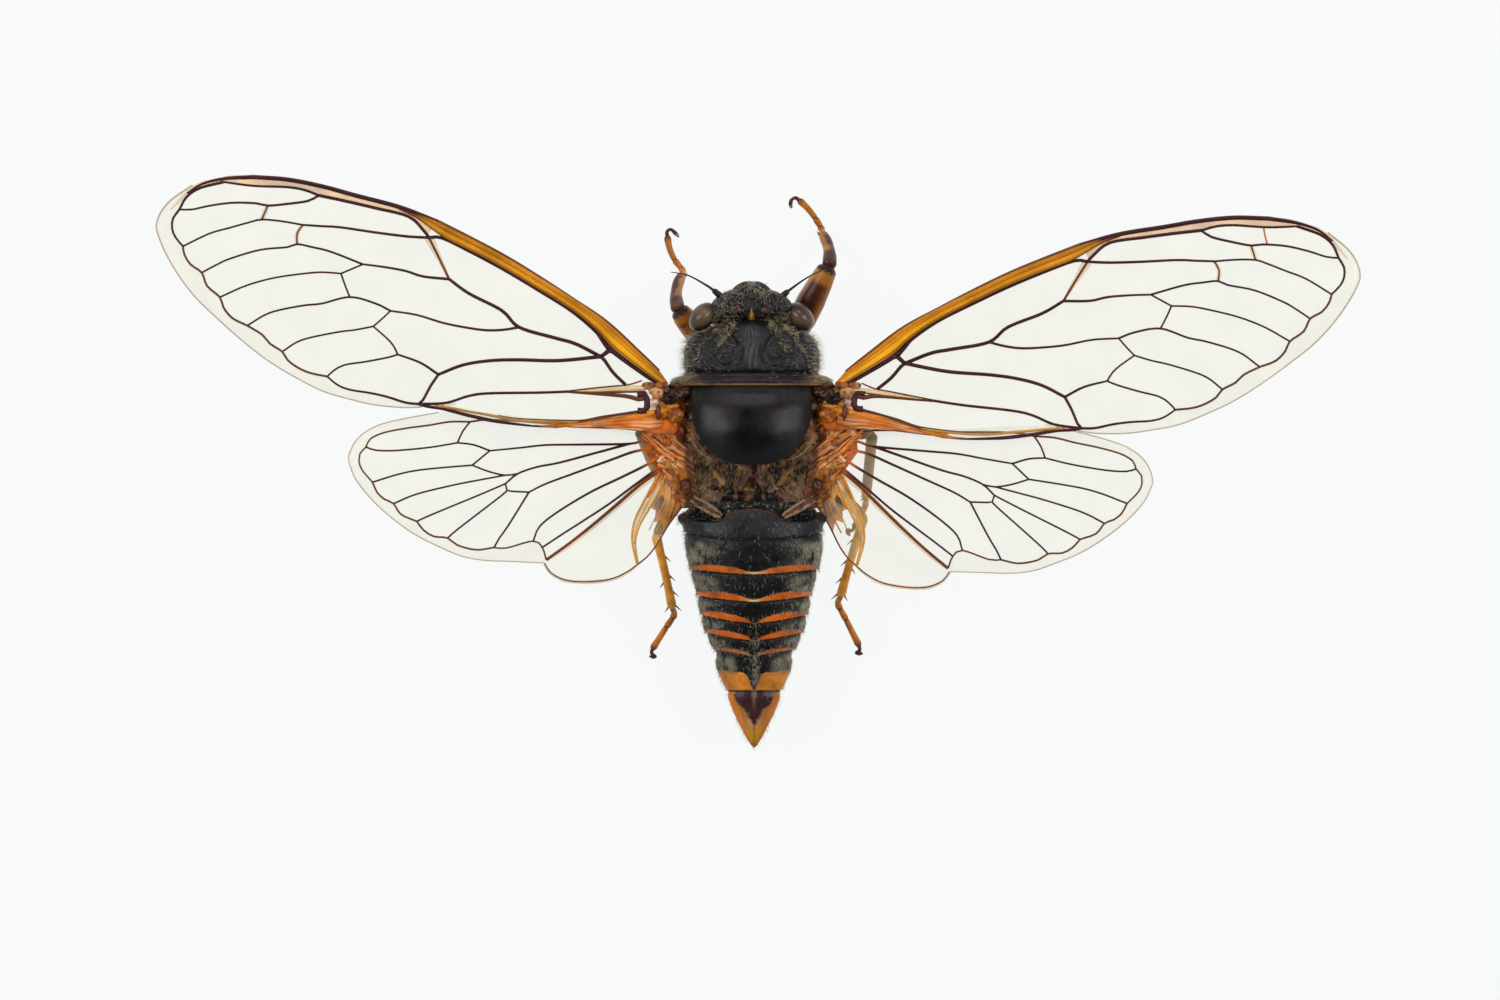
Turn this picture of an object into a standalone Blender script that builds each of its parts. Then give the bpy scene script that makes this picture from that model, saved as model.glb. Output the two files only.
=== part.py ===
"""A new forest cicada, a female with its wings spread, as a still life-size model.

+X is the insect's left, -Y is ahead and +Z is up. The feet stand on z = 0, and the origin is
on that floor under the middle of the model. Sizes are in millimetres and become metres where
a mesh is made.
"""

import math

import bmesh
import bpy
from mathutils import Matrix, Vector

MM = 0.001

# Sizes of the whole insect
SEAM = 0.25  # gap between two neighbouring pieces
HEAD_BACK = -6.18
PROTHORAX_FRONT = HEAD_BACK + SEAM
COLLAR_BACK = -3.35
THORAX_FRONT = COLLAR_BACK + SEAM
NOTUM_BACK = 1.42
THORAX_BACK = 1.45
ABDOMEN_FRONT = THORAX_BACK + SEAM
ABDOMEN_BACK = 9.78
TAIL_FRONT = ABDOMEN_BACK + SEAM
TAIL_BACK = 12.38
NOTUM_FLOOR = 4.3  # height where the back plate ends and the sides of the thorax begin
BODY_SIDES = 24

# Wings
WING_UNIT = 1.08  # length in mm of one unit of the two wing outlines, which sets the span
FORE_ROOT = Vector((3.6, -3.235, 4.75))
HIND_ROOT = Vector((3.72, -0.75, 3.68))
RIGHT_FORE_TURN = math.radians(5.6)  # the right wings are set a little further back
RIGHT_HIND_TURN = math.radians(4.2)
WING_RISE = math.tan(math.radians(4.0))
WING_DROOP = 0.0009  # per mm, so that the tips level out
WING_CAMBER = 0.009
FORE_AXIS = Vector((0.951, -0.309))  # from the root of the fore wing to its tip
HIND_AXIS = Vector((0.985, 0.174))
MEMBRANE = 0.5
VEIN_HEIGHT = 0.12  # how far a ridge stands above each face of the membrane
VEIN_STEP = 1.9  # length of one straight piece of a vein, in wing units
VEIN_OVERRUN = 0.09  # how far a vein runs on past the joint where it ends

# Head
EYE_SEAT = 1.55  # half width of the head where the eyes sit
EYE_CENTRE = Vector((2.1, -6.32, 4.12))
EYE_RADII = (0.7, 0.5, 0.68)
EYE_YAW = math.radians(49.0)
OCELLUS_RADIUS = 0.16

PALETTE = {
    "black_cuticle": ((0.020, 0.019, 0.020), 0.32),
    "brown_cuticle": ((0.090, 0.045, 0.022), 0.42),
    "amber_leg": ((0.560, 0.230, 0.040), 0.38),
    "dark_leg": ((0.180, 0.075, 0.030), 0.40),
    "compound_eye": ((0.130, 0.100, 0.080), 0.18),
    "orange_tail": ((0.480, 0.190, 0.035), 0.36),
    "wing": ((0.800, 0.740, 0.580), 0.22),
}


def clear_scene():
    for obj in list(bpy.data.objects):
        bpy.data.objects.remove(obj)


def make_collection(name):
    collection = bpy.data.collections.new(name)
    bpy.context.scene.collection.children.link(collection)
    return collection


def make_material(name):
    colour, roughness = PALETTE[name]
    material = bpy.data.materials.new(name)
    material.use_nodes = True
    shader = material.node_tree.nodes["Principled BSDF"]
    shader.inputs["Base Color"].default_value = (*colour, 1.0)
    shader.inputs["Roughness"].default_value = roughness
    shader.inputs["Metallic"].default_value = 0.0
    return material


def object_of(bm, name):
    """A new object, in metres, from a mesh that was made in millimetres."""
    bmesh.ops.recalc_face_normals(bm, faces=bm.faces)
    mesh = bpy.data.meshes.new(name)
    bm.to_mesh(mesh)
    bm.free()
    mesh.transform(Matrix.Scale(MM, 4))
    obj = bpy.data.objects.new(name, mesh)
    bpy.context.scene.collection.objects.link(obj)
    return obj


def loft(name, rings):
    """A closed body through rings of points, with a flat face at either end."""
    bm = bmesh.new()
    loops = [[bm.verts.new(point) for point in ring] for ring in rings]
    for near, far in zip(loops, loops[1:]):
        for i in range(len(near)):
            k = (i + 1) % len(near)
            bm.faces.new((near[i], near[k], far[k], far[i]))
    bm.faces.new(loops[0])
    bm.faces.new(loops[-1])
    return object_of(bm, name)


def oval(half_width, rise, drop, sides, fullness=2.0):
    """Points (across, up) of an oval with its own height above and below the middle."""
    power = 2.0 / fullness
    points = []
    for i in range(sides):
        angle = 2 * math.pi * i / sides
        across, up = math.cos(angle), math.sin(angle)
        tall = rise if up > 0 else drop
        points.append((
            half_width * math.copysign(abs(across) ** power, across),
            tall * math.copysign(abs(up) ** power, up),
        ))
    return points


def body_ring(y, half_width, top, bottom, waist, sides=BODY_SIDES, fullness=2.2):
    """One cross-section of the body at y, from its lowest to its highest point."""
    shape = oval(half_width, top - waist, waist - bottom, sides, fullness)
    return [Vector((across, y, waist + up)) for across, up in shape]


def blend_stations(stations, y):
    """The values of a table of stations at y, eased from one station to the next."""
    for near, far in zip(stations, stations[1:]):
        if y <= far[0]:
            break
    share = min(max((y - near[0]) / (far[0] - near[0]), 0.0), 1.0)
    return [a + (b - a) * share for a, b in zip(near[1:], far[1:])]


def through(points, step):
    """Points along a smooth curve through the given ones, about one step apart."""
    points = [Vector(p) for p in points]
    if len(points) == 2:
        return points
    ends = [2 * points[0] - points[1], *points, 2 * points[-1] - points[-2]]
    found = [points[0]]
    for p0, p1, p2, p3 in zip(ends, ends[1:], ends[2:], ends[3:]):
        pieces = max(1, round((p2 - p1).length / step))
        for i in range(1, pieces + 1):
            t = i / pieces
            found.append(0.5 * (
                2 * p1
                + (p2 - p0) * t
                + (2 * p0 - 5 * p1 + 4 * p2 - p3) * t * t
                + (3 * p1 - p0 - 3 * p2 + p3) * t * t * t
            ))
    return found


def tube(name, points, radii, roundness=2):
    """A closed tube along points, with its own radius at each of them."""
    curve = bpy.data.curves.new(name, "CURVE")
    curve.dimensions = "3D"
    curve.twist_mode = "Z_UP"
    curve.bevel_depth = MM
    curve.bevel_resolution = roundness
    curve.use_fill_caps = True
    spline = curve.splines.new("POLY")
    spline.points.add(len(points) - 1)
    for spot, point, radius in zip(spline.points, points, radii):
        spot.co = (*(Vector(point) * MM), 1.0)
        spot.radius = radius
    obj = bpy.data.objects.new(name, curve)
    bpy.context.scene.collection.objects.link(obj)
    return meshed(obj)


def meshed(obj):
    """The object's evaluated mesh as a new object, its caps welded on; the curve is removed."""
    graph = bpy.context.evaluated_depsgraph_get()
    mesh = bpy.data.meshes.new_from_object(obj.evaluated_get(graph))
    bm = bmesh.new()
    bm.from_mesh(mesh)
    bmesh.ops.remove_doubles(bm, verts=bm.verts, dist=1e-6)
    bmesh.ops.recalc_face_normals(bm, faces=bm.faces)
    bm.to_mesh(mesh)
    bm.free()
    name = obj.name
    bpy.data.objects.remove(obj)
    solid = bpy.data.objects.new(name, mesh)
    bpy.context.scene.collection.objects.link(solid)
    return solid


def ball(name, centre, radii, turn=None, segments=14, rings=9):
    """An ellipsoid. turn is a rotation about its own centre."""
    bm = bmesh.new()
    place = Matrix.Translation(Vector(centre)) @ (turn or Matrix.Identity(4))
    bmesh.ops.create_uvsphere(
        bm, u_segments=segments, v_segments=rings, radius=1.0,
        matrix=place @ Matrix.Diagonal((*radii, 1.0)),
    )
    return object_of(bm, name)


def slice_off(obj, point, outward):
    """Cuts away what lies beyond a plane, and closes the cut with a flat face."""
    bm = bmesh.new()
    bm.from_mesh(obj.data)
    cut = bmesh.ops.bisect_plane(
        bm, geom=[*bm.verts, *bm.edges, *bm.faces], dist=1e-7,
        plane_co=Vector(point) * MM, plane_no=outward, clear_outer=True,
    )
    edges = [e for e in cut["geom_cut"] if isinstance(e, bmesh.types.BMEdge)]
    bmesh.ops.contextual_create(bm, geom=edges)
    bmesh.ops.recalc_face_normals(bm, faces=bm.faces)
    bm.to_mesh(obj.data)
    bm.free()


def largest_surface(obj):
    """Keeps only the largest closed surface of the mesh."""
    bm = bmesh.new()
    bm.from_mesh(obj.data)
    left, shells = set(bm.verts), []
    while left:
        shell, front = set(), [left.pop()]
        while front:
            vert = front.pop()
            shell.add(vert)
            near = {e.other_vert(vert) for e in vert.link_edges} & left
            left -= near
            front.extend(near)
        shells.append(shell)
    shells.sort(key=len)
    for shell in shells[:-1]:
        bmesh.ops.delete(bm, geom=list(shell), context="VERTS")
    bm.to_mesh(obj.data)
    bm.free()


def fuse(base, pieces, solver="MANIFOLD"):
    """Joins closed pieces to base by one union, and removes them."""
    tools = bpy.data.collections.new(base.name + "_pieces")
    bpy.context.scene.collection.children.link(tools)
    for piece in pieces:
        for user in list(piece.users_collection):
            user.objects.unlink(piece)
        tools.objects.link(piece)
    join = base.modifiers.new("join", "BOOLEAN")
    join.operation = "UNION"
    join.operand_type = "COLLECTION"
    join.collection = tools
    join.solver = solver
    graph = bpy.context.evaluated_depsgraph_get()
    joined = bpy.data.meshes.new_from_object(base.evaluated_get(graph))
    base.modifiers.clear()
    base.data = joined
    for piece in pieces:
        bpy.data.objects.remove(piece)
    bpy.data.collections.remove(tools)
    largest_surface(base)
    return base


def finish(obj, collection, material, sharp=40.0):
    """Files a finished piece under the insect, with its colour and smooth shading."""
    for user in list(obj.users_collection):
        user.objects.unlink(obj)
    collection.objects.link(obj)
    obj.data.materials.clear()
    obj.data.materials.append(material)
    obj.data.shade_smooth()
    obj.data.set_sharp_from_angle(angle=math.radians(sharp))
    return obj


# Head: a wide capsule between the eyes, with the swollen ribbed face in the middle of its front.
HEAD_STATIONS = (  # x, front y, back y, top, bottom
    (0.00, -7.45, HEAD_BACK, 5.02, 2.55),
    (0.85, -7.50, HEAD_BACK + 0.02, 4.98, 2.80),
    (1.25, -7.36, HEAD_BACK + 0.10, 4.88, 3.05),
    (EYE_SEAT, -7.02, HEAD_BACK + 0.22, 4.72, 3.45),
)
HEAD_XS = (0.0, 0.42, 0.85, 1.05, 1.25, 1.4, EYE_SEAT)
FACE_CENTRE = Vector((0.0, -7.06, 3.6))
FACE_RADII = (0.98, 0.78, 1.36)
FACE_RIBS = 8
FACE_RIB_DEPTH = 0.06
OCELLI = ((0.0, -7.12, 4.9), (0.53, -6.59, 4.93), (-0.53, -6.59, 4.93))
LIP = ((0.0, -7.15, 2.6), (0.0, -7.0, 2.25), (0.0, -6.75, 1.95))
LIP_RADII = (0.55, 0.42, 0.3)


def head_ring(x):
    front, back, top, bottom = blend_stations(HEAD_STATIONS, abs(x))
    middle = Vector((x, (front + back) / 2, (top + bottom) / 2))
    shape = oval((back - front) / 2, (top - bottom) / 2, (top - bottom) / 2, 20, 2.3)
    return [middle + Vector((0.0, along, up)) for along, up in shape]


def ribbed_face():
    """The swollen face, with a row of shallow ribs across it."""
    face = ball("face", FACE_CENTRE, FACE_RADII, Matrix.Rotation(-0.16, 4, "X"), 14, 19)
    for vert in face.data.vertices:
        across = vert.co.x / MM
        up = vert.co.z / MM - FACE_CENTRE.z
        rib = math.cos(math.pi * FACE_RIBS * (up + FACE_RADII[2]) / FACE_RADII[2])
        depth = FACE_RIB_DEPTH * rib * min(abs(across) / 0.3, 1.0)
        vert.co.y -= depth * MM * (1.0 if vert.co.y / MM < FACE_CENTRE.y else 0.0)
    return face


def build_head():
    xs = [-x for x in reversed(HEAD_XS[1:])] + list(HEAD_XS)
    head = loft("head", [head_ring(x) for x in xs])
    pieces = [ribbed_face()]
    for i, spot in enumerate(OCELLI):
        pieces.append(ball(f"ocellus_{i}", spot, [OCELLUS_RADIUS] * 3, None, 8, 6))
    pieces.append(tube("lip", LIP, LIP_RADII))
    for side in (1, -1):
        ledge = [(side * 0.75, -7.48, 4.7), (side * 1.15, -7.38, 4.6), (side * 1.5, -7.1, 4.48)]
        pieces.append(tube("ledge", ledge, (0.16, 0.2, 0.15)))
    return fuse(head, pieces)


def build_eye(name, side):
    """An eye as an egg whose flat inner face stands against the side of the head."""
    centre = Vector((side * EYE_CENTRE.x, EYE_CENTRE.y, EYE_CENTRE.z))
    turn = Matrix.Rotation(side * EYE_YAW, 4, "Z")
    eye = ball(name, centre, EYE_RADII, turn, 16, 12)
    slice_off(eye, (side * (EYE_SEAT + SEAM), 0.0, 0.0), (-side, 0.0, 0.0))
    return eye


ANTENNA_ROOT = Vector((1.45, -7.34, 4.3))
ANTENNA_TIP = Vector((3.4, -8.32, 4.6))
ANTENNA_RADII = (0.25, 0.22, 0.15, 0.1, 0.06)


def build_antenna(name, side):
    """A bristle on a short thick base, clear of the ledge that it comes out under."""
    start = ANTENNA_ROOT + (ANTENNA_TIP - ANTENNA_ROOT).normalized() * SEAM
    spots = []
    for i in range(len(ANTENNA_RADII)):
        share = (i / (len(ANTENNA_RADII) - 1)) ** 1.3
        spot = start.lerp(ANTENNA_TIP, share)
        spot.z += 0.25 * math.sin(math.pi * share) * 0.5
        spots.append(Vector((side * spot.x, spot.y, spot.z)))
    return tube(name, spots, ANTENNA_RADII, 1)


ROSTRUM_LINE = ((0, -6.57, 1.74), (0, -6.3, 1.45), (0, -5.6, 1.2), (0, -4.4, 1.08),
                (0, -3.2, 0.98), (0, -1.7, 0.9))
ROSTRUM_RADII = (0.3, 0.3, 0.28, 0.26, 0.25, 0.1)


def build_rostrum():
    """The beak, folded back under the body from the lower end of the face."""
    return tube("rostrum", ROSTRUM_LINE, ROSTRUM_RADII)


# Prothorax: the shield behind the head, with its flared collar, and the hips of the front legs.
PRO_STATIONS = (  # y, half width, top, bottom, height of the widest point
    (PROTHORAX_FRONT, 1.20, 4.80, 2.70, 3.80),
    (-5.72, 1.62, 5.02, 2.35, 3.80),
    (-5.50, 2.35, 5.18, 2.10, 3.85),
    (-5.20, 2.78, 5.32, 1.95, 3.90),
    (-4.50, 2.95, 5.52, 1.80, 3.95),
    (-3.90, 2.90, 5.62, 1.80, 4.05),
    (-3.80, 2.98, 5.60, 1.90, 4.20),
    (-3.60, 3.36, 5.72, 2.05, 4.35),
    (-3.47, 3.47, 5.74, 2.10, 4.35),
    (COLLAR_BACK, 3.26, 5.66, 2.15, 4.35),
)
PRO_YS = (PROTHORAX_FRONT, -5.83, -5.72, -5.6, -5.5, -5.35, -5.2, -4.85, -4.5, -4.2, -3.9,
          -3.8, -3.7, -3.6, -3.47, COLLAR_BACK)


def pronotum_relief(x, y):
    """Height of the shield's own relief: a middle ridge, and grooves slanting out from it."""
    ridge = 0.07 * math.exp(-((x / (0.28 + 0.1 * (y + 4.9) ** 2)) ** 2))
    slant = abs(x) - 0.8 - 0.9 * (y + 5.3)
    groove = -0.09 * math.exp(-((slant / 0.18) ** 2))
    second = abs(x) - 1.75 - 0.7 * (y + 5.0)
    groove -= 0.07 * math.exp(-((second / 0.18) ** 2))
    fade = max(0.0, min(1.0, (-4.05 - y) / 0.3, (y + 5.8) / 0.3))
    return (ridge + groove) * fade


def build_prothorax():
    shield = loft("prothorax", [body_ring(y, *blend_stations(PRO_STATIONS, y)) for y in PRO_YS])
    for vert in shield.data.vertices:
        x, y, z = vert.co / MM
        if z > 4.3:
            vert.co.z += pronotum_relief(x, y) * MM
    pieces = []
    for leg in (LEGS["fore_left"], LEGS["fore_right"]):
        pieces.append(coxa("coxa", leg))
    return fuse(shield, pieces)


# Back plate over the wing roots: the shining shield, and the cross-shaped ridge behind it.
NOTUM_PLATE = (  # y, half width, top
    (THORAX_FRONT, 2.74, 4.95),
    (-2.5, 2.95, 5.10),
    (-1.3, 2.95, 5.12),
    (-0.3, 2.75, 5.05),
    (0.6, 2.38, 4.98),
    (NOTUM_BACK, 1.75, 4.78),
)
NOTUM_SHIELD = (  # y, half width, top
    (THORAX_FRONT, 2.60, 5.50),
    (-2.6, 2.70, 5.84),
    (-2.0, 2.64, 6.05),
    (-1.27, 2.34, 6.12),
    (-0.7, 2.00, 6.02),
    (-0.23, 1.55, 5.80),
    (0.11, 0.75, 5.45),
)
CROSS_CENTRE = (0.0, 0.62, 5.38)
CROSS_FRONT = (0.74, 0.12, 5.46)
CROSS_BACK = (0.78, 1.02, 5.12)
HIND_RIM = ((0.3, 1.24, 4.98), (1.42, 1.06, 4.92), (2.12, 0.66, 4.86))


def dome_ring(y, half_width, top, floor, sides=BODY_SIDES):
    return body_ring(y, half_width, top, floor, floor + 0.06, sides, 2.4)


def build_mesonotum():
    def rings(stations, count, floor):
        first, last = stations[0][0], stations[-1][0]
        ys = [first + (last - first) * i / (count - 1) for i in range(count)]
        return [dome_ring(y, *blend_stations(stations, y), floor) for y in ys]

    plate = loft("mesonotum", rings(NOTUM_PLATE, 8, NOTUM_FLOOR))
    pieces = [loft("shield", rings(NOTUM_SHIELD, 9, NOTUM_FLOOR + 0.1))]
    for side in (1, -1):
        front = (side * CROSS_FRONT[0], *CROSS_FRONT[1:])
        back = (side * CROSS_BACK[0], *CROSS_BACK[1:])
        rim = [(side * x, y, z) for x, y, z in HIND_RIM]
        pieces.append(tube("front_arm", [front, CROSS_CENTRE], (0.2, 0.28)))
        pieces.append(tube("back_arm", [CROSS_CENTRE, back], (0.28, 0.18)))
        pieces.append(tube("hind_rim", rim, (0.12, 0.15, 0.12)))
    return fuse(plate, pieces)


# Sides and underside of the thorax, with the hips of the middle and hind legs.
THORAX_STATIONS = (  # y, half width, top, bottom, height of the widest point
    (THORAX_FRONT, 2.55, 4.05, 1.75, 3.50),
    (-2.4, 2.85, 4.05, 1.45, 3.55),
    (-1.3, 2.94, 4.05, 1.38, 3.55),
    (-0.4, 2.92, 4.05, 1.42, 3.55),
    (0.55, 2.58, 4.05, 1.50, 3.50),
    (THORAX_BACK, 2.22, 3.95, 1.65, 3.40),
)


def build_thorax():
    count = 8
    ys = [THORAX_FRONT + (THORAX_BACK - THORAX_FRONT) * i / (count - 1) for i in range(count)]
    rings = [body_ring(y, *blend_stations(THORAX_STATIONS, y), fullness=2.9) for y in ys]
    thorax = loft("thorax", rings)
    legs = [leg for key, leg in LEGS.items() if not key.startswith("fore")]
    return fuse(thorax, [coxa("coxa", leg) for leg in legs])


# Abdomen: seven overlapping rings, each a little wider at its back edge than the next begins.
RING_BACKS = (3.35, 4.84, 6.03, 6.94, 7.72, 8.36, ABDOMEN_BACK)
RING_STEP = 0.1
ABDOMEN_STATIONS = (  # y, half width, top, bottom, height of the widest point
    (ABDOMEN_FRONT, 2.45, 4.80, 2.10, 3.45),
    (2.00, 2.80, 5.02, 1.80, 3.40),
    (2.38, 3.06, 5.16, 1.55, 3.35),
    (2.80, 3.02, 5.24, 1.42, 3.30),
    (3.35, 3.00, 5.26, 1.36, 3.26),
    (4.40, 2.84, 5.14, 1.32, 3.20),
    (5.50, 2.54, 4.92, 1.38, 3.10),
    (6.40, 2.36, 4.68, 1.52, 3.02),
    (7.30, 2.14, 4.42, 1.66, 2.96),
    (8.20, 1.72, 4.08, 1.84, 2.90),
    (8.55, 1.64, 3.92, 1.92, 2.86),
    (9.20, 1.50, 3.70, 2.02, 2.82),
    (ABDOMEN_BACK, 1.18, 3.44, 2.16, 2.78),
)
BAR_INNER = (1.4, 2.3, 4.86)
BAR_OUTER = (2.45, 2.0, 4.3)


def stepped_ring(y, inset):
    half_width, top, bottom, waist = blend_stations(ABDOMEN_STATIONS, y)
    return body_ring(y, half_width - inset, top - inset, bottom + inset, waist)


def build_abdomen():
    rings, start = [], ABDOMEN_FRONT
    for back in RING_BACKS:
        length = back - start
        inset = RING_STEP if rings else 0.0
        rings.append(stepped_ring(start + 0.03, inset))
        rings.append(stepped_ring(start + 0.4 * length, 0.02))
        rings.append(stepped_ring(back - 0.12, 0.0))
        rings.append(stepped_ring(back, 0.02))
        start = back
    abdomen = loft("abdomen", rings)
    bars = []
    for side in (1, -1):
        ends = [(side * p[0], *p[1:]) for p in (BAR_INNER, BAR_OUTER)]
        bars.append(tube("bar", ends, (0.18, 0.22)))
    return fuse(abdomen, bars)


TAIL_STATIONS = (  # y, half width, top, bottom, height of the widest point
    (TAIL_FRONT, 1.14, 3.36, 2.30, 2.80),
    (10.60, 1.00, 3.22, 2.30, 2.74),
    (11.05, 0.81, 3.10, 2.34, 2.70),
    (11.47, 0.60, 2.98, 2.38, 2.66),
    (12.00, 0.31, 2.83, 2.47, 2.62),
    (TAIL_BACK, 0.07, 2.68, 2.56, 2.62),
)
SHEATH = ((0.0, TAIL_FRONT + 0.02, 2.28), (0.0, 11.1, 2.24), (0.0, 12.05, 2.4))


def build_tail():
    """The pointed last ring, with the sheath of the egg-layer along its underside."""
    count = 9
    ys = [TAIL_FRONT + (TAIL_BACK - TAIL_FRONT) * i / (count - 1) for i in range(count)]
    rings = [body_ring(y, *blend_stations(TAIL_STATIONS, y), sides=20) for y in ys]
    tail = loft("tail", rings)
    return fuse(tail, [tube("sheath", SHEATH, (0.3, 0.27, 0.14))])


# Legs: hip on the body, then thigh, shin and foot, each a piece of its own.
LEGS = {  # places in mm: hip (inside the body), thigh root, knee, ankle, toe
    "fore_left": dict(
        hip=(1.25, -4.6, 2.1), root=(1.85, -4.95, 1.45), knee=(3.19, -6.67, 2.6),
        ankle=(3.04, -8.25, 0.62), toe=(3.69, -9.94, 0.2), claw=(3.24, -10.0),
        thigh=(0.3, 0.48, 0.5, 0.38), shin=(0.27, 0.26, 0.3), bend=(0.14, 0.0), curl=(0.14, 0.04),
    ),
    "fore_right": dict(
        hip=(-1.25, -4.9, 2.1), root=(-1.72, -5.35, 1.5), knee=(-3.38, -8.58, 2.35),
        ankle=(-3.1, -10.05, 0.62), toe=(-2.08, -11.52, 0.2), claw=(-1.7, -11.25),
        thigh=(0.3, 0.56, 0.6, 0.42), shin=(0.28, 0.27, 0.3), bend=(-0.12, 0.0), curl=(-0.07, -0.05),
    ),
    "mid_left": dict(
        hip=(1.4, -1.3, 2.0), root=(2.1, -1.25, 1.45), knee=(4.86, -1.4, 2.45),
        ankle=(4.0, 0.7, 0.6), toe=(3.9, 2.05, 0.2), claw=(3.75, 2.4),
        thigh=(0.3, 0.34, 0.32, 0.27), shin=(0.27, 0.25, 0.25), bend=(0.0, 0.1), curl=(0.0, 0.0),
    ),
    "mid_right": dict(
        hip=(-1.4, -1.3, 2.0), root=(-2.1, -1.25, 1.45), knee=(-5.25, -1.25, 2.45),
        ankle=(-5.0, 1.62, 0.6), toe=(-4.5, 2.85, 0.2), claw=(-4.25, 3.15),
        thigh=(0.3, 0.34, 0.32, 0.27), shin=(0.27, 0.25, 0.25), bend=(0.0, 0.0), curl=(0.0, 0.0),
    ),
    "hind_left": dict(
        hip=(1.25, 0.5, 2.1), root=(1.9, 0.9, 1.4), knee=(4.16, 3.14, 2.5),
        ankle=(3.45, 6.4, 0.6), toe=(4.34, 8.15, 0.2), claw=(4.4, 8.5),
        thigh=(0.3, 0.36, 0.34, 0.27), shin=(0.27, 0.25, 0.26), bend=(-0.05, 0.1), curl=(0.0, 0.0),
    ),
    "hind_right": dict(
        hip=(-1.25, 0.5, 2.1), root=(-1.9, 0.85, 1.4), knee=(-4.9, 2.32, 2.5),
        ankle=(-3.87, 5.92, 0.6), toe=(-4.72, 8.02, 0.2), claw=(-4.8, 8.37),
        thigh=(0.3, 0.36, 0.34, 0.27), shin=(0.27, 0.25, 0.26), bend=(0.05, 0.1), curl=(0.0, 0.0),
    ),
}
COXA_RADII = (0.62, 0.56, 0.36)
FOOT_HEIGHT = 0.21
FOOT_RADII = (0.25, 0.23, 0.25)
CLAW_RADII = (0.14, 0.11, 0.04)
SPUR_LENGTH = 0.55
SPUR_RADII = (0.13, 0.03)


def coxa(name, leg):
    """The hip: a short cone that ends where the thigh begins."""
    hip, root = Vector(leg["hip"]), Vector(leg["root"])
    return tube(name, [hip, hip.lerp(root, 0.5), root], COXA_RADII)


def heading(start, end):
    return (Vector(end) - Vector(start)).normalized()


def limb(start, lead_in, end, lead_out, bend=(0.0, 0.0)):
    """Points of a leg piece that leaves one joint and reaches the next.

    It starts in the direction of the piece before it, so that the two facing ends are parallel
    and half a seam from the joint each.
    """
    first = Vector(start) + Vector(lead_in) * SEAM / 2
    last = Vector(end) - Vector(lead_out) * SEAM / 2
    knee = first + Vector(lead_in) * 0.16 + heading(first, last) * 0.1
    bend = Vector((*bend, 0.0))
    spots = [knee.lerp(last, i / 3) + bend * math.sin(math.pi * i / 3) for i in range(4)]
    return [first, *spots]


def spur(spot, out, back):
    """A short spine that slants from a shin towards the foot."""
    tip = Vector(spot) + (Vector(out) + Vector(back)).normalized() * SPUR_LENGTH
    return tube("spur", [spot, tip], SPUR_RADII, 0)


def build_thigh(name, leg, fore):
    hip_way = heading(leg["hip"], leg["root"])
    thigh_way = heading(leg["root"], leg["knee"])
    spots = limb(leg["root"], hip_way, leg["knee"], thigh_way)
    base, belly, front, end = leg["thigh"]
    thigh = tube(name, spots, (base, base, belly, front, end))
    if not fore:
        return thigh
    under = Vector((0.0, 0.0, -1.0))
    spines = []
    for share in (0.35, 0.6, 0.85):
        spot = spots[1].lerp(spots[-1], share) + under * front * 0.4
        tip = spot + (under * 1.5 + thigh_way) * 0.3
        spines.append(tube("spine", [spot, tip], (0.16, 0.03), 0))
    return fuse(thigh, spines)


def build_shin(name, leg, hind):
    thigh_way = heading(leg["root"], leg["knee"])
    shin_way = heading(leg["knee"], leg["ankle"])
    spots = limb(leg["knee"], thigh_way, leg["ankle"], shin_way, leg["bend"])
    start, middle, end = leg["shin"]
    shin = tube(name, spots, (start, start, middle, middle, end), 1)
    if not hind:
        return shin
    inward = Vector((-math.copysign(1.0, spots[0].x), 0.0, 0.2))
    spurs = []
    for share in (0.25, 0.5, 0.72, 0.95):
        spurs.append(spur(spots[1].lerp(spots[-1], share), inward, shin_way * 0.8))
    spurs.append(spur(spots[1].lerp(spots[-1], 0.82), -inward, shin_way * 0.8))
    return fuse(shin, spurs)


def build_foot(name, leg):
    """The foot lies flat on the floor and ends in a pair of curved claws."""
    shin_way = heading(leg["knee"], leg["ankle"])
    ankle, toe = Vector(leg["ankle"]), Vector(leg["toe"])
    first = ankle + shin_way * SEAM / 2
    heel = first + shin_way * 0.3
    heel.z = FOOT_HEIGHT
    curl = Vector((*leg["curl"], 0.0))
    flat = [heel.lerp(toe, i / 3) + curl * math.sin(math.pi * i / 3) for i in range(4)]
    start, middle, end = FOOT_RADII
    foot = tube(name, [first, *flat], (start, middle, middle, middle, end))
    along = heading(heel, toe)
    hook = Vector((leg["claw"][0] - toe.x, leg["claw"][1] - toe.y, 0.0))
    across = Vector((-along.y, along.x, 0.0))
    claws = []
    for side in (1, -1):
        spread = across * side * 0.12
        spots = [toe - along * 0.05, toe + hook * 0.55 + spread, toe + hook + spread * 1.5]
        spots[1].z, spots[2].z = 0.2, 0.1
        claws.append(tube("claw", spots, CLAW_RADII, 0))
    foot = fuse(foot, claws)
    slice_off(foot, (0.0, 0.0, 0.0), (0.0, 0.0, -1.0))
    return foot


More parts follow.
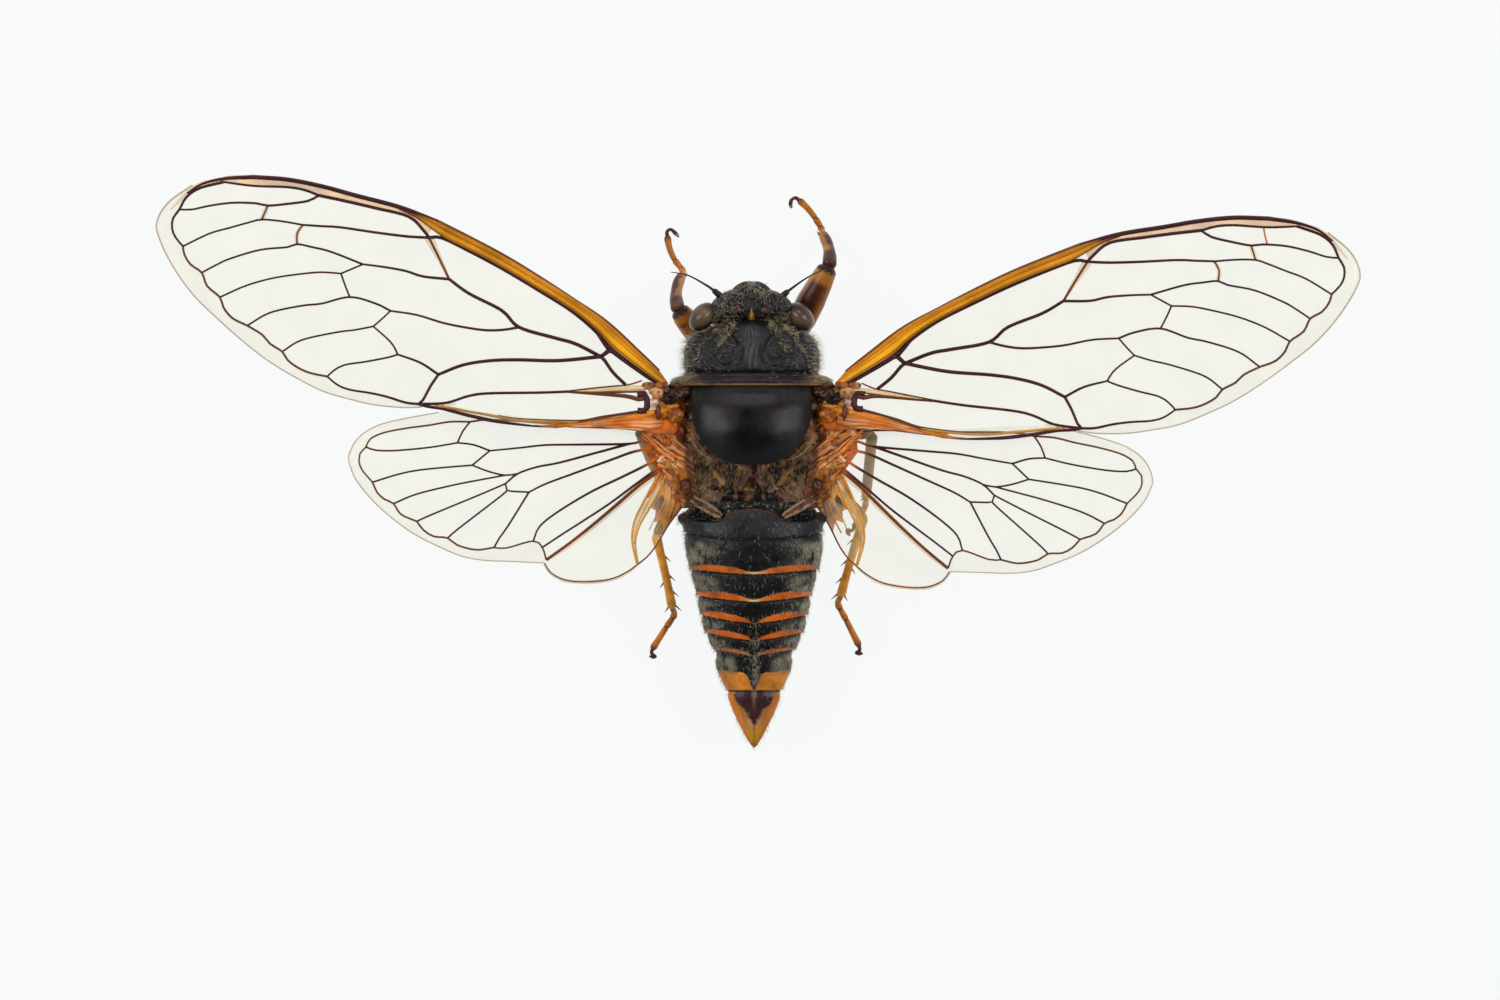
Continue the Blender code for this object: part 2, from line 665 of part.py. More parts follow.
# Fore wing, as it lies on the left: (outwards, backwards) from FORE_ROOT in wing units.
FORE_EDGE = (
    (-0.33, 0.36), (0.24, -0.28), (0.72, -0.85), (0.98, -1.42), (2.44, -2.65), (3.81, -3.62), (5.19, -4.51),
    (6.57, -5.34), (7.94, -6.06), (9.18, -6.68), (10.7, -7.27), (12.44, -7.73), (13.81, -8.11),
    (15.19, -8.38), (16.57, -8.47), (17.74, -8.42), (18.98, -8.07), (19.94, -7.38),
    (20.39, -6.63), (20.32, -6.0), (19.8, -4.9), (18.98, -3.73), (17.94, -2.7), (16.84, -1.73),
    (15.88, -1.0), (14.84, -0.38), (13.81, 0.14), (12.78, 0.45), (11.74, 0.69), (10.6, 0.8),
    (9.85, 0.78), (8.94, 0.85), (7.49, 1.26), (5.08, 1.51), (3.7, 1.61), (1.64, 1.68),
    (-0.33, 1.8),
)
FORE_JOINTS = {
    "rim_1": (19.5, -7.1), "rim_2": (19.36, -5.63), "rim_3": (18.61, -4.58),
    "rim_4": (17.89, -3.6), "rim_5": (16.8, -2.47), "rim_6": (15.41, -1.43),
    "rim_7": (13.62, -0.44), "rim_8": (9.98, 0.66), "stigma": (17.74, -8.2),
    "fork": (13.95, -7.67), "bar_top": (15.98, -7.26), "bar_foot": (16.22, -6.7),
    "step_top": (14.58, -6.49), "step_foot": (14.81, -5.72), "node": (9.56, -5.99),
    "mid_top": (12.19, -4.92), "mid_near": (13.06, -4.55), "mid_foot": (12.71, -3.61),
    "low_top": (11.09, -3.06), "low_near": (11.78, -2.44), "low_foot": (10.8, -1.32),
    "media_fork": (8.75, -4.33), "media": (5.95, -2.41), "base_cell": (2.7, -1.24),
    "heel": (9.18, -0.52), "radius_foot": (2.32, -1.52), "cubitus": (1.7, -0.11),
    "hinge": (1.02, 0.23), "clavus": (8.87, 0.61),
}
FORE_VEINS = (  # ridge size, then joints or places along the vein
    (1.5, (0.1, 0.1), (0.88, -0.45), "radius_foot", (2.85, -2.2), (3.81, -3.06), (5.19, -3.93),
     (6.57, -4.75), (7.94, -5.48), (9.12, -6.03), "node"),
    (1.3, (0.35, -0.2), (1.05, -1.15), (2.5, -2.35), (3.87, -3.32), (5.25, -4.21), (6.63, -5.04),
     (8.0, -5.76), (9.24, -6.38), (10.76, -6.97), (12.5, -7.43), (13.87, -7.83), (15.2, -8.1),
     (16.57, -8.2), "stigma"),
    (1.0, "node", (10.37, -6.83), (11.74, -7.18), "fork", (15.19, -7.98), "stigma",
     (18.7, -8.0), (19.22, -7.59), "rim_1", (19.79, -6.4), "rim_2"),
    (0.9, "rim_2", (19.15, -5.0), "rim_3", (18.33, -4.0), "rim_4", (17.5, -2.92), "rim_5",
     (16.3, -1.83), "rim_6", (14.7, -0.75), "rim_7", (12.71, 0.09), (11.2, 0.38), "rim_8"),
    (0.8, "fork", (14.8, -7.38), "bar_top", (17.39, -7.37), "rim_1"),
    (0.7, "bar_top", "bar_foot"),
    (0.8, "step_top", (15.46, -6.64), "bar_foot", (17.46, -6.38), "rim_2"),
    (0.7, "step_top", "step_foot"),
    (0.8, "mid_top", (13.47, -5.42), "step_foot", (16.29, -5.49), (17.7, -5.05), "rim_3"),
    (0.7, "mid_top", "mid_near"),
    (0.8, "mid_near", (14.5, -4.55), (15.74, -4.37), "rim_4"),
    (0.7, "mid_near", "mid_foot"),
    (0.8, "low_top", (11.9, -3.45), "mid_foot", (14.64, -3.26), "rim_5"),
    (0.7, "low_top", "low_near"),
    (0.8, "low_near", (13.26, -2.2), (14.64, -1.89), "rim_6"),
    (0.8, "low_near", (11.26, -1.99), "low_foot"),
    (0.8, "low_foot", (12.09, -1.03), "rim_7"),
    (0.9, "step_top", (13.12, -6.44), (11.74, -6.2), (10.3, -6.04), "node"),
    (1.0, "media_fork", (9.8, -4.44), "mid_top"),
    (0.9, "node", "media_fork"),
    (1.0, "base_cell", (4.5, -1.96), "media", (7.2, -3.3), "media_fork"),
    (0.9, "media", (7.26, -2.29), (8.98, -2.58), "low_top"),
    (1.0, "base_cell", (4.39, -1.08), (6.04, -1.11), (7.6, -0.98), "heel"),
    (0.9, "heel", (9.9, -0.99), "low_foot"),
    (0.9, "heel", "rim_8"),
    (1.0, "radius_foot", "base_cell", "cubitus"),
    (1.1, "hinge", "cubitus", (4.04, 0.14), (7.14, 0.23), "clavus", "rim_8"),
    (1.2, "hinge", (0.95, 0.85), (3.01, 1.2), (5.3, 1.27), (7.28, 1.02), "rim_8"),
)

# Hind wing, as it lies on the left: (outwards, backwards) from HIND_ROOT in wing units.
HIND_EDGE = (
    (-0.45, -0.55), (0.6, -0.62), (2.6, -0.8), (5.0, -1.04), (6.6, -1.24), (8.0, -1.36),
    (9.1, -1.32), (10.76, -1.01), (11.7, -0.72), (12.35, -0.25), (12.69, 0.42), (12.61, 0.9),
    (12.33, 1.49), (11.6, 2.35), (10.64, 3.17), (9.86, 3.68), (9.07, 4.07), (8.23, 4.43),
    (7.3, 4.61), (6.2, 4.66), (4.95, 4.72), (4.68, 5.14), (4.1, 5.47), (3.25, 5.55),
    (2.23, 5.46), (1.5, 5.15), (0.7, 4.5), (0.3, 3.95), (0.04, 3.25), (-0.25, 2.75),
    (-0.62, 2.3), (-1.0, 1.95), (-0.78, 1.2), (-0.45, 0.3),
)
HIND_JOINTS = {
    "front": (7.84, -0.94), "rim_1": (12.0, 0.07), "rim_2": (11.74, 1.48), "rim_3": (10.9, 2.34),
    "rim_4": (9.97, 3.05), "rim_5": (8.74, 3.72), "rim_6": (6.88, 4.1), "rim_7": (5.31, 3.84),
    "rim_8": (4.95, 4.1), "fold": (4.79, 4.6), "front_foot": (8.34, -0.1), "radius": (7.05, 0.22),
    "stem": (1.46, -0.06), "near": (7.75, 0.8), "pair_top": (6.43, 1.2), "pair": (5.93, 1.14),
    "pair_foot": (6.42, 1.54), "short": (6.36, 1.81), "cubitus": (5.48, 1.88),
}
HIND_VEINS = (
    (0.9, (0.0, -0.3), (2.6, -0.55), (5.0, -0.8), (6.6, -1.0), "front", (9.86, -0.73),
     (11.37, -0.45), (11.9, -0.2), "rim_1", (12.28, 0.62), "rim_2"),
    (0.8, "rim_2", (11.5, 1.92), "rim_3", (10.6, 2.75), "rim_4", (9.5, 3.55), "rim_5",
     (8.0, 4.12), "rim_6", (6.04, 4.04), "rim_7", "rim_8", "fold"),
    (0.7, "front", "front_foot"),
    (0.7, "front_foot", (10.08, 0.15), "rim_1"),
    (0.7, "front_foot", "radius"),
    (0.8, "radius", (5.26, 0.04), (3.3, -0.02), "stem", (0.2, -0.15)),
    (0.7, "radius", "near"),
    (0.7, "near", (9.97, 1.01), "rim_2"),
    (0.7, "near", "pair_top", "pair"),
    (0.7, "pair_top", (8.51, 1.61), (10.2, 2.05), "rim_3"),
    (0.8, "stem", (3.25, 0.39), (4.7, 0.78), "pair", "pair_foot"),
    (0.7, "pair_foot", (8.51, 2.4), "rim_4"),
    (0.7, "pair_foot", "short", "cubitus"),
    (0.7, "short", (7.39, 2.52), "rim_5"),
    (0.9, (0.2, 0.1), (1.97, 0.52), (3.6, 1.1), "cubitus"),
    (0.8, "cubitus", (6.1, 2.89), "rim_6"),
    (0.8, (0.2, 0.4), (1.72, 1.24), (4.02, 2.46), (5.0, 3.2), "rim_7"),
    (0.8, (0.05, 0.75), (1.21, 1.52), (3.25, 2.97), "rim_8"),
    (1.1, (0.3, 1.15), (1.87, 2.28), (3.76, 3.81), "fold"),
    (0.9, (0.1, 1.3), (0.7, 2.44), (1.25, 3.6), (1.13, 4.6)),
)


def wing_plate(name, edge):
    """The membrane, as a flat plate with the wing's outline, halfway up at z = 0."""
    curve = bpy.data.curves.new(name, "CURVE")
    curve.dimensions = "2D"
    curve.fill_mode = "BOTH"
    curve.extrude = MEMBRANE / 2 * MM
    spline = curve.splines.new("POLY")
    spline.points.add(len(edge) - 1)
    for spot, (out, back) in zip(spline.points, edge):
        spot.co = (out * WING_UNIT * MM, back * WING_UNIT * MM, 0.0, 1.0)
    spline.use_cyclic_u = True
    obj = bpy.data.objects.new(name, curve)
    bpy.context.scene.collection.objects.link(obj)
    plate = meshed(obj)
    bm = bmesh.new()
    bm.from_mesh(plate.data)
    bmesh.ops.dissolve_limit(bm, angle_limit=0.01, verts=bm.verts, edges=bm.edges)
    bm.to_mesh(plate.data)
    bm.free()
    return plate


def vein(size, places, joints):
    """One vein as a slim ridge that shows on both faces of the membrane."""
    spots = [Vector(joints[p] if isinstance(p, str) else p).to_3d() for p in places]
    line = through(spots, VEIN_STEP)
    line[0] += (line[0] - line[1]).normalized() * VEIN_OVERRUN
    line[-1] += (line[-1] - line[-2]).normalized() * VEIN_OVERRUN
    radius = MEMBRANE / 2 + VEIN_HEIGHT * size
    return tube("vein", [p * WING_UNIT for p in line], [radius] * len(line), 0)


def mirror_faces(obj):
    """Makes the lower face the exact mirror of the upper one, so both have the same triangles."""
    bm = bmesh.new()
    bm.from_mesh(obj.data)
    bmesh.ops.bisect_plane(
        bm, geom=[*bm.verts, *bm.edges, *bm.faces], dist=1e-7,
        plane_co=(0, 0, 0), plane_no=(0, 0, -1), clear_outer=True,
    )
    for vert in bm.verts:
        if abs(vert.co.z) < 2e-6:
            vert.co.z = 0.0
    bmesh.ops.triangulate(bm, faces=bm.faces)
    bmesh.ops.dissolve_degenerate(bm, dist=2e-6, edges=bm.edges)
    bmesh.ops.triangulate(bm, faces=bm.faces)
    upper = list(bm.faces)
    copy = bmesh.ops.duplicate(bm, geom=[*bm.verts, *bm.edges, *upper])
    lower = [g for g in copy["geom"] if isinstance(g, bmesh.types.BMFace)]
    for vert in {v for face in lower for v in face.verts}:
        vert.co.z = -vert.co.z
    bmesh.ops.reverse_faces(bm, faces=lower)
    rim = [vert for vert in bm.verts if vert.co.z == 0.0]
    bmesh.ops.remove_doubles(bm, verts=rim, dist=1e-7)
    bm.to_mesh(obj.data)
    bm.free()


def wing_height(out, back, axis):
    """Height of the wing's middle above its root: a rise that levels out, and a slight camber."""
    aside = out * axis.y - back * axis.x
    return WING_RISE * out - WING_DROOP * out * out - WING_CAMBER * aside * aside


def build_wing(name, side, edge, joints, veins, root, axis, turn):
    wing = wing_plate(name, edge)
    fuse(wing, [vein(size, places, joints) for size, *places in veins])
    mirror_faces(wing)
    swing = Matrix.Rotation(turn, 2)
    for vert in wing.data.vertices:
        out, back, up = vert.co / MM
        height = root.z + wing_height(out, back, axis) + up
        out, back = swing @ Vector((out, back))
        vert.co = Vector((side * (root.x + out), root.y + back, height)) * MM
    if side < 0:
        wing.data.flip_normals()
    return wing


def build_wings(collection, material):
    for side, label in ((1, "left"), (-1, "right")):
        turned = side < 0
        fore = build_wing(
            f"forewing_{label}", side, FORE_EDGE, FORE_JOINTS, FORE_VEINS,
            FORE_ROOT, FORE_AXIS, RIGHT_FORE_TURN if turned else 0.0,
        )
        hind = build_wing(
            f"hindwing_{label}", side, HIND_EDGE, HIND_JOINTS, HIND_VEINS,
            HIND_ROOT, HIND_AXIS, RIGHT_HIND_TURN if turned else 0.0,
        )
        finish(fore, collection, material)
        finish(hind, collection, material)


def build_legs(collection, materials):
    for key, leg in LEGS.items():
        fore, hind = key.startswith("fore"), key.startswith("hind")
        thigh = build_thigh(f"{key}_thigh", leg, fore)
        shin = build_shin(f"{key}_shin", leg, hind)
        foot = build_foot(f"{key}_foot", leg)
        finish(thigh, collection, materials["dark_leg"])
        finish(shin, collection, materials["amber_leg"])
        finish(foot, collection, materials["amber_leg"])


def main():
    clear_scene()
    insect = make_collection("cicada")
    materials = {name: make_material(name) for name in PALETTE}
    finish(build_head(), insect, materials["black_cuticle"])
    for side, label in ((1, "left"), (-1, "right")):
        finish(build_eye(f"eye_{label}", side), insect, materials["compound_eye"])
        finish(build_antenna(f"antenna_{label}", side), insect, materials["black_cuticle"])
    finish(build_rostrum(), insect, materials["brown_cuticle"])
    finish(build_prothorax(), insect, materials["black_cuticle"])
    finish(build_mesonotum(), insect, materials["black_cuticle"])
    finish(build_thorax(), insect, materials["brown_cuticle"])
    finish(build_abdomen(), insect, materials["black_cuticle"])
    finish(build_tail(), insect, materials["orange_tail"])
    build_legs(insect, materials)
    build_wings(insect, materials["wing"])


main()
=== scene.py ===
# %% [markdown]
# # A new forest cicada with its wings spread
# This notebook dresses the solids of a life-size cicada. The insect is about 20 mm long and its
# wings span 52 mm, so every size below is in millimetres and becomes metres only where a mesh is
# made. +X is the insect's left, its head points along -Y, and +Z is up. The real animal is black
# and ochre, with wings as clear as glass, and it is seen from straight above.

# %% Load the solids that everything is fitted to
import math

import bmesh
import bpy
import numpy as np
from mathutils import Matrix, Vector
from mathutils.geometry import delaunay_2d_cdt


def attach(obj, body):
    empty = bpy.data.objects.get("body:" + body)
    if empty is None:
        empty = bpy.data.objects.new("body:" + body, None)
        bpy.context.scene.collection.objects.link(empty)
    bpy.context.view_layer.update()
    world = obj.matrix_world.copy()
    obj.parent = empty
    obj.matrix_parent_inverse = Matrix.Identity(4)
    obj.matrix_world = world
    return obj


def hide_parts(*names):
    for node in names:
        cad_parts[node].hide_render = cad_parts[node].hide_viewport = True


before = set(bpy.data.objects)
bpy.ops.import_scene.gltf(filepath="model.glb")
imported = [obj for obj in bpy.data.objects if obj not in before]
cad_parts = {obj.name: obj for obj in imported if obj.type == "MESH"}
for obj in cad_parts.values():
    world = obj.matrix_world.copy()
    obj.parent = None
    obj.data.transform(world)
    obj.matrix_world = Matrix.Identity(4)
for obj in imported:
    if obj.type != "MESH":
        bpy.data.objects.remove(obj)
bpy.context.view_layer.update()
MM = 0.001
rng = np.random.default_rng(7)

# %% [markdown]
# Nearly every piece of an insect is a shell that was lofted from rings, a slim tube, or a thin
# sheet. They could be sculpted by hand, but rings of points from a short table of stations are
# easier to change, and numpy makes thousands of points at once. The next cells are those tools.


# %% Meshes from points, with a painted colour for each point
def piece(name, points, faces, turn_out=True):
    """A new object from points in mm, its faces turned outwards unless they already are."""
    mesh = bpy.data.meshes.new(name)
    mesh.from_pydata((np.asarray(points) * MM).tolist(), [], faces)
    mesh.validate()
    if turn_out:
        bm = bmesh.new()
        bm.from_mesh(mesh)
        bmesh.ops.recalc_face_normals(bm, faces=bm.faces)
        bm.to_mesh(mesh)
        bm.free()
    mesh.shade_smooth()
    obj = bpy.data.objects.new(name, mesh)
    bpy.context.scene.collection.objects.link(obj)
    return obj


def paint(obj, colours):
    """Stores one colour for each point, which the materials read as the attribute hue."""
    colours = np.broadcast_to(np.asarray(colours, float), (len(obj.data.vertices), 3))
    hue = obj.data.color_attributes.new("hue", "FLOAT_COLOR", "POINT")
    hue.data.foreach_set("color", np.column_stack([colours, np.ones(len(colours))]).ravel())


print("a point given in mm is multiplied by", MM)


# %% Colours laid over each other, and soft steps
def blend(base, over, amount):
    """base colours with over laid on them by amount, from 0 to 1 for each point."""
    amount = np.clip(np.asarray(amount, float), 0.0, 1.0)[..., None]
    return np.asarray(base, float) * (1 - amount) + np.asarray(over, float) * amount


def layered(colour, *layers):
    """A colour with layers laid over it in turn, each a pair of a colour and its amount."""
    for over, amount in layers:
        colour = blend(colour, over, amount)
    return colour


def fade(value, start, end):
    """0 before start, 1 after end, and a soft rise between; start may be above end."""
    share = np.clip((value - start) / (end - start), 0.0, 1.0)
    return share * share * (3 - 2 * share)


def hill(value, centre, width):
    """1 at the centre, falling off softly to both sides over about one width."""
    return np.exp(-(((value - centre) / width) ** 2))


def xyz(grid):
    """The three coordinates of a grid of points, each as an array of its own."""
    return np.moveaxis(grid, -1, 0)


print("mesh tools ready")


# %% Smooth lines and tables
def eased(stations, ys):
    """The columns of a table of stations, read at ys along smooth curves."""
    table = np.array(stations, float)
    y, values = table[:, 0], table[:, 1:]
    slopes = np.gradient(values, y, axis=0)
    k = np.clip(np.searchsorted(y, ys, side="right") - 1, 0, len(y) - 2)
    gap = (y[k + 1] - y[k])[:, None]
    t = np.clip((ys - y[k])[:, None] / gap, 0.0, 1.0)
    start = (2 * t**3 - 3 * t**2 + 1) * values[k] + (t**3 - 2 * t**2 + t) * gap * slopes[k]
    end = (3 * t**2 - 2 * t**3) * values[k + 1] + (t**3 - t**2) * gap * slopes[k + 1]
    return start + end


def through(points, step):
    """Points about one step apart along a smooth curve through the given ones."""
    points = [np.asarray(p, float) for p in points]
    if len(points) == 2:
        points.insert(1, (points[0] + points[1]) / 2)
    ends = [2 * points[0] - points[1], *points, 2 * points[-1] - points[-2]]
    found = [points[0]]
    for p0, p1, p2, p3 in zip(ends, ends[1:], ends[2:], ends[3:]):
        pieces = max(1, round(float(np.linalg.norm(p2 - p1)) / step))
        for i in range(1, pieces + 1):
            t = i / pieces
            found.append(0.5 * (
                2 * p1
                + (p2 - p0) * t
                + (2 * p0 - 5 * p1 + 4 * p2 - p3) * t * t
                + (3 * p1 - p0 - 3 * p2 + p3) * t * t * t
            ))
    return np.array(found)


print("a line through 3 points:", len(through([(0, 0), (1, 1), (2, 0)], 0.2)), "points")


# %% Shells from rings
def turns(sides):
    """The angles of points spaced evenly round a ring."""
    return np.linspace(0, 2 * math.pi, sides, endpoint=False)


def ring_faces(rows, sides):
    """Faces of a grid of rows, each of them a ring of sides points, with a cap at both ends."""
    faces = []
    for row in range(rows - 1):
        for i in range(sides):
            k = (i + 1) % sides
            faces.append((row * sides + i, row * sides + k,
                          (row + 1) * sides + k, (row + 1) * sides + i))
    faces.append(tuple(range(sides))[::-1])
    faces.append(tuple((rows - 1) * sides + i for i in range(sides)))
    return faces


def barrel(stations, ys, sides, fullness=2.2):
    """A grid of points: at each y a ring with its half width, top, bottom and widest height."""
    half, top, bottom, waist = eased(stations, ys).T
    angle = turns(sides)
    across = np.sign(np.cos(angle)) * abs(np.cos(angle)) ** (2 / fullness)
    up = np.sign(np.sin(angle)) * abs(np.sin(angle)) ** (2 / fullness)
    tall = np.where(up > 0, (top - waist)[:, None], (waist - bottom)[:, None])
    grid = np.empty((len(ys), sides, 3))
    grid[..., 0] = half[:, None] * across
    grid[..., 1] = ys[:, None]
    grid[..., 2] = waist[:, None] + tall * up
    return grid


def shell(name, grid):
    rows, sides = grid.shape[:2]
    return piece(name, grid.reshape(-1, 3), ring_faces(rows, sides))


print("two rings of 8 points make", len(ring_faces(2, 8)), "faces, with the caps")


# %% Tubes, and several parts in one piece
def normed(rows, least=1e-12):
    """Vectors made one long; least saves one of no length from a division by zero."""
    return rows / (np.linalg.norm(rows, axis=-1, keepdims=True) + least)


def tube_mesh(line, radii, sides):
    """Points and faces of a round tube along a line, with its own radius at each point."""
    line = np.asarray(line, float)
    radii = np.broadcast_to(np.asarray(radii, float), len(line))
    along = normed(np.gradient(line, axis=0))
    up = np.array([0.0, 0.0, 1.0])
    if abs(along[:, 2]).max() > 0.9:
        up = np.array([0.31, 0.87, 0.38])
    across = normed(np.cross(along, up))
    over = np.cross(across, along)
    angle = turns(sides)
    ring = (np.cos(angle)[None, :, None] * across[:, None, :]
            + np.sin(angle)[None, :, None] * over[:, None, :])
    grid = line[:, None, :] + ring * radii[:, None, None]
    return grid.reshape(-1, 3), ring_faces(len(line), sides)


def gather(name, parts):
    """One object from several (points, faces, colour) parts, painted in their own colours."""
    points, faces, colours, first = [], [], [], 0
    for own_points, own_faces, colour in parts:
        points.append(own_points)
        faces.extend(tuple(i + first for i in face) for face in own_faces)
        colours.append(np.broadcast_to(np.asarray(colour, float), (len(own_points), 3)))
        first += len(own_points)
    obj = piece(name, np.concatenate(points), faces)
    paint(obj, np.concatenate(colours))
    return obj


print("tubes ready")

# %% [markdown]
# Real cuticle is never one flat colour. It is horn-like: dark pigment under a clear skin, with
# fine pits and wrinkles that break up its shine. A texture image could carry that, but a
# procedural material keeps its detail at any zoom. Each finish here reads the painted colour,
# stains it with noise and roughens it with a small bump.


# %% Small groups of shader nodes
def new_material(name):
    material = bpy.data.materials.new(name)
    material.use_nodes = True
    nodes, links = material.node_tree.nodes, material.node_tree.links
    return material, nodes, links, nodes["Principled BSDF"]


def noise_of(nodes, links, place, scale, detail):
    """A noise over the piece's own space, so that it stays with the piece."""
    noise = nodes.new("ShaderNodeTexNoise")
    noise.inputs["Scale"].default_value = scale
    noise.inputs["Detail"].default_value = detail
    links.new(place, noise.inputs["Vector"])
    return noise.outputs["Fac"]


def mapped(nodes, links, value, low, high, start=0.3, end=0.7):
    """A value stretched so that start becomes low and end becomes high."""
    span = nodes.new("ShaderNodeMapRange")
    for name, number in zip(("From Min", "From Max", "To Min", "To Max"), (start, end, low, high)):
        span.inputs[name].default_value = number
    links.new(value, span.inputs["Value"])
    return span.outputs["Result"]


def bumped(nodes, links, height, strength, distance):
    bump = nodes.new("ShaderNodeBump")
    bump.inputs["Strength"].default_value = strength
    bump.inputs["Distance"].default_value = distance
    links.new(height, bump.inputs["Height"])
    return bump.outputs["Normal"]


print("node helpers ready")


# %% The finish of cuticle, and how each piece is dressed
def finish_of(name, roughness, grain, relief, stain, shine, coat=0.0):
    """A cuticle: painted colour, cloudy stain and wear in its gloss, and a fine grain of bump."""
    material, nodes, links, shader = new_material(name)
    shader.inputs["Specular IOR Level"].default_value = shine
    shader.inputs["Coat Weight"].default_value = coat
    shader.inputs["Coat Roughness"].default_value = 0.12
    hue = nodes.new("ShaderNodeAttribute")
    hue.attribute_name = "hue"
    place = nodes.new("ShaderNodeTexCoord").outputs["Object"]
    cloud = noise_of(nodes, links, place, grain * 0.9, 4.0)
    tint = nodes.new("ShaderNodeVectorMath")
    tint.operation = "SCALE"
    links.new(hue.outputs["Color"], tint.inputs[0])
    links.new(mapped(nodes, links, cloud, 1.0 - stain, 1.0 + stain), tint.inputs["Scale"])
    links.new(tint.outputs["Vector"], shader.inputs["Base Color"])
    wear = mapped(nodes, links, cloud, roughness * 0.75, roughness * 1.3)
    links.new(wear, shader.inputs["Roughness"])
    pits = noise_of(nodes, links, place, grain * 7, 3.0)
    links.new(bumped(nodes, links, pits, relief, 0.03 * MM), shader.inputs["Normal"])
    return material


def dress(obj, material, slot, *nodes):
    """Gives a piece its finish, hangs it on the root, and hides the solids it stands for."""
    obj.data.materials.append(material)
    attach(obj, "root")
    if nodes:
        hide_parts(*nodes)
    return obj


print("finish helpers ready")

# %% The colours and finishes
BLACK = (0.0045, 0.0042, 0.0052)
CHARCOAL = (0.013, 0.0125, 0.0145)
UMBER = (0.06, 0.022, 0.012)
VEIN_BROWN = (0.056, 0.012, 0.013)
AMBER = (0.78, 0.3, 0.008)
ORANGE = (0.57, 0.112, 0.003)
LEG_OCHRE = (0.9, 0.4, 0.045)
LEG_BROWN = (0.13, 0.035, 0.012)

black_cuticle = finish_of("black cuticle", 0.34, grain=1300, relief=0.8, stain=0.35, shine=0.24)
polished_cuticle = finish_of("polished black cuticle", 0.31, grain=1100, relief=0.16, stain=0.35,
    shine=0.21)
leg_cuticle = finish_of("horny leg cuticle", 0.32, grain=900, relief=0.3, stain=0.3, coat=0.06,
    shine=0.22)
vein_cuticle = finish_of("wing vein", 0.36, grain=800, relief=0.2, stain=0.25, shine=0.22)
print("finishes:", [m.name for m in bpy.data.materials])

# %% [markdown]
# A cicada's wing is a sheet of clear membrane stretched over branching tubes, the veins. The
# front edge is a stout amber beam that carries the load up to a joint called the node; behind it
# the veins fork, are tied by short cross veins, and end in one vein that runs round just inside
# the soft rim. A photograph on a plane would show all this from above only. Here each vein is a
# tapered tube through named joints, so that neighbouring veins meet exactly, also seen from the
# side. Joints are (outwards, backwards) from the wing's root in wing units of 1.08 mm.

# %% Where the fore wing's joints and edges lie
WING_UNIT = 1.08
FORE_EDGE = (
    (-0.33, 0.36), (0.0, -0.2), (0.36, -0.74), (1.14, -1.52), (2.44, -2.7), (3.81, -3.62),
    (5.19, -4.51), (6.57, -5.34), (7.94, -6.06), (9.18, -6.68), (10.7, -7.27), (12.44, -7.73),
    (13.81, -8.11), (15.19, -8.38), (16.57, -8.47), (17.74, -8.42), (18.98, -8.07),
    (19.94, -7.38), (20.39, -6.63), (20.32, -6.0), (19.8, -4.9), (18.98, -3.73), (17.94, -2.7),
    (16.84, -1.73), (15.88, -1.0), (14.84, -0.38), (13.81, 0.14), (12.78, 0.45), (11.74, 0.69),
    (10.6, 0.8), (9.85, 0.78), (8.94, 0.85), (7.49, 1.26), (5.08, 1.51), (3.7, 1.61),
    (1.64, 1.68), (-0.33, 1.8),
)
FORE_JOINTS = {
    "rim_1": (19.5, -7.1), "rim_2": (19.36, -5.63), "rim_3": (18.61, -4.58),
    "rim_4": (17.89, -3.6), "rim_5": (16.8, -2.47), "rim_6": (15.41, -1.43),
    "rim_7": (13.62, -0.44), "rim_8": (9.98, 0.66), "stigma": (17.74, -8.2),
    "fork": (13.95, -7.67), "bar_top": (15.98, -7.26), "bar_foot": (16.22, -6.7),
    "step_top": (14.58, -6.49), "step_foot": (14.81, -5.72), "node": (9.56, -5.99),
    "mid_top": (12.19, -4.92), "mid_near": (13.06, -4.55), "mid_foot": (12.71, -3.61),
    "low_top": (11.09, -3.06), "low_near": (11.78, -2.44), "low_foot": (10.8, -1.32),
    "media_fork": (8.75, -4.33), "media": (5.95, -2.41), "base_cell": (2.7, -1.24),
    "heel": (9.18, -0.52), "radius_foot": (2.32, -1.52), "cubitus": (1.7, -0.11),
    "hinge": (0.95, 0.23), "hinge_foot": (0.93, 0.85), "clavus": (8.87, 0.61),
}
WING_BEAM_TOP = (
    (0.03, -0.22), (0.36, -0.68), (0.76, -1.07), (1.14, -1.42), (2.19, -2.42), (3.04, -3.08),
    (4.2, -3.84), (5.21, -4.47), (6.59, -5.3), (7.96, -6.02), (9.2, -6.64), (10.04, -7.0),
    (10.76, -7.26),
)
WING_BEAM_FOOT = (
    (0.06, -0.02), (0.5, -0.27), (1.31, -0.84), (2.26, -1.58), (2.84, -2.24), (3.83, -3.06),
    (5.21, -3.93), (6.59, -4.75), (7.96, -5.48), (9.0, -6.0), (10.0, -6.72), (10.76, -7.1),
)

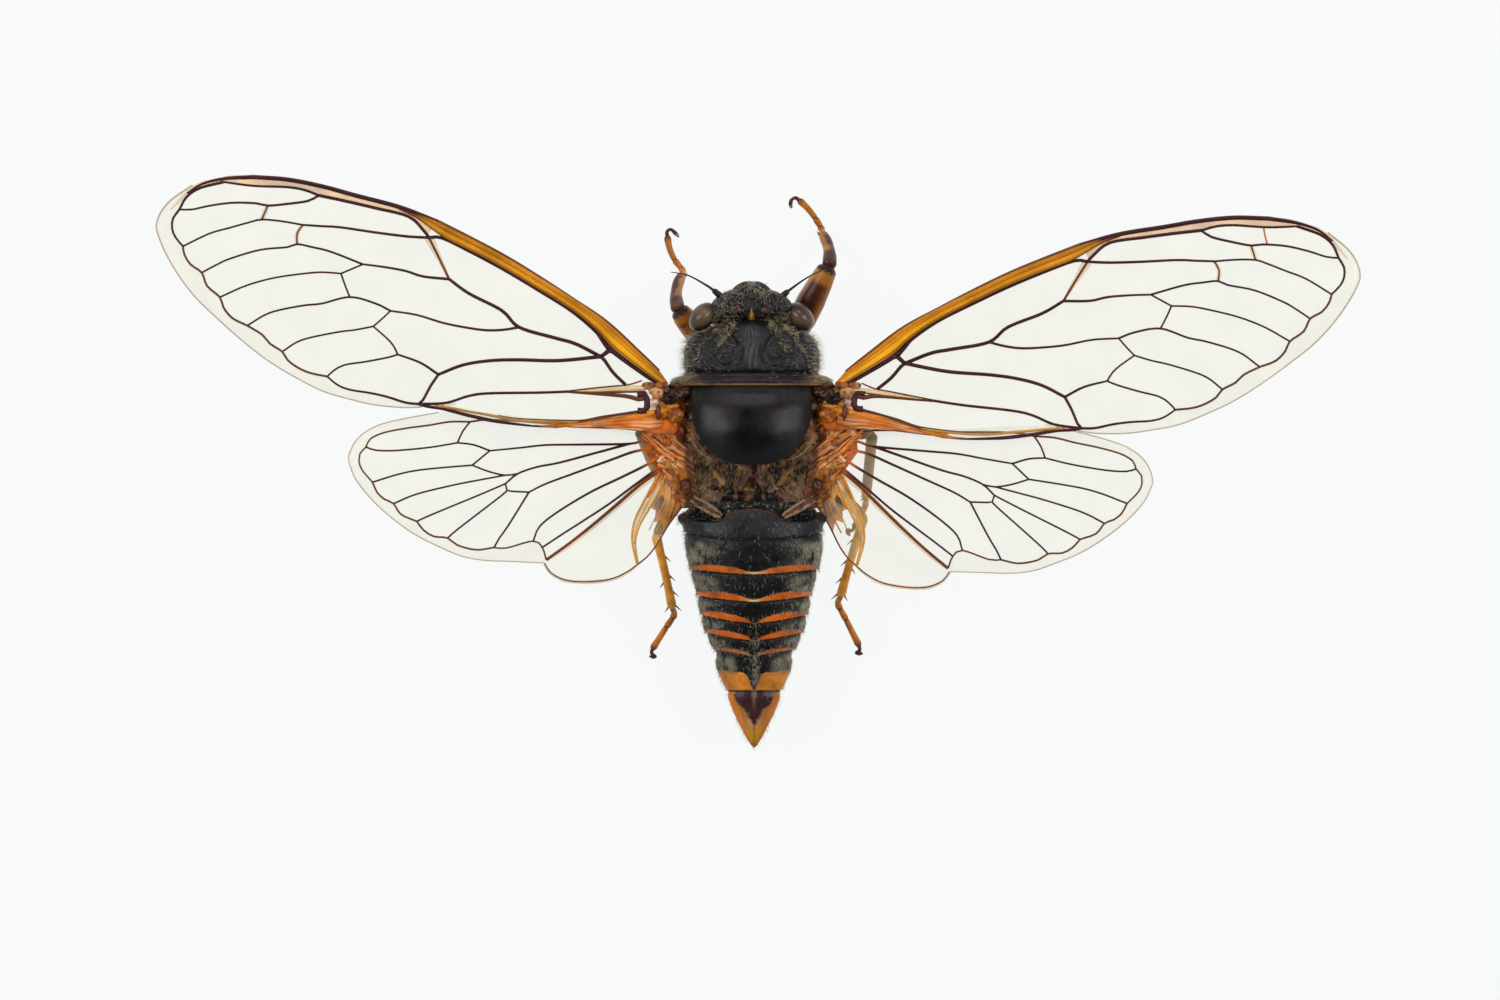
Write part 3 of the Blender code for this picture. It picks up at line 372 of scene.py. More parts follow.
# %% Where the hind wing's joints and edges lie
HIND_EDGE = (
    (-0.45, -0.55), (0.6, -0.62), (2.6, -0.8), (5.0, -1.04), (6.6, -1.24), (8.0, -1.36),
    (9.1, -1.32), (10.76, -1.01), (11.7, -0.72), (12.35, -0.25), (12.69, 0.42), (12.61, 0.9),
    (12.33, 1.49), (11.6, 2.35), (10.64, 3.17), (9.86, 3.68), (9.07, 4.07), (8.23, 4.43),
    (7.3, 4.61), (6.2, 4.66), (4.95, 4.72), (4.68, 5.14), (4.1, 5.47), (3.25, 5.55),
    (2.23, 5.46), (1.5, 5.15), (0.78, 4.55), (0.36, 4.05), (0.08, 3.58), (-0.2, 3.12),
    (-0.62, 2.56), (-0.95, 2.05), (-0.78, 1.2), (-0.45, 0.3),
)
HIND_JOINTS = {
    "front": (7.84, -0.94), "rim_1": (12.0, 0.07), "rim_2": (11.74, 1.48), "rim_3": (10.9, 2.34),
    "rim_4": (9.97, 3.05), "rim_5": (8.74, 3.72), "rim_6": (6.88, 4.1), "rim_7": (5.31, 3.84),
    "rim_8": (4.95, 4.1), "fold": (4.79, 4.6), "front_foot": (8.34, -0.1), "radius": (7.05, 0.22),
    "stem": (1.46, -0.06), "near": (7.75, 0.8), "pair_top": (6.43, 1.2), "pair": (5.93, 1.14),
    "pair_foot": (6.42, 1.54), "short": (6.36, 1.81), "cubitus": (5.48, 1.88),
}

# %% How each wing is held
FORE_ROOT = np.array([3.6, -3.235, 4.75])
HIND_ROOT = np.array([3.72, -0.75, 3.68])
FORE_AXIS = (0.951, -0.309)
HIND_AXIS = (0.985, 0.174)
RIGHT_FORE_TURN = math.radians(5.6)
RIGHT_HIND_TURN = math.radians(4.2)
RIGHT_FORE_AHEAD = 0.19
WING_RISE = math.tan(math.radians(4.0))
WING_DROOP = 0.0009
WING_CAMBER = 0.009


def wing_place(flat, side, root, axis, turn, lift=0.0):
    """Puts flat wing places, in mm from the root, on the held and slightly cambered wing."""
    flat = np.asarray(flat, float)
    out, back = flat[:, 0], flat[:, 1]
    aside = out * axis[1] - back * axis[0]
    height = root[2] + WING_RISE * out - WING_DROOP * out**2 - WING_CAMBER * aside**2
    swung_out = out * math.cos(turn) - back * math.sin(turn)
    swung_back = out * math.sin(turn) + back * math.cos(turn)
    if side < 0 and root is FORE_ROOT:
        swung_back = swung_back - RIGHT_FORE_AHEAD * fade(out, 6.0, 1.5) * fade(back, 0.0, 0.4)
    return np.column_stack([
        side * (root[0] + swung_out), root[1] + swung_back, height + lift,
    ])


def spots_of(route, joints=None):
    """A route's places in mm, where a word stands for a joint."""
    return [np.array(joints[p] if isinstance(p, str) else p) * WING_UNIT for p in route]


far_tip = wing_place([(22.0, -7.0)], 1, FORE_ROOT, FORE_AXIS, 0)[0]
print("a wing tip stands", round(float(far_tip[2]), 2), "mm above the floor")

# %% [markdown]
# Each vein below is its radius at the start and at the end, its tint, and its route. The stout
# ones near the root are 0.17 mm across and the ones at the rim are half of that, as on the insect.
# The tints are d for dark brown, u for umber, m for a middle brown, r for red-brown, a for amber,
# o and y for ochre, and p and t for the pale veins near the root.

# %% The fore wing's veins
VEIN_TINTS = {
    "d": VEIN_BROWN, "a": (0.55, 0.18, 0.012), "p": (0.8, 0.58, 0.28), "u": (0.15, 0.048, 0.012),
    "m": (0.13, 0.042, 0.018), "o": (0.5, 0.26, 0.06),
    "r": (0.17, 0.04, 0.012), "y": (0.62, 0.3, 0.045), "t": (0.62, 0.4, 0.17),
}
FORE_VEINS = (
    (0.085, 0.075, "d", (0.07, -0.02), (0.5, -0.22), (1.31, -0.76), "radius_foot", (2.85, -2.2),
     (3.83, -3.04), (5.21, -3.91), (6.59, -4.73), (7.96, -5.46), (9.05, -5.98), "node"),
    (0.045, 0.1, "u", (0.36, -0.69), (0.76, -1.08), (1.14, -1.44), (2.44, -2.63), (3.81, -3.55),
     (5.19, -4.44), (6.57, -5.27), (7.94, -5.99), (9.18, -6.61)),
    (0.1, 0.1, "d", (9.18, -6.61), (10.7, -7.2), (12.44, -7.66), (13.81, -8.03), (15.19, -8.3),
     (16.57, -8.4)),
    (0.1, 0.04, "d", (16.57, -8.4), (17.74, -8.33), (18.6, -8.12), (19.2, -7.75)),
    (0.07, 0.075, "d", "node", (9.75, -6.25), (10.37, -6.83), (11.74, -7.18), (12.9, -7.45),
     "fork"),
    (0.06, 0.05, "d", "fork", (14.5, -7.88), (15.19, -8.0), (16.57, -8.05), "stigma"),
    (0.07, 0.045, "d", "stigma", (18.7, -7.95), (19.22, -7.59), "rim_1", (19.75, -6.75),
     (19.79, -6.35), (19.66, -6.0), "rim_2"),
    (0.05, 0.05, "u", "rim_2", (19.3, -5.3), (19.05, -4.9), "rim_3", (18.4, -4.05), "rim_4",
     (17.75, -3.2), (17.4, -2.77), "rim_5"),
    (0.05, 0.05, "u", "rim_5", (16.2, -2.1), (15.9, -1.75), "rim_6", (15.2, -1.1), (14.8, -0.8),
     (14.3, -0.58), "rim_7"),
    (0.042, 0.06, "d", "rim_7", (13.2, -0.1), (12.71, 0.09), (11.9, 0.22), (11.2, 0.38),
     (10.5, 0.6), "rim_8"),
    (0.058, 0.044, "d", "fork", (14.38, -7.45), (15.2, -7.33), "bar_top", (16.45, -7.35),
     (17.39, -7.37), (18.3, -7.25), (19.0, -7.1), "rim_1"),
    (0.04, 0.04, "u", "bar_top", "bar_foot"),
    (0.046, 0.042, "d", "step_top", (15.46, -6.64), "bar_foot", (16.72, -6.59), (17.46, -6.38),
     (18.3, -6.14), "rim_2"),
    (0.04, 0.04, "u", "step_top", (14.81, -6.15), "step_foot"),
    (0.05, 0.042, "d", "mid_top", (13.47, -5.42), (14.2, -5.6), "step_foot", (15.2, -5.6),
     (16.29, -5.49), (17.45, -5.15), (17.95, -4.93), "rim_3"),
    (0.042, 0.042, "d", "mid_top", "mid_near"),
    (0.042, 0.042, "d", "mid_near", (13.8, -4.6), (14.5, -4.55), (15.74, -4.37), (16.85, -4.06),
     "rim_4"),
    (0.042, 0.042, "d", "mid_near", (12.9, -4.08), "mid_foot"),
    (0.05, 0.042, "d", "low_top", (11.7, -3.36), "mid_foot", (13.83, -3.35), (14.64, -3.26),
     (15.9, -2.98), "rim_5"),
    (0.04, 0.04, "d", "low_top", (11.45, -2.72), "low_near"),
    (0.042, 0.042, "d", "low_near", (12.5, -2.3), (13.26, -2.2), (14.64, -1.89), "rim_6"),
    (0.04, 0.044, "d", "low_near", (11.26, -1.99), (10.98, -1.68), "low_foot"),
    (0.045, 0.042, "d", "low_foot", (11.2, -1.2), (12.09, -1.03), (12.93, -0.9), (13.35, -0.68),
     "rim_7"),
    (0.05, 0.065, "d", "step_top", (13.82, -6.44), (13.12, -6.4), (11.74, -6.2), (10.73, -6.07),
     (10.2, -6.02), "node"),
    (0.065, 0.046, "d", "media_fork", (9.8, -4.44), (10.5, -4.66), (11.4, -4.82), "mid_top"),
    (0.055, 0.055, "r", "node", (9.14, -5.15), "media_fork"),
    (0.085, 0.07, "d", "base_cell", (3.7, -1.75), (4.5, -1.98), "media", (6.65, -3.08),
     (7.96, -3.76), "media_fork"),
    (0.06, 0.044, "d", "media", (6.59, -2.31), (7.26, -2.29), (8.03, -2.39), (8.98, -2.58),
     (10.05, -2.9), "low_top"),
    (0.085, 0.07, "d", "base_cell", (4.39, -1.08), (6.04, -1.11), (7.16, -1.07), (8.2, -0.9),
     "heel"),
    (0.06, 0.046, "d", "heel", (9.9, -0.99), "low_foot"),
    (0.065, 0.06, "d", "heel", (9.5, -0.05), (9.8, 0.5), "rim_8"),
    (0.11, 0.085, "d", "radius_foot", (2.5, -1.38), "base_cell"),
    (0.07, 0.14, "d", (2.85, -2.2), (2.56, -1.8), "radius_foot"),
    (0.14, 0.06, "d", "radius_foot", (2.02, -1.34), (1.7, -1.08)),
    (0.08, 0.075, "d", "base_cell", (2.55, -1.1), (2.2, -0.6), "cubitus"),
    (0.1, 0.03, "p", (0.62, -0.02), (0.9, 0.01), (1.47, 0.03), (2.69, 0.11), (3.9, 0.155)),
    (0.035, 0.04, "u", (1.05, -0.28), (1.61, -0.11), (2.19, -0.06), (3.17, 0.04), (3.9, 0.13)),
    (0.06, 0.06, "d", (3.8, 0.15), (5.1, 0.2), (7.16, 0.23), (7.99, 0.34), "clavus", "rim_8"),
    (0.045, 0.05, "m", (0.95, 0.15), (1.7, 0.17), (2.69, 0.19), (4.06, 0.16)),
    (0.14, 0.15, "d", (1.24, 0.27), (0.95, 0.25), (0.84, 0.48), (0.84, 0.76), (0.95, 0.93),
     (1.22, 0.93)),
    (0.11, 0.035, "m", (0.95, 0.42), (1.2, 0.46), (1.7, 0.34), (2.93, 0.25), (4.2, 0.17)),
    (0.05, 0.055, "m", (1.0, 0.98), (1.95, 1.13), (2.69, 1.24), (3.41, 1.37), (3.8, 1.39)),
    (0.055, 0.06, "o", (3.6, 1.38), (4.14, 1.37), (5.11, 1.34), (6.08, 1.29), (6.81, 1.17),
     (7.3, 1.07), (7.95, 0.96), (8.61, 0.83), (9.3, 0.75)),
    (0.04, 0.03, "m", (1.0, 0.9), (1.95, 1.05), (2.69, 1.16), (3.41, 1.3), (4.14, 1.31),
     (5.11, 1.28), (6.08, 1.23), (6.81, 1.12)),
    (0.03, 0.03, "r", (0.9, 1.74), (1.7, 1.66), (2.69, 1.6), (3.41, 1.58), (3.9, 1.56)),
    (0.055, 0.095, "a", (3.1, 1.42), (3.6, 1.46), (4.1, 1.51), (4.5, 1.54)),
    (0.095, 0.02, "a", (4.5, 1.54), (4.9, 1.54), (5.35, 1.5)),
    (0.03, 0.085, "d", (4.7, 1.58), (5.35, 1.54), (6.08, 1.46), (6.81, 1.36), (7.29, 1.27)),
    (0.085, 0.065, "d", (7.29, 1.27), (7.95, 1.12), (8.61, 0.95), (9.04, 0.84), (9.61, 0.76),
     "rim_8"),
    (0.035, 0.035, "a", (9.02, 0.62), (9.0, 0.8)),
)
RIGHT_FORE_EXTRA = ((0.038, 0.038, "a", (16.4, -8.05), (16.5, -7.7), (16.62, -7.38)),)
print("veins in a fore wing:", len(FORE_VEINS))

# %% [markdown]
# A cicada's hind wing is smaller. Its inner lobe folds up when the insect rests, and the veins
# in it are weak and pale. The same kind of table serves it, since only the numbers differ.

# %% The hind wing's veins
HIND_VEINS = (
    (0.045, 0.045, "u", (0.3, -0.52), (1.6, -0.72), (3.3, -0.82), (4.7, -0.88), (6.0, -0.98),
     (7.2, -1.02), "front"),
    (0.045, 0.04, "u", "front", (8.65, -0.94), (9.5, -0.8), (10.4, -0.68), (11.3, -0.5),
     (11.83, -0.25), "rim_1"),
    (0.04, 0.038, "u", "rim_1", (12.25, 0.35), (12.28, 0.65), (12.15, 1.0), "rim_2"),
    (0.044, 0.044, "u", "rim_2", (11.55, 1.9), (11.25, 2.17), "rim_3", (10.6, 2.77), "rim_4"),
    (0.044, 0.044, "u", "rim_4", (9.7, 3.4), (9.3, 3.65), "rim_5", (8.35, 4.0), (7.6, 4.19),
     "rim_6"),
    (0.038, 0.042, "u", "rim_6", (6.39, 4.12), "rim_7", "rim_8", "fold"),
    (0.041, 0.041, "d", "front", (8.14, -0.55), "front_foot"),
    (0.041, 0.041, "d", "front_foot", (9.42, 0.08), (10.77, 0.21), (11.61, 0.2), "rim_1"),
    (0.041, 0.046, "d", "front_foot", (7.7, -0.02), "radius"),
    (0.04, 0.06, "d", "radius", (5.83, 0.1), (4.79, -0.01), (3.26, -0.03), "stem", (0.92, -0.19),
     (0.4, -0.27)),
    (0.041, 0.041, "d", "radius", (7.45, 0.55), "near"),
    (0.041, 0.041, "d", "near", (8.97, 0.9), (9.98, 1.01), (10.77, 1.18), "rim_2"),
    (0.041, 0.041, "d", "near", (7.1, 1.05), "pair_top", "pair"),
    (0.041, 0.041, "d", "pair_top", (7.4, 1.38), (8.52, 1.6), (9.98, 1.96), "rim_3"),
    (0.062, 0.042, "d", "stem", (2.75, 0.29), (4.28, 0.7), (5.16, 0.87), "pair", "pair_foot"),
    (0.041, 0.041, "d", "pair_foot", (7.4, 1.96), (9.42, 2.8), "rim_4"),
    (0.041, 0.041, "d", "pair_foot", "short", "cubitus"),
    (0.041, 0.041, "d", "short", (6.61, 2.04), (8.3, 3.34), "rim_5"),
    (0.065, 0.042, "d", (0.4, 0.13), (1.22, 0.24), (2.24, 0.6), (3.77, 1.16), (4.82, 1.55),
     "cubitus"),
    (0.045, 0.042, "d", "cubitus", (6.28, 3.17), (6.67, 3.73), "rim_6"),
    (0.065, 0.04, "d", (0.25, 0.44), (0.71, 0.75), (1.73, 1.26), (3.0, 1.87), (4.28, 2.64),
     (5.05, 3.25), "rim_7"),
    (0.058, 0.042, "d", (0.0, 0.7), (0.3, 0.9), (1.22, 1.57), (2.24, 2.33), (3.26, 3.0),
     (4.2, 3.6), "rim_8"),
    (0.075, 0.062, "r", (0.2, 0.98), (0.96, 1.52), (1.73, 2.18), (2.75, 3.05), (3.77, 3.86),
     "fold"),
    (0.06, 0.06, "a", (0.25, 0.99), (0.06, 0.82), (-0.15, 0.9), (-0.11, 1.15)),
    (0.05, 0.03, "o", (-0.15, 1.1), (-0.22, 1.75), (-0.16, 2.35), (0.12, 3.0), (0.42, 3.5)),
    (0.04, 0.025, "m", (-0.22, 1.1), (-0.38, 1.7), (-0.4, 2.3), (-0.18, 2.95)),
    (0.06, 0.03, "a", (-0.32, 1.05), (-0.56, 1.6), (-0.66, 2.1), (-0.5, 2.6)),
    (0.035, 0.025, "t", (-0.05, 1.3), (-0.05, 1.9), (0.1, 2.4), (0.42, 2.9), (0.66, 3.4)),
    (0.052, 0.04, "y", (0.155, 0.967), (0.54, 1.62), (0.9, 2.29), (1.23, 2.96), (1.35, 3.54),
     (1.33, 4.02), (1.16, 4.74)),
    (0.034, 0.028, "t", (0.02, 0.96), (0.33, 1.6), (0.64, 2.17), (0.98, 2.84), (1.22, 3.42),
     (1.27, 3.95)),
    (0.05, 0.038, "y", (-0.11, 0.95), (0.11, 1.52), (0.35, 2.0), (0.73, 2.67), (1.06, 3.25),
     (1.22, 3.92), (1.11, 4.77)),
    (0.034, 0.04, "r", (1.12, 4.77), (0.75, 4.48), (0.38, 4.02), (0.12, 3.58), (-0.16, 3.12),
     (-0.58, 2.56), (-0.86, 2.12)),
    (0.034, 0.03, "r", (1.12, 4.77), (1.55, 5.08), (2.25, 5.38), (3.25, 5.48), (4.05, 5.4),
     (4.62, 5.1), (4.86, 4.72)),
)
print("veins in a hind wing:", len(HIND_VEINS))


# %% Tubes for the veins
ROOT_ORANGE = (0.6, 0.15, 0.02)


def vein_parts(veins, joints, held, glow_reach):
    """Tubes along the veins, which are orange up to glow_reach from the wing's root."""
    parts = []
    for start, end, tint, *route in veins:
        flat = through(spots_of(route, joints), 0.22)
        line = wing_place(flat, *held)
        radii = np.linspace(start, end, len(line))
        points, faces = tube_mesh(line, radii, 8)
        away = np.repeat(np.linalg.norm(flat, axis=1), 8)
        glow = fade(away, glow_reach, 0.6 * glow_reach)
        parts.append((points, faces, blend(VEIN_TINTS[tint], ROOT_ORANGE, glow)))
    return parts


print("tints of veins:", len(VEIN_TINTS))

# %% The amber beam along the front edge
BEAM_HALF_HEIGHT = 0.2
BEAM_SHARES = np.array([
    0.0, 0.06, 0.15, 0.24, 0.35, 0.44, 0.5, 0.6, 0.72, 0.79, 0.83, 0.87, 0.9, 0.93, 0.97, 1.0])
BEAM_HEIGHTS = np.array([
    0.3, 0.62, 0.93, 0.97, 0.84, 0.62, 0.78, 1.0, 1.02, 0.96, 0.92, 0.85, 0.78, 0.66, 0.48, 0.3])


def wing_beam(held):
    """The amber front beam: two ribs side by side, and a painted shade line in the valley between."""
    top = through(spots_of(WING_BEAM_TOP), 0.25)
    foot = through(spots_of(WING_BEAM_FOOT), 0.25)
    count = 90
    even = np.linspace(0, 1, count)
    top, foot = (np.column_stack([np.interp(even, np.linspace(0, 1, len(line)), line[:, i])
                                  for i in (0, 1)]) for line in (top, foot))
    width = np.linalg.norm(foot - top, axis=1)
    tall = BEAM_HALF_HEIGHT * np.clip(width / 0.55, 0.12, 1.0)
    rows, colours = [], []
    shares = np.concatenate([BEAM_SHARES, BEAM_SHARES[-2:0:-1]])
    heights = np.concatenate([BEAM_HEIGHTS, -BEAM_HEIGHTS[-2:0:-1]])
    heights[0] = heights[len(BEAM_SHARES) - 1] = 0.0
    for share, height in zip(shares, heights):
        flat = top + (foot - top) * share
        placed = wing_place(flat, *held)
        placed[:, 2] += tall * height
        rows.append(placed)
        glow = layered(
            (0.86, 0.36, 0.004),
            ((0.66, 0.2, 0.004), fade(share, 0.26, 0.18)),
            ((0.66, 0.25, 0.006), fade(even, 0.2, 0.5) * 0.8),
            ((0.34, 0.11, 0.006), 0.5 * fade(even, 0.5, 0.85) * (share < 0.5)),
            ((0.3, 0.11, 0.01), 0.6 * fade(share, 0.74, 0.84)),
            ((0.6, 0.36, 0.12), 0.9 * hill(share, 0.9, 0.03) * fade(even, 0.2, 0.14)),
        )
        # the dark line at share 0.45 lies in the valley between the ribs and is painted shade; the dark
        # outer edge is the vein's own colour
        dark = np.maximum(0.65 * hill(share, 0.45, 0.03), fade(share, 0.93, 0.97))
        dark = np.maximum(dark, 0.9 * hill(share, 0.83, 0.03) * fade(even, 0.9, 0.4))
        dark = np.maximum(dark, 0.8 * fade(share, 0.08, 0.02))
        dark = np.maximum(dark, 0.6 * hill(share, 0.24, 0.02) * fade(even, 0.6, 0.2))
        dark = np.maximum(dark + 0 * even, fade(even, 0.84, 0.98) * 0.9)
        colours.append(blend(glow, VEIN_BROWN, dark))
    grid = np.stack(rows, axis=1)
    colour = np.stack(colours, axis=1)
    faces = ring_faces(grid.shape[0], grid.shape[1])
    return grid.reshape(-1, 3), faces, colour.reshape(-1, 3)


def wing_frame(name, veins, joints, held, beam):
    parts = vein_parts(veins, joints, held, 0.3 if beam else 1.5)
    if beam:
        parts.append(wing_beam(held))
    return gather(name, parts)


print("a ring of the beam has", 2 * len(BEAM_SHARES) - 2, "points")

# %% [markdown]
# The membrane itself is a few hundredths of a millimetre thick and nearly colourless, with a
# faint warm tint and a soft shine. Glass with refraction would render slowly and show nothing
# more, since so thin a sheet bends no light. So it is a real, closed sheet, 0.03 mm thick, whose
# finish lets most light straight through. It is denser in the soft rim outside the last vein and
# amber beside some cross veins and near the root, so each zone has its own finish.


# %% The membrane's finishes
def membrane_of(name, colour, alpha, cloud=0.1, cloud_size=700.0):
    """A clear sheet: a cloudy tint, and faint wrinkles that only show in its shine."""
    material, nodes, links, shader = new_material(name)
    shader.inputs["Alpha"].default_value = alpha
    place = nodes.new("ShaderNodeTexCoord").outputs["Object"]
    haze = noise_of(nodes, links, place, cloud_size, 4.0)
    tints = nodes.new("ShaderNodeValToRGB")
    for end, position, light in ((0, 0.35, 1 - cloud), (1, 0.65, 1 + cloud)):
        tints.color_ramp.elements[end].position = position
        tints.color_ramp.elements[end].color = (*[min(1.0, c * light) for c in colour], 1.0)
    links.new(haze, tints.inputs["Fac"])
    links.new(tints.outputs["Color"], shader.inputs["Base Color"])
    links.new(mapped(nodes, links, haze, 0.12, 0.28, 0.0, 1.0), shader.inputs["Roughness"])
    crinkle = noise_of(nodes, links, place, 1500.0, 3.0)
    links.new(bumped(nodes, links, crinkle, 0.25, 0.02 * MM), shader.inputs["Normal"])
    return material


MEMBRANES = (
    membrane_of("clear membrane", (0.82, 0.77, 0.46), 0.11),
    membrane_of("beige rim of the wing", (0.82, 0.74, 0.4), 0.14),
    membrane_of("amber membrane", (0.8, 0.42, 0.08), 0.42, 0.3),
    membrane_of("orange root membrane", (0.66, 0.145, 0.015), 0.8, 0.45, 1600.0),
    membrane_of("brown folded membrane", (0.62, 0.26, 0.07), 0.72, 0.6, 1100.0),
    membrane_of("cream membrane between paired veins", (0.8, 0.5, 0.2), 0.5, 0.2),
    membrane_of("dark patch of the lobe", (0.22, 0.15, 0.07), 0.72, 0.4, 1600.0),
)
CLEAR, RIM, AMBER_FILM, ROOT_FILM, BROWN_FILM, CREAM_FILM, DARK_FILM = range(7)
print("membranes:", [m.name for m in MEMBRANES])

# %% [markdown]
# The sheet is cut by a triangulation that keeps the outline and the edges between the zones. A
# grid trimmed with a Boolean modifier would leave ragged edges there. Its two sides are 0.03 mm
# apart and joined round the rim, so that it is closed.


# %% Which points lie in a polygon, and how far they are from a line
def inside(points, polygon):
    """True for each point that lies inside a closed polygon."""
    x, y = points[:, 0], points[:, 1]
    found = np.zeros(len(points), bool)
    for (ax, ay), (bx, by) in zip(polygon, np.roll(polygon, -1, axis=0)):
        crosses = (ay > y) != (by > y)
        found ^= crosses & (x < (bx - ax) * (y - ay) / (by - ay + 1e-12) + ax)
    return found


def off_line(points, line):
    """Each point's distance from a line of straight pieces."""
    best = np.full(len(points), 1e9)
    for a, b in zip(line[:-1], line[1:]):
        along = b - a
        share = np.clip(((points - a) @ along) / (along @ along + 1e-12), 0, 1)
        best = np.minimum(best, np.linalg.norm(points - (a + share[:, None] * along), axis=1))
    return best


corners = np.array([(0.0, 0.0), (1.0, 0.0), (1.0, 1.0), (0.0, 1.0)])
print("a square holds its middle:", bool(inside(np.array([(0.5, 0.5)]), corners)[0]))

# %% Sheets cut to the wing's outline
SHEET_STEP = 0.3
SHEET_HALF = 0.015


def membrane(name, edge, held, zones):
    """A thin closed sheet of triangles. Each zone is a polygon and the finish inside it."""
    border = through(spots_of((*edge, edge[0])), 0.3)[:-1]
    low, high = border.min(axis=0), border.max(axis=0)
    across = np.arange(low[0], high[0], SHEET_STEP)
    back = np.arange(low[1], high[1], SHEET_STEP)
    grid = np.stack(np.meshgrid(across, back), axis=-1).reshape(-1, 2)
    ring = np.vstack([border, border[:1]])
    grid = grid[inside(grid, border) & (off_line(grid, ring) > 0.15)]
    verts = [Vector(p) for p in border]
    edges = [(i, (i + 1) % len(border)) for i in range(len(border))]
    for polygon, _ in zones:
        line = np.vstack([polygon, polygon[:1]])
        kept = inside(line, border) & (off_line(line, ring) > 0.03)
        number = len(verts) + np.cumsum(kept) - 1
        verts.extend(Vector(p) for p in line[kept])
        for i in range(len(line) - 1):
            if kept[i] and kept[i + 1]:
                edges.append((int(number[i]), int(number[i + 1])))
        grid = grid[off_line(grid, line) > 0.12]
    verts.extend(Vector(p) for p in grid)
    flat, _, faces, *_ = delaunay_2d_cdt(verts, edges, [], 1, 1e-5)
    flat = np.array([tuple(p) for p in flat])
    faces = np.array([tuple(f) for f in faces])
    faces = faces[inside(flat[faces].mean(axis=1), border)]
    centres = flat[faces].mean(axis=1)
    finish = np.full(len(centres), RIM)
    for polygon, index in zones:
        finish[inside(centres, polygon)] = index
    count = len(flat)
    points = np.vstack([wing_place(flat, *held, SHEET_HALF), wing_place(flat, *held, -SHEET_HALF)])
    uses, owner = {}, {}
    for face in faces.tolist():
        for a, b in zip(face, face[1:] + face[:1]):
            key = (min(a, b), max(a, b))
            uses[key] = uses.get(key, 0) + 1
            owner[key] = (a, b)
    rim = [owner[key] for key, times in uses.items() if times == 1]
    solid = [tuple(f) for f in faces] + [tuple(i + count for i in f[::-1]) for f in faces]
    solid += [(b, a, a + count, b + count) for a, b in rim]
    obj = piece(name, points, solid)
    for material in MEMBRANES:
        obj.data.materials.append(material)
    indices = np.concatenate([finish, finish, np.full(len(rim), RIM)])
    obj.data.polygons.foreach_set("material_index", indices.astype(np.int32))
    return obj


print("sheets are", 2 * SHEET_HALF, "mm thick")


# %% Stains, as flat ribbons
def stain(line, widths, held, lift):
    """A flat closed ribbon of colour along a line on the wing, wider or narrower as it goes."""
    along = normed(np.gradient(line, axis=0))
    aside = np.column_stack([-along[:, 1], along[:, 0]])
    widths = np.interp(np.linspace(0, 1, len(line)), np.linspace(0, 1, len(widths)), widths)
    rings = []
    for share, up in ((-1, 0), (-0.7, 1), (0, 1), (0.7, 1), (1, 0), (0.7, -1), (0, -1), (-0.7, -1)):
        rings.append(wing_place(line + aside * (widths * share / 2)[:, None], *held, up * lift))
    return np.stack(rings, axis=1).reshape(-1, 3), ring_faces(len(line), 8), AMBER


print("ribbons ready")


# %% [markdown]
# The clear middle of a wing ends at the vein that runs round inside the rim, and small patches near
# the root are cream, brown or orange. Each patch is an outline in the wing's own units, in part
# taken from the veins. The amber beside some cross veins is a flat ribbon laid over the sheet,
# since its soft edges don't follow any vein.

# %% Outlines in the wing's own units
def route_line(veins, joints, *numbers):
    """The flat line of the veins with these numbers, one after another."""
    return np.vstack([through(spots_of(veins[n][3:], joints), 0.3) for n in numbers])


def outline(*corners):
    """A closed polygon in mm, its straight sides cut into short pieces."""
    corners = [np.array(c, float) * WING_UNIT for c in (*corners, corners[0])]
    found = []
    for a, b in zip(corners[:-1], corners[1:]):
        pieces = max(1, round(float(np.linalg.norm(b - a)) / 0.3))
        found += [a + (b - a) * i / pieces for i in range(pieces)]
    return np.array(found)


def units(line):
    return [tuple(p / WING_UNIT) for p in line]


print("outlines ready")

# %% The zones of each wing
fore_inner = units(route_line(FORE_VEINS, FORE_JOINTS, 4, 5, 6, 7, 8, 9))
hind_inner = units(route_line(HIND_VEINS, HIND_JOINTS, 1, 2, 3, 4, 5))
fore_front = units(through(spots_of(FORE_EDGE[9:16]), 0.3))
fore_root = ((9.9, 0.9), (8.0, 2.5), (-1.0, 2.5), (-1.0, -1.5), (5.0, -7.0), (9.0, -7.5))
FORE_ZONES = (
    (outline(*fore_inner, *fore_root), CLEAR),
    (outline((9.6, -6.1), (9.0, -7.0), *[(x, y - 0.25) for x, y in fore_front],
             *units(route_line(FORE_VEINS, FORE_JOINTS, 5))[::-1],
             *units(route_line(FORE_VEINS, FORE_JOINTS, 4))[::-1]), AMBER_FILM),
    (outline((-0.6, 0.9), (0.9, 0.95), (2.0, 1.1), (3.6, 1.36), (4.8, 1.42), (3.4, 1.75), (1.6, 1.9),
             (-0.6, 2.1)), ROOT_FILM),
    (outline((-0.6, 0.5), (0.0, 0.2), (0.55, 0.3), (0.7, 0.7), (0.85, 0.95), (-0.6, 0.9)), AMBER_FILM),
)
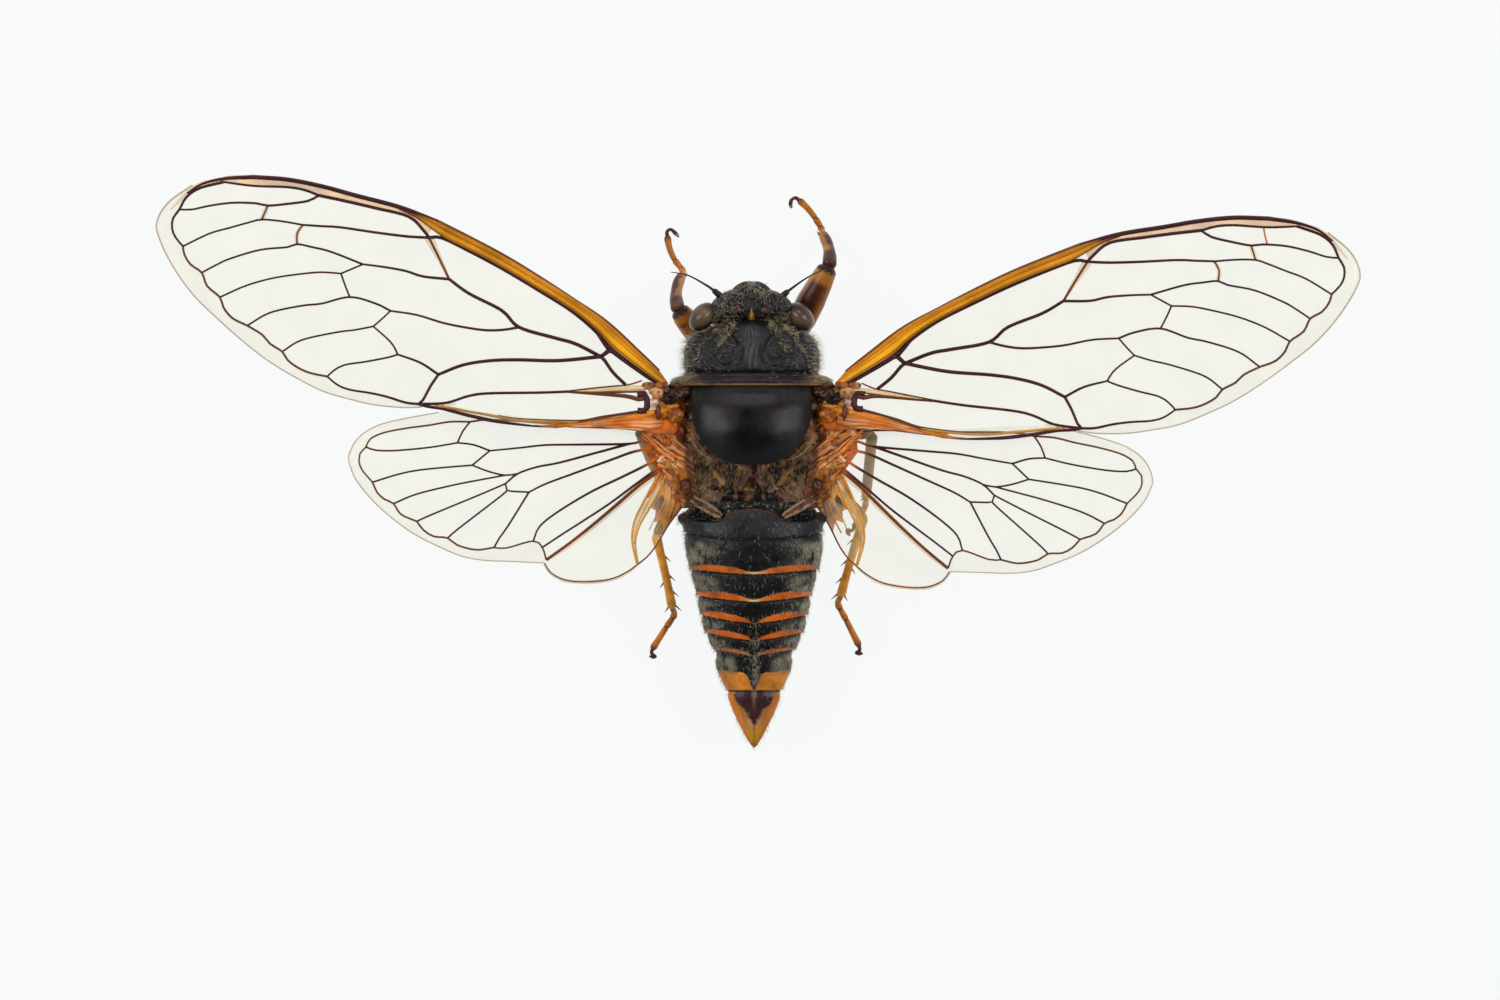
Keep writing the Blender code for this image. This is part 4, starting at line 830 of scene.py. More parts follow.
HIND_ZONES = (
    (outline((-2.0, -0.9), (0.0, -0.3), (5.0, -0.85), *hind_inner,
             (4.7, 4.9), (4.6, 6.5), (-2.0, 6.5)), CLEAR),
    (outline((0.155, 0.967), (0.54, 1.62), (0.9, 2.29), (1.23, 2.96), (1.35, 3.54), (1.33, 4.02),
             (1.2, 4.6), (1.22, 3.92), (1.06, 3.25), (0.73, 2.67), (0.35, 2.0), (0.11, 1.52),
             (-0.11, 0.95)), CREAM_FILM),
    (outline((-0.12, 0.98), (0.09, 1.55), (0.33, 2.03), (0.6, 2.5), (0.4, 2.62), (0.46, 3.1),
             (0.2, 3.0), (0.02, 3.5), (-0.4, 3.2), (-0.9, 2.6), (-1.3, 2.05), (-1.3, 1.5),
             (-1.0, 1.2)), BROWN_FILM),
    (outline((0.14, 1.96), (0.3, 2.14), (0.44, 2.42), (0.38, 2.54), (0.18, 2.46), (0.04, 2.16)),
     DARK_FILM),
    (outline((-1.0, -0.8), (0.1, -0.75), (0.75, -0.35), (0.85, 0.2), (0.55, 0.7), (0.25, 1.15),
             (-0.3, 1.3), (-1.0, 1.2)), ROOT_FILM),
)
print("zones:", len(FORE_ZONES) + len(HIND_ZONES))

# %% The stains of each wing
amber_stain = membrane_of("amber stain", (0.78, 0.42, 0.06), 0.26, 0.3)
orange_stain = membrane_of("orange stain", (0.68, 0.16, 0.012), 0.72, 0.35, 1500.0)
edge_line = membrane_of("brown edge line", (0.48, 0.3, 0.14), 0.5)
FORE_STAINS = (
    (amber_stain, (0.16, 0.22, 0.18), "bar_top", "bar_foot"),
    (amber_stain, (0.15, 0.2, 0.16), "step_top", (14.81, -6.15), "step_foot"),
    (amber_stain, (0.42, 0.24, 0.1), "node", (9.14, -5.15), "media_fork"),
    (amber_stain, (0.06, 0.26, 0.22, 0.06), (17.6, -8.32), (18.6, -8.1), (19.3, -7.62), (19.85, -7.1)),
    (amber_stain, (0.34, 0.34, 0.22, 0.05), (0.9, 0.05), (1.6, 0.06), (3.0, 0.13), (4.2, 0.15)),
    (amber_stain, (0.08, 0.2, 0.08), (8.5, 0.66), (9.1, 0.72), (9.7, 0.7)),
    (edge_line, (0.08, 0.06, 0.06), *FORE_EDGE[16:31]),
)
HIND_STAINS = (
    (amber_stain, (0.34, 0.28, 0.24, 0.18), (0.26, 1.06), (1.0, 1.6), (1.77, 2.26), (2.79, 3.13),
     (3.8, 3.94), "fold"),
    (amber_stain, (0.06, 0.16, 0.18, 0.14, 0.06), *[(x, y - 0.06) for x, y in HIND_EDGE[20:27]]),
    (edge_line, (0.05, 0.06, 0.05), *HIND_EDGE[6:21]),
    (orange_stain, (0.34, 0.22, 0.1), (0.0, 0.9), (0.35, 1.5), (0.75, 2.1)),
)
print("stains:", len(FORE_STAINS) + len(HIND_STAINS))


# %% Cut and hang all four wings
def stains_on(name, stains, joints, held):
    """One closed piece for each stain finish of a wing."""
    made = []
    for material in (amber_stain, orange_stain, edge_line):
        parts = [stain(through(spots_of(route, joints), 0.15), widths, held, 0.019 + 0.0015 * n)
                 for n, (own, widths, *route) in enumerate(stains) if own is material]
        if parts:
            obj = gather(f"{name}_{material.name.replace(' ', '_')}", parts)
            obj.data.materials.append(material)
            made.append(obj)
    return made


SIDES = ((1, "left"), (-1, "right"))
WINGS = []
for side, label in SIDES:
    right = side < 0
    fore_held = (side, FORE_ROOT, FORE_AXIS, RIGHT_FORE_TURN if right else 0.0)
    hind_held = (side, HIND_ROOT, HIND_AXIS, RIGHT_HIND_TURN if right else 0.0)
    fore_veins = FORE_VEINS + (RIGHT_FORE_EXTRA if right else ())
    for node, edge, zones, veins, joints, stains, held in (
        ("forewing", FORE_EDGE, FORE_ZONES, fore_veins, FORE_JOINTS, FORE_STAINS, fore_held),
        ("hindwing", HIND_EDGE, HIND_ZONES, HIND_VEINS, HIND_JOINTS, HIND_STAINS, hind_held),
    ):
        sheet = membrane(f"{node}_{label}_membrane", edge, held, zones)
        parts = [sheet, *stains_on(f"{node}_{label}", stains, joints, held)]
        for part in parts:
            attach(part, "root")
            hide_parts(f"{node}_{label}")
        veined = wing_frame(f"{node}_{label}_veins", veins, joints, held, node == "forewing")
        WINGS += [*parts, dress(veined, vein_cuticle, "wing", f"{node}_{label}")]
print("wing pieces:", len(WINGS), sum(len(w.data.polygons) for w in WINGS), "faces")

# %% [markdown]
# An insect's skin is finely uneven: punctured, wrinkled, and never quite the same from place to
# place. Blender's Displace modifier could add that, but relief that follows the anatomy, such as
# a groove or a ridge, needs its place worked out anyway. So each shell's points are moved in
# numpy: random mottling for wear and wrinkles, and named grooves and ridges over it.


# %% Random mottling, relief and paint for a shell
LATTICE = np.random.default_rng(3).uniform(-1.0, 1.0, (24, 24, 24))


def mottle(points, size, seed=0):
    """Smooth random values from -1 to 1 whose patches are about size mm wide."""
    scaled = np.asarray(points) / size + 7.3 * seed
    cell = np.floor(scaled).astype(int)
    share = scaled - cell
    share = share * share * (3 - 2 * share)
    total = np.zeros(scaled.shape[:-1])
    for dx in (0, 1):
        for dy in (0, 1):
            for dz in (0, 1):
                corner = LATTICE[(cell[..., 0] + dx) % 24, (cell[..., 1] + dy) % 24,
                                 (cell[..., 2] + dz) % 24]
                weight = np.where(dx, share[..., 0], 1 - share[..., 0])
                weight = weight * np.where(dy, share[..., 1], 1 - share[..., 1])
                total += corner * weight * np.where(dz, share[..., 2], 1 - share[..., 2])
    return total


def outwards(grid):
    """The unit normals of a grid of rings, pointing out of the body."""
    along = np.gradient(grid, axis=0)
    around = (np.roll(grid, -1, axis=1) - np.roll(grid, 1, axis=1)) / 2
    normal = normed(np.cross(along, around))
    centre = grid.mean(axis=1, keepdims=True)
    if ((grid - centre) * normal).sum() < 0:
        normal = -normal
    return normal


def raised(grid, height):
    """The grid moved along its normals by height, except at its two closed ends."""
    height = np.array(np.broadcast_to(height, grid.shape[:2]), float)
    height[0] = height[-1] = 0.0
    return grid + outwards(grid) * height[..., None]


def skin_of(name, grid, colours):
    obj = shell(name, grid)
    paint(obj, np.broadcast_to(colours, grid.shape).reshape(-1, 3))
    return obj


print("mottling ranges over", round(float(LATTICE.min()), 2), "to", round(float(LATTICE.max()), 2))

# %% [markdown]
# Short hair lies on the insect wherever the cuticle is dull: gold and silver flecks on the head
# and thorax, an olive-silver bloom on the sides of each ring. Particle hair is lost when a model
# is exported, so each hair is a real, closed, three-sided spike, bent along its lie and rooted
# in the skin. They are laid by chance, more where a density says so, with a fixed seed.


# %% Where the hairs stand
HAIR_PATCH = 0.0015
HAIR_UVS = np.array([(0, 0), (1, 0), (2, 0), (0, 1), (1, 1), (2, 1), (1, 2)]) * HAIR_PATCH
HAIR_FACES = ((0, 1, 2), (0, 3, 4, 1), (1, 4, 5, 2), (2, 5, 3, 0), (3, 6, 4), (4, 6, 5), (5, 6, 3))


def sow(grid, normals, density, count):
    """Random places on a grid of rings: their points, normals, and places on its unwrap."""
    a, b, c = grid[:-1], grid[1:], np.roll(grid, -1, axis=1)
    area = np.linalg.norm(np.cross(b - a, c[:-1] - a), axis=2)
    chance = (area * np.clip(density[:-1], 0, None)).ravel()
    chance /= chance.sum()
    chosen = rng.choice(len(chance), count, p=chance)
    row, column = np.divmod(chosen, grid.shape[1])
    s, t = rng.random(count), rng.random(count)
    ahead = (column + 1) % grid.shape[1]
    near = grid[row, column] * (1 - t)[:, None] + grid[row, ahead] * t[:, None]
    far = grid[row + 1, column] * (1 - t)[:, None] + grid[row + 1, ahead] * t[:, None]
    place = near * (1 - s)[:, None] + far * s[:, None]
    unwrap = np.column_stack([(column + t) / grid.shape[1], (row + s) / grid.shape[0]])
    return place, normals[row, column], unwrap * 0.98 + 0.005


print("sowing ready, each hair unwraps in", HAIR_PATCH, "of the map")


# %% Hairs as solid spikes along the lie of the coat
def hairs(name, roots, normals, lie, length, radius, colours, unwrap, lift, scatter):
    """One closed spike for each root, leaning along lie and rising from the skin by lift."""
    count = len(roots)
    lie = lie + rng.normal(0, scatter, (count, 3))
    lie = normed(lie - normals * (lie * normals).sum(axis=1, keepdims=True), 1e-9)
    length = np.broadcast_to(length, count) * rng.uniform(0.7, 1.25, count)
    way = normed(lie + normals * (lift * rng.uniform(0.5, 1.5, count))[:, None], 0.0)
    across = normed(np.cross(way, normals), 1e-9)
    over = np.cross(across, way)
    start = roots - normals * 0.02
    middle = start + way * (length * 0.5)[:, None]
    tip = middle + (way * 0.45 + lie * 0.15) * length[:, None]
    points = np.empty((count, 7, 3))
    width = np.broadcast_to(radius, count) * rng.uniform(0.75, 1.25, count)
    for i in range(3):
        angle = 2 * math.pi * i / 3
        ring = across * math.cos(angle) + over * math.sin(angle)
        points[:, i] = start + ring * width[:, None]
        points[:, 3 + i] = middle + ring * (width * 0.75)[:, None]
    points[:, 6] = tip
    faces = [tuple(v + 7 * n for v in face) for n in range(count) for face in HAIR_FACES]
    obj = piece(name, points.reshape(-1, 3), faces, turn_out=False)
    paint(obj, np.repeat(np.broadcast_to(colours, (count, 3)), 7, axis=0))
    places_uv = (unwrap[:, None, :] + HAIR_UVS[None]).reshape(-1, 2)
    corner = np.empty(len(obj.data.loops), np.int32)
    obj.data.loops.foreach_get("vertex_index", corner)
    layer = obj.data.uv_layers.new(name="OFBake")
    layer.data.foreach_set("uv", places_uv[corner].ravel())
    return obj


hair_finish = finish_of("short insect hair", 0.5, grain=600, relief=0.05, stain=0.15, shine=0.3)
print("one hair has", len(HAIR_FACES), "faces")

# %% [markdown]
# The abdomen is a telescope of rings. Each is black with an orange hind edge that sags towards
# the middle of the back, and each tucks under the one before it, which gives the small steps in
# its outline. One loft with steps in it is enough, since the rings don't move in a still model.

# %% The abdomen's rings
ABDOMEN_STATIONS = (
    (1.7, 2.45, 4.8, 2.1, 3.45), (2.0, 2.8, 5.02, 1.8, 3.4), (2.38, 3.06, 5.16, 1.55, 3.35),
    (2.8, 3.03, 5.24, 1.42, 3.3), (3.35, 3.0, 5.26, 1.36, 3.26), (4.4, 2.84, 5.14, 1.32, 3.2),
    (5.5, 2.54, 4.92, 1.38, 3.1), (6.4, 2.36, 4.68, 1.52, 3.02), (7.3, 2.14, 4.42, 1.66, 2.96),
    (7.9, 1.88, 4.22, 1.76, 2.92), (8.36, 1.64, 4.02, 1.88, 2.88), (8.55, 1.64, 3.94, 1.92, 2.86),
    (9.05, 1.57, 3.76, 2.0, 2.83), (9.5, 1.4, 3.56, 2.1, 2.79), (9.9, 1.2, 3.38, 2.2, 2.77),
)
RING_BACKS = np.array([3.35, 4.84, 6.03, 6.96, 7.71, 8.36, 9.9])
BAND_WIDTHS = np.array([0.0, 0.3, 0.32, 0.31, 0.29, 0.19, 0.88])
BAND_SAGS = np.array([0.34, 0.22, 0.27, 0.36, 0.34, 0.26, 0.02])
BAND_ACROSS = np.array([0.0, 0.1, 0.2, 0.35, 0.55, 0.75, 0.9, 1.0])
BAND_SWELL = np.array([0.24, 0.4, 0.66, 0.92, 1.0, 0.88, 0.66, 0.5])
BODY_LEAN = -0.11


def ring_marks(x, y, z, half, waist):
    """A place's way across the back, its band, and how far it is from the ring edges near it."""
    across = np.clip(abs(x) / half, 0, 1)
    on_back = fade(z, waist - 0.45, waist + 0.1)
    band = np.zeros_like(y)
    pale = np.zeros_like(y)
    since = np.full_like(y, 9.0)
    until = np.full_like(y, 9.0)
    ragged = 0.022 * mottle(np.stack([x, y, z], axis=-1), 0.22, 11)
    for back, width, sag in zip(RING_BACKS, BAND_WIDTHS, BAND_SAGS):
        edge = back - sag * across**1.5
        since = np.where(y > edge, y - edge, since)
        swell = width * np.interp(across, BAND_ACROSS, BAND_SWELL)
        if width > 0.8:
            swell = width * (1.0 - 0.96 * hill(across, 0.0, 0.17) - 0.1 * hill(across, 0.45, 0.3))
        elif back > 6.5:
            swell = swell * fade(across, 0.02, 0.13)
        top = edge - np.clip(swell, 0.0, None) + ragged
        until = np.where((y <= top) & (until > 8.0), top - y, until)
        if width == 0:
            continue
        inside_band = fade(y, top - 0.03, top + 0.03) * fade(y, edge + 0.02, edge - 0.025)
        band = np.maximum(band, inside_band)
        if 4.0 < back < 6.5:
            pale = np.maximum(pale, inside_band * hill(across, 0.0, 0.12))
    return across, band * on_back, pale, since, until, on_back


print("hind edges of the rings at", RING_BACKS.tolist())

# %% The abdomen's shell, with its steps and folds
ys = np.concatenate([np.linspace(1.7, 9.9, 280), [9.93]])
abdomen_grid = barrel(ABDOMEN_STATIONS, ys, 300)
half, top, bottom, waist = (v[:, None] for v in eased(ABDOMEN_STATIONS, ys).T)
gx, gy, gz = xyz(abdomen_grid)
across, band, pale, since, until, on_back = ring_marks(gx, gy, gz, half, waist)
step = -0.085 * np.exp(-since / 0.16) * (gy > 3.0)
groove = -0.05 * hill(since, 0.02, 0.03)
puckers = 0.01 * mottle(abdomen_grid, 0.16) + 0.014 * mottle(abdomen_grid, 0.45, 1)
front_line = np.interp(abs(gx), [0, 0.5, 0.9, 1.27, 1.7, 2.4, 2.7, 2.95, 3.1],
                       [2.0, 2.03, 2.13, 2.42, 2.54, 2.56, 2.4, 2.08, 1.95])
ahead = fade(gy - 0.02 * mottle(abdomen_grid, 0.2, 17), front_line + 0.02, front_line - 0.05) * on_back
hollow = -0.34 * hill(abs(gx), 1.95, 0.55) * hill(gy, 2.1, 0.3) * on_back - 0.12 * ahead
knob = 0.18 * hill(abs(gx), 3.0, 0.3) * hill(gy, 2.42, 0.22) * hill(gz, 3.6, 0.5)
front_ridges = (0.03 * np.sin(gy * 26 + 2.2 * np.cos(gx * 1.6))
                + 0.07 * mottle(abdomen_grid, 0.13, 8)) * ahead
abdomen_grid = raised(abdomen_grid, step + groove + puckers * (1 - band) + hollow + knob + front_ridges)
abdomen_grid[..., 0] += BODY_LEAN * fade(gy, 1.8, 4.0)
print("abdomen:", abdomen_grid.shape[0], "rings of", abdomen_grid.shape[1], "points")

# %% Paint the abdomen
wide_bloom = 0.12 * fade(gy, 8.2, 8.5)
bloom = (fade(across, 0.45 - wide_bloom, 0.85 - wide_bloom) * fade(gy, 3.2, 3.7) * (1 - band)
         * fade(gy, 9.9, 9.2))
striae = mottle(abdomen_grid * (3.2, 1.0, 1.0), 0.25, 12)
bloom = bloom * np.clip(0.5 + 0.8 * mottle(abdomen_grid, 0.34, 2) + 0.5 * striae, 0, 1) * on_back
bloom = bloom * fade(since, 0.06, 0.38) * (0.45 + 0.55 * fade(until, 0.02, 0.16))
colour = layered(
    BLACK,
    # painted sheen: a faint blue-grey on the black of the front rings
    ((0.0115, 0.012, 0.0155), fade(gy, 3.4, 2.9)),
    (CHARCOAL, np.clip(mottle(abdomen_grid, 0.35, 9), 0, 1) * 0.6),
    ((0.32, 0.28, 0.19), 0.7 * bloom),
    ((0.05, 0.018, 0.02), 0.8 * hill(since, 0.0, 0.05) * (gy > 3.0)),
)
orange = layered(
    ORANGE,
    ((0.62, 0.215, 0.02), fade(gy, 8.4, 8.9)),
    ((0.5, 0.16, 0.07), hill(gy, 8.25, 0.25) * 0.7),
    ((0.34, 0.06, 0.008), 0.6 * np.clip(mottle(abdomen_grid, 0.16, 10), 0, 1)),
)
colour = np.where(band[..., None] > 0.001, blend(colour, orange, band), colour)
colour = layered(
    colour,
    ((0.8, 0.6, 0.22), pale),
    (UMBER, (1 - on_back) * 0.8),
    ((0.3, 0.15, 0.05), (1 - on_back) * hill(since, 0.0, 0.12) * 0.6),
    # near-black ahead of the second ring: black cuticle, darkened further as painted shade in the
    # recess
    ((0.0022, 0.002, 0.0022), 0.95 * ahead),
    ((0.19, 0.17, 0.13), ahead * fade(mottle(abdomen_grid, 0.07, 19), 0.45, 0.7)
     * fade(abs(gx), 2.2, 1.6)),
    ((0.13, 0.052, 0.022), 0.8 * hill(gy - front_line, 0.03, 0.03) * fade(abs(gx), 1.5, 1.25)
     * on_back),
)
abdomen = dress(
    skin_of("abdomen_skin", abdomen_grid, colour), black_cuticle, "black_cuticle", "abdomen")
print("abdomen:", len(abdomen.data.polygons), "faces")

# %% [markdown]
# The female's last ring is a pointed cone with a dark triangle on top, and it covers the sheath of
# her egg-layer. A cone primitive would be too even, so it is a loft with a low keel, and the sheath
# below it is a tapered tube.

# %% The last ring, with the sheath of the egg-layer below it
TAIL_STATIONS = (
    (9.78, 1.1, 3.3, 2.3, 2.8), (10.2, 1.13, 3.32, 2.26, 2.78), (10.6, 1.0, 3.24, 2.28, 2.74),
    (11.05, 0.81, 3.12, 2.32, 2.7), (11.47, 0.6, 2.99, 2.38, 2.66), (11.9, 0.37, 2.85, 2.46, 2.62),
    (12.2, 0.18, 2.74, 2.52, 2.62), (12.38, 0.05, 2.66, 2.58, 2.62),
)
ys = np.linspace(9.78, 12.38, 110)
tail_grid = barrel(TAIL_STATIONS, ys, 120)
gx, gy, gz = xyz(tail_grid)
keel = 0.05 * hill(gx, 0.0, 0.07) * fade(gy, 11.3, 10.2) * (gz > 2.8)
tail_grid = raised(tail_grid, keel + 0.008 * mottle(tail_grid, 0.2, 3))
tail_grid[..., 0] += BODY_LEAN
reach = np.interp(gy, [9.8, 10.2, 10.5, 10.7, 11.05, 11.5], [0.84, 0.86, 0.72, 0.42, 0.24, 0.0])
dark = fade(abs(gx) + 0.06 * mottle(tail_grid, 0.1, 4), reach + 0.06, reach - 0.08) * (gz > 2.7)
pink = hill(gy, 11.15 + 0.25 * hill(gx, 0, 0.2), 0.26) * fade(abs(gx), 0.5, 0.1) * (gz > 2.7)
colour = layered(
    (0.34, 0.125, 0.03),
    ((0.5, 0.24, 0.01), fade(gy, 11.0, 11.8)),
    ((0.52, 0.165, 0.018), fade(abs(gx) / np.interp(gy, [9.8, 12.4], [1.1, 0.05]), 0.82, 0.95)),
    ((0.36, 0.08, 0.008), fade(gy, 12.0, 12.35)),
    ((0.46, 0.24, 0.12), 0.8 * pink),
    ((0.042, 0.016, 0.018), dark),
    ((0.2, 0.11, 0.1), dark * hill(gx, 0.0, 0.06) * fade(gy, 10.9, 10.1)),
    ((0.36, 0.1, 0.015), fade(gz, 2.72, 2.5) * 0.8),
)
tail = dress(skin_of("tail_skin", tail_grid, colour), leg_cuticle, "orange_tail", "tail")
sheath_line = through([(BODY_LEAN, 9.8, 2.28), (BODY_LEAN, 11.1, 2.24), (BODY_LEAN, 12.05, 2.42)], 0.05)
sheath_share = np.linspace(0, 1, len(sheath_line))
sheath_radii = np.interp(sheath_share, [0, 0.5, 0.95, 1], [0.26, 0.24, 0.09, 0.03])
sheath_points, sheath_faces = tube_mesh(sheath_line, sheath_radii, 16)
sheath = gather("tail_sheath", [(sheath_points, sheath_faces, (0.2, 0.06, 0.015))])
dress(sheath, leg_cuticle, "orange_tail", "tail")
print("tail:", len(tail.data.polygons), "faces")

# %% [markdown]
# Behind the head lies the pronotum, a saddle with a smooth hourglass down its middle, slanting
# grooves beside it, swollen lobes at the sides, and a flared collar with a tan hind rim. It is
# one loft along the body, and the grooves are dips that follow slanted lines on its back.

# %% The pronotum and its collar
PRONOTUM_STATIONS = (
    (-6.16, 1.15, 4.7, 2.8, 3.8), (-5.98, 1.42, 4.86, 2.6, 3.8), (-5.8, 1.95, 5.02, 2.35, 3.82),
    (-5.58, 2.42, 5.18, 2.12, 3.86), (-5.3, 2.72, 5.34, 1.98, 3.9), (-4.9, 2.88, 5.5, 1.86, 3.93),
    (-4.5, 2.93, 5.6, 1.8, 3.95), (-4.1, 2.9, 5.66, 1.8, 4.02), (-3.88, 2.86, 5.64, 1.86, 4.12),
    (-3.76, 3.0, 5.62, 1.94, 4.24), (-3.62, 3.34, 5.7, 2.05, 4.35), (-3.47, 3.48, 5.74, 2.12, 4.36),
    (-3.36, 3.36, 5.7, 2.18, 4.36), (-3.3, 3.1, 5.62, 2.3, 4.34),
)
ys = np.linspace(-6.16, -3.3, 130)
pronotum_grid = barrel(PRONOTUM_STATIONS, ys, 300)
gx, gy, gz = xyz(pronotum_grid)
ax = abs(gx)
back_up = fade(gz, 3.9, 4.5)
disc = fade(gy, -3.86, -4.0) * fade(gy, -6.1, -5.85)
waisted = np.interp(gy, [-6.0, -5.7, -5.35, -5.0, -4.7, -4.4, -4.2, -4.05, -3.92],
                    [0.8, 0.68, 0.44, 0.29, 0.27, 0.33, 0.52, 0.95, 1.6])
fascia = fade(ax, waisted + 0.12, waisted - 0.06) * disc
beside = hill(ax, waisted + 0.2, 0.12) * fade(gy, -4.15, -4.4)
swirl = np.sin(25 * np.hypot((ax - 1.1) / 0.75, gy + 4.85) + 3.5 * mottle(pronotum_grid, 0.45, 16))
slant = hill(ax - 0.85 - 0.62 * (gy + 5.9), 0.0, 0.13) * fade(gy, -4.4, -4.7)
outer = hill(ax - 1.62 - 0.75 * (gy + 5.7), 0.0, 0.12) * fade(gy, -4.05, -4.4) * fade(gy, -5.9, -5.5)
lobes = (0.06 * hill(ax, 1.25, 0.42) * hill(gy, -4.75, 0.55)
         + 0.05 * hill(ax, 2.3, 0.35) * hill(gy, -4.6, 0.6))
pit = hill(ax, 0.0, 0.34) * hill(gy, -3.95, 0.07)
collar_groove = hill(gy, -3.9, 0.055)
wrinkles = (0.035 * np.clip(mottle(pronotum_grid, 0.14) + 0.2, 0, 1)
            + 0.03 * mottle(pronotum_grid, 0.33, 1))
stripes = 0.022 * swirl * fade(ax, 2.2, 1.7) * disc
height = (0.07 * fascia + 0.01 * fascia * np.sin(gx * 52 + 4 * mottle(pronotum_grid, 0.5, 12))
          - 0.1 * beside - 0.12 * slant - 0.1 * outer + lobes - 0.09 * pit
          + (wrinkles + stripes) * (1 - 0.85 * fascia) * disc) * back_up * disc
height = height - 0.1 * collar_groove * back_up - 0.1 * pit * back_up
height = height + 0.014 * mottle(pronotum_grid, 0.2, 5)
pronotum_grid = raised(pronotum_grid, height)
print("pronotum:", pronotum_grid.shape[0], "rings")

# %% Paint the pronotum
pollen = np.clip(mottle(pronotum_grid, 0.17, 6) * 1.6, 0, 1)
colour = blend(BLACK, CHARCOAL, back_up * disc * (0.5 + 0.5 * mottle(pronotum_grid, 0.3, 7)))
streaks = 0.5 + 0.5 * np.sin(gx * 52 + 4 * mottle(pronotum_grid, 0.5, 12))
colour = layered(
    colour,
    # the hourglass: its own dark blue-grey, with painted highlights as paler lines along the crests of
    # its fine ridges
    (blend((0.015, 0.0155, 0.018), (0.074, 0.076, 0.085), streaks**2 * hill(ax, 0, 0.4)),
     fascia * back_up * 0.9),
    ((0.13, 0.105, 0.045), pollen * (slant + outer + 0.3 * beside).clip(0, 1) * 0.35 * disc),
    # painted shade: near-black in the grooves beside the hourglass, in the pit and in the collar groove
    ((0.002, 0.002, 0.003), 0.9 * (beside + pit + collar_groove).clip(0, 1) * back_up * (1 - fascia)),
    # painted highlight: paler grey on the crests of the curved striae
    ((0.04, 0.038, 0.036), fade(swirl, 0.3, 0.9) * 0.5 * (1 - fascia) * disc * back_up
     * fade(ax, 2.4, 1.9)),
)
collar = fade(gy, -3.9, -3.8)
hem = fade(gy, -3.42, -3.38)
colour = layered(
    colour,
    ((0.026, 0.012, 0.013), collar * (0.75 + 0.25 * mottle(pronotum_grid, 0.25, 8))),
    ((0.016, 0.01, 0.012), collar * fade(mottle(pronotum_grid, 0.22, 13), 0.1, 0.6)
     * fade(ax, 2.6, 2.0)),
    ((0.17, 0.095, 0.035), collar * fade(ax, 2.0, 2.9)
     * (0.55 + 0.35 * mottle(pronotum_grid, 0.2, 14))),
    ((0.4, 0.22, 0.065), hem * fade(gy, -3.3, -3.36) * (0.75 + 0.25 * mottle(pronotum_grid, 0.3, 15))),
    (UMBER, fade(gz, 3.7, 3.0) * 0.8),
)
pronotum = dress(
    skin_of("pronotum_skin", pronotum_grid, colour), black_cuticle, "black_cuticle", "prothorax")
print("pronotum:", len(pronotum.data.polygons), "faces")

# %% [markdown]
# The middle of the thorax carries the wing muscles, and its back is the great glossy shield that
# takes the broad grey gleams in the picture; these come from the lamps and, in part, from painted
# sheen in its colour. Behind it is a raised cross, and beside it lie dull, hairy slopes down to the
# wing roots. One height field over a closed dome makes all of them, so the shield's edge runs
# smoothly into the slopes.

# %% The shield and the cross behind it
NOTUM_STATIONS = (
    (-3.32, 2.72, 5.45, 4.0, 4.2), (-3.1, 2.84, 5.72, 4.0, 4.2), (-2.6, 2.96, 5.98, 4.0, 4.2),
    (-2.0, 2.99, 6.12, 4.0, 4.2), (-1.27, 2.96, 6.16, 4.0, 4.2), (-0.7, 2.84, 6.04, 4.0, 4.2),
    (-0.2, 2.64, 5.8, 4.0, 4.2), (0.2, 2.45, 5.52, 4.0, 4.2), (0.7, 2.18, 5.36, 4.0, 4.2),
    (1.1, 1.95, 5.2, 4.0, 4.2), (1.45, 1.7, 5.0, 4.0, 4.2), (1.66, 1.45, 4.85, 4.0, 4.2),
)
SHIELD_Y = (-3.3, -2.6, -2.0, -1.6, -1.3, -0.95, -0.55, -0.26, -0.1, 0.03, 0.1)
SHIELD_HALF = (2.58, 2.6, 2.59, 2.52, 2.42, 2.22, 1.9, 1.52, 1.2, 0.8, 0.0)
ys = np.linspace(-3.32, 1.66, 200)
notum_grid = barrel(NOTUM_STATIONS, ys, 320, 2.1)
gx, gy, gz = xyz(notum_grid)
ax = abs(gx)
shield_half = np.interp(gy, SHIELD_Y, SHIELD_HALF)
from_edge = shield_half - ax
shield = fade(from_edge, -0.1, 0.12) * fade(gy, 0.16, 0.02)
slope = (1 - shield)
cross_front = hill(ax - 0.16 - 0.75 * (0.62 - gy), 0.0, 0.2) * (gy < 0.62) * fade(gy, 0.02, 0.2)
cross_back = hill(ax - 0.16 - 1.0 * (gy - 0.72), 0.0, 0.22) * (gy >= 0.62) * fade(gy, 1.45, 1.2)
cross = np.maximum(np.maximum(cross_front, cross_back), hill(ax, 0, 0.42) * hill(gy, 0.68, 0.26))
ochre_ridge = hill(ax - 1.42 + 0.75 * (gy - 1.0), 0.0, 0.12) * fade(gy, 0.35, 0.6) * fade(gy, 1.5, 1.3)
hind_edge = hill(gy - 1.34 + 0.1 * (ax / 1.2) ** 2, 0.0, 0.06)
height = 0.1 * shield - 0.16 * slope * fade(gy, -2.6, -2.0) - 0.22 * slope * fade(gy, 0.0, 0.5)
striae = mottle(notum_grid * (4.0, 1.0, 1.0), 0.3, 12)
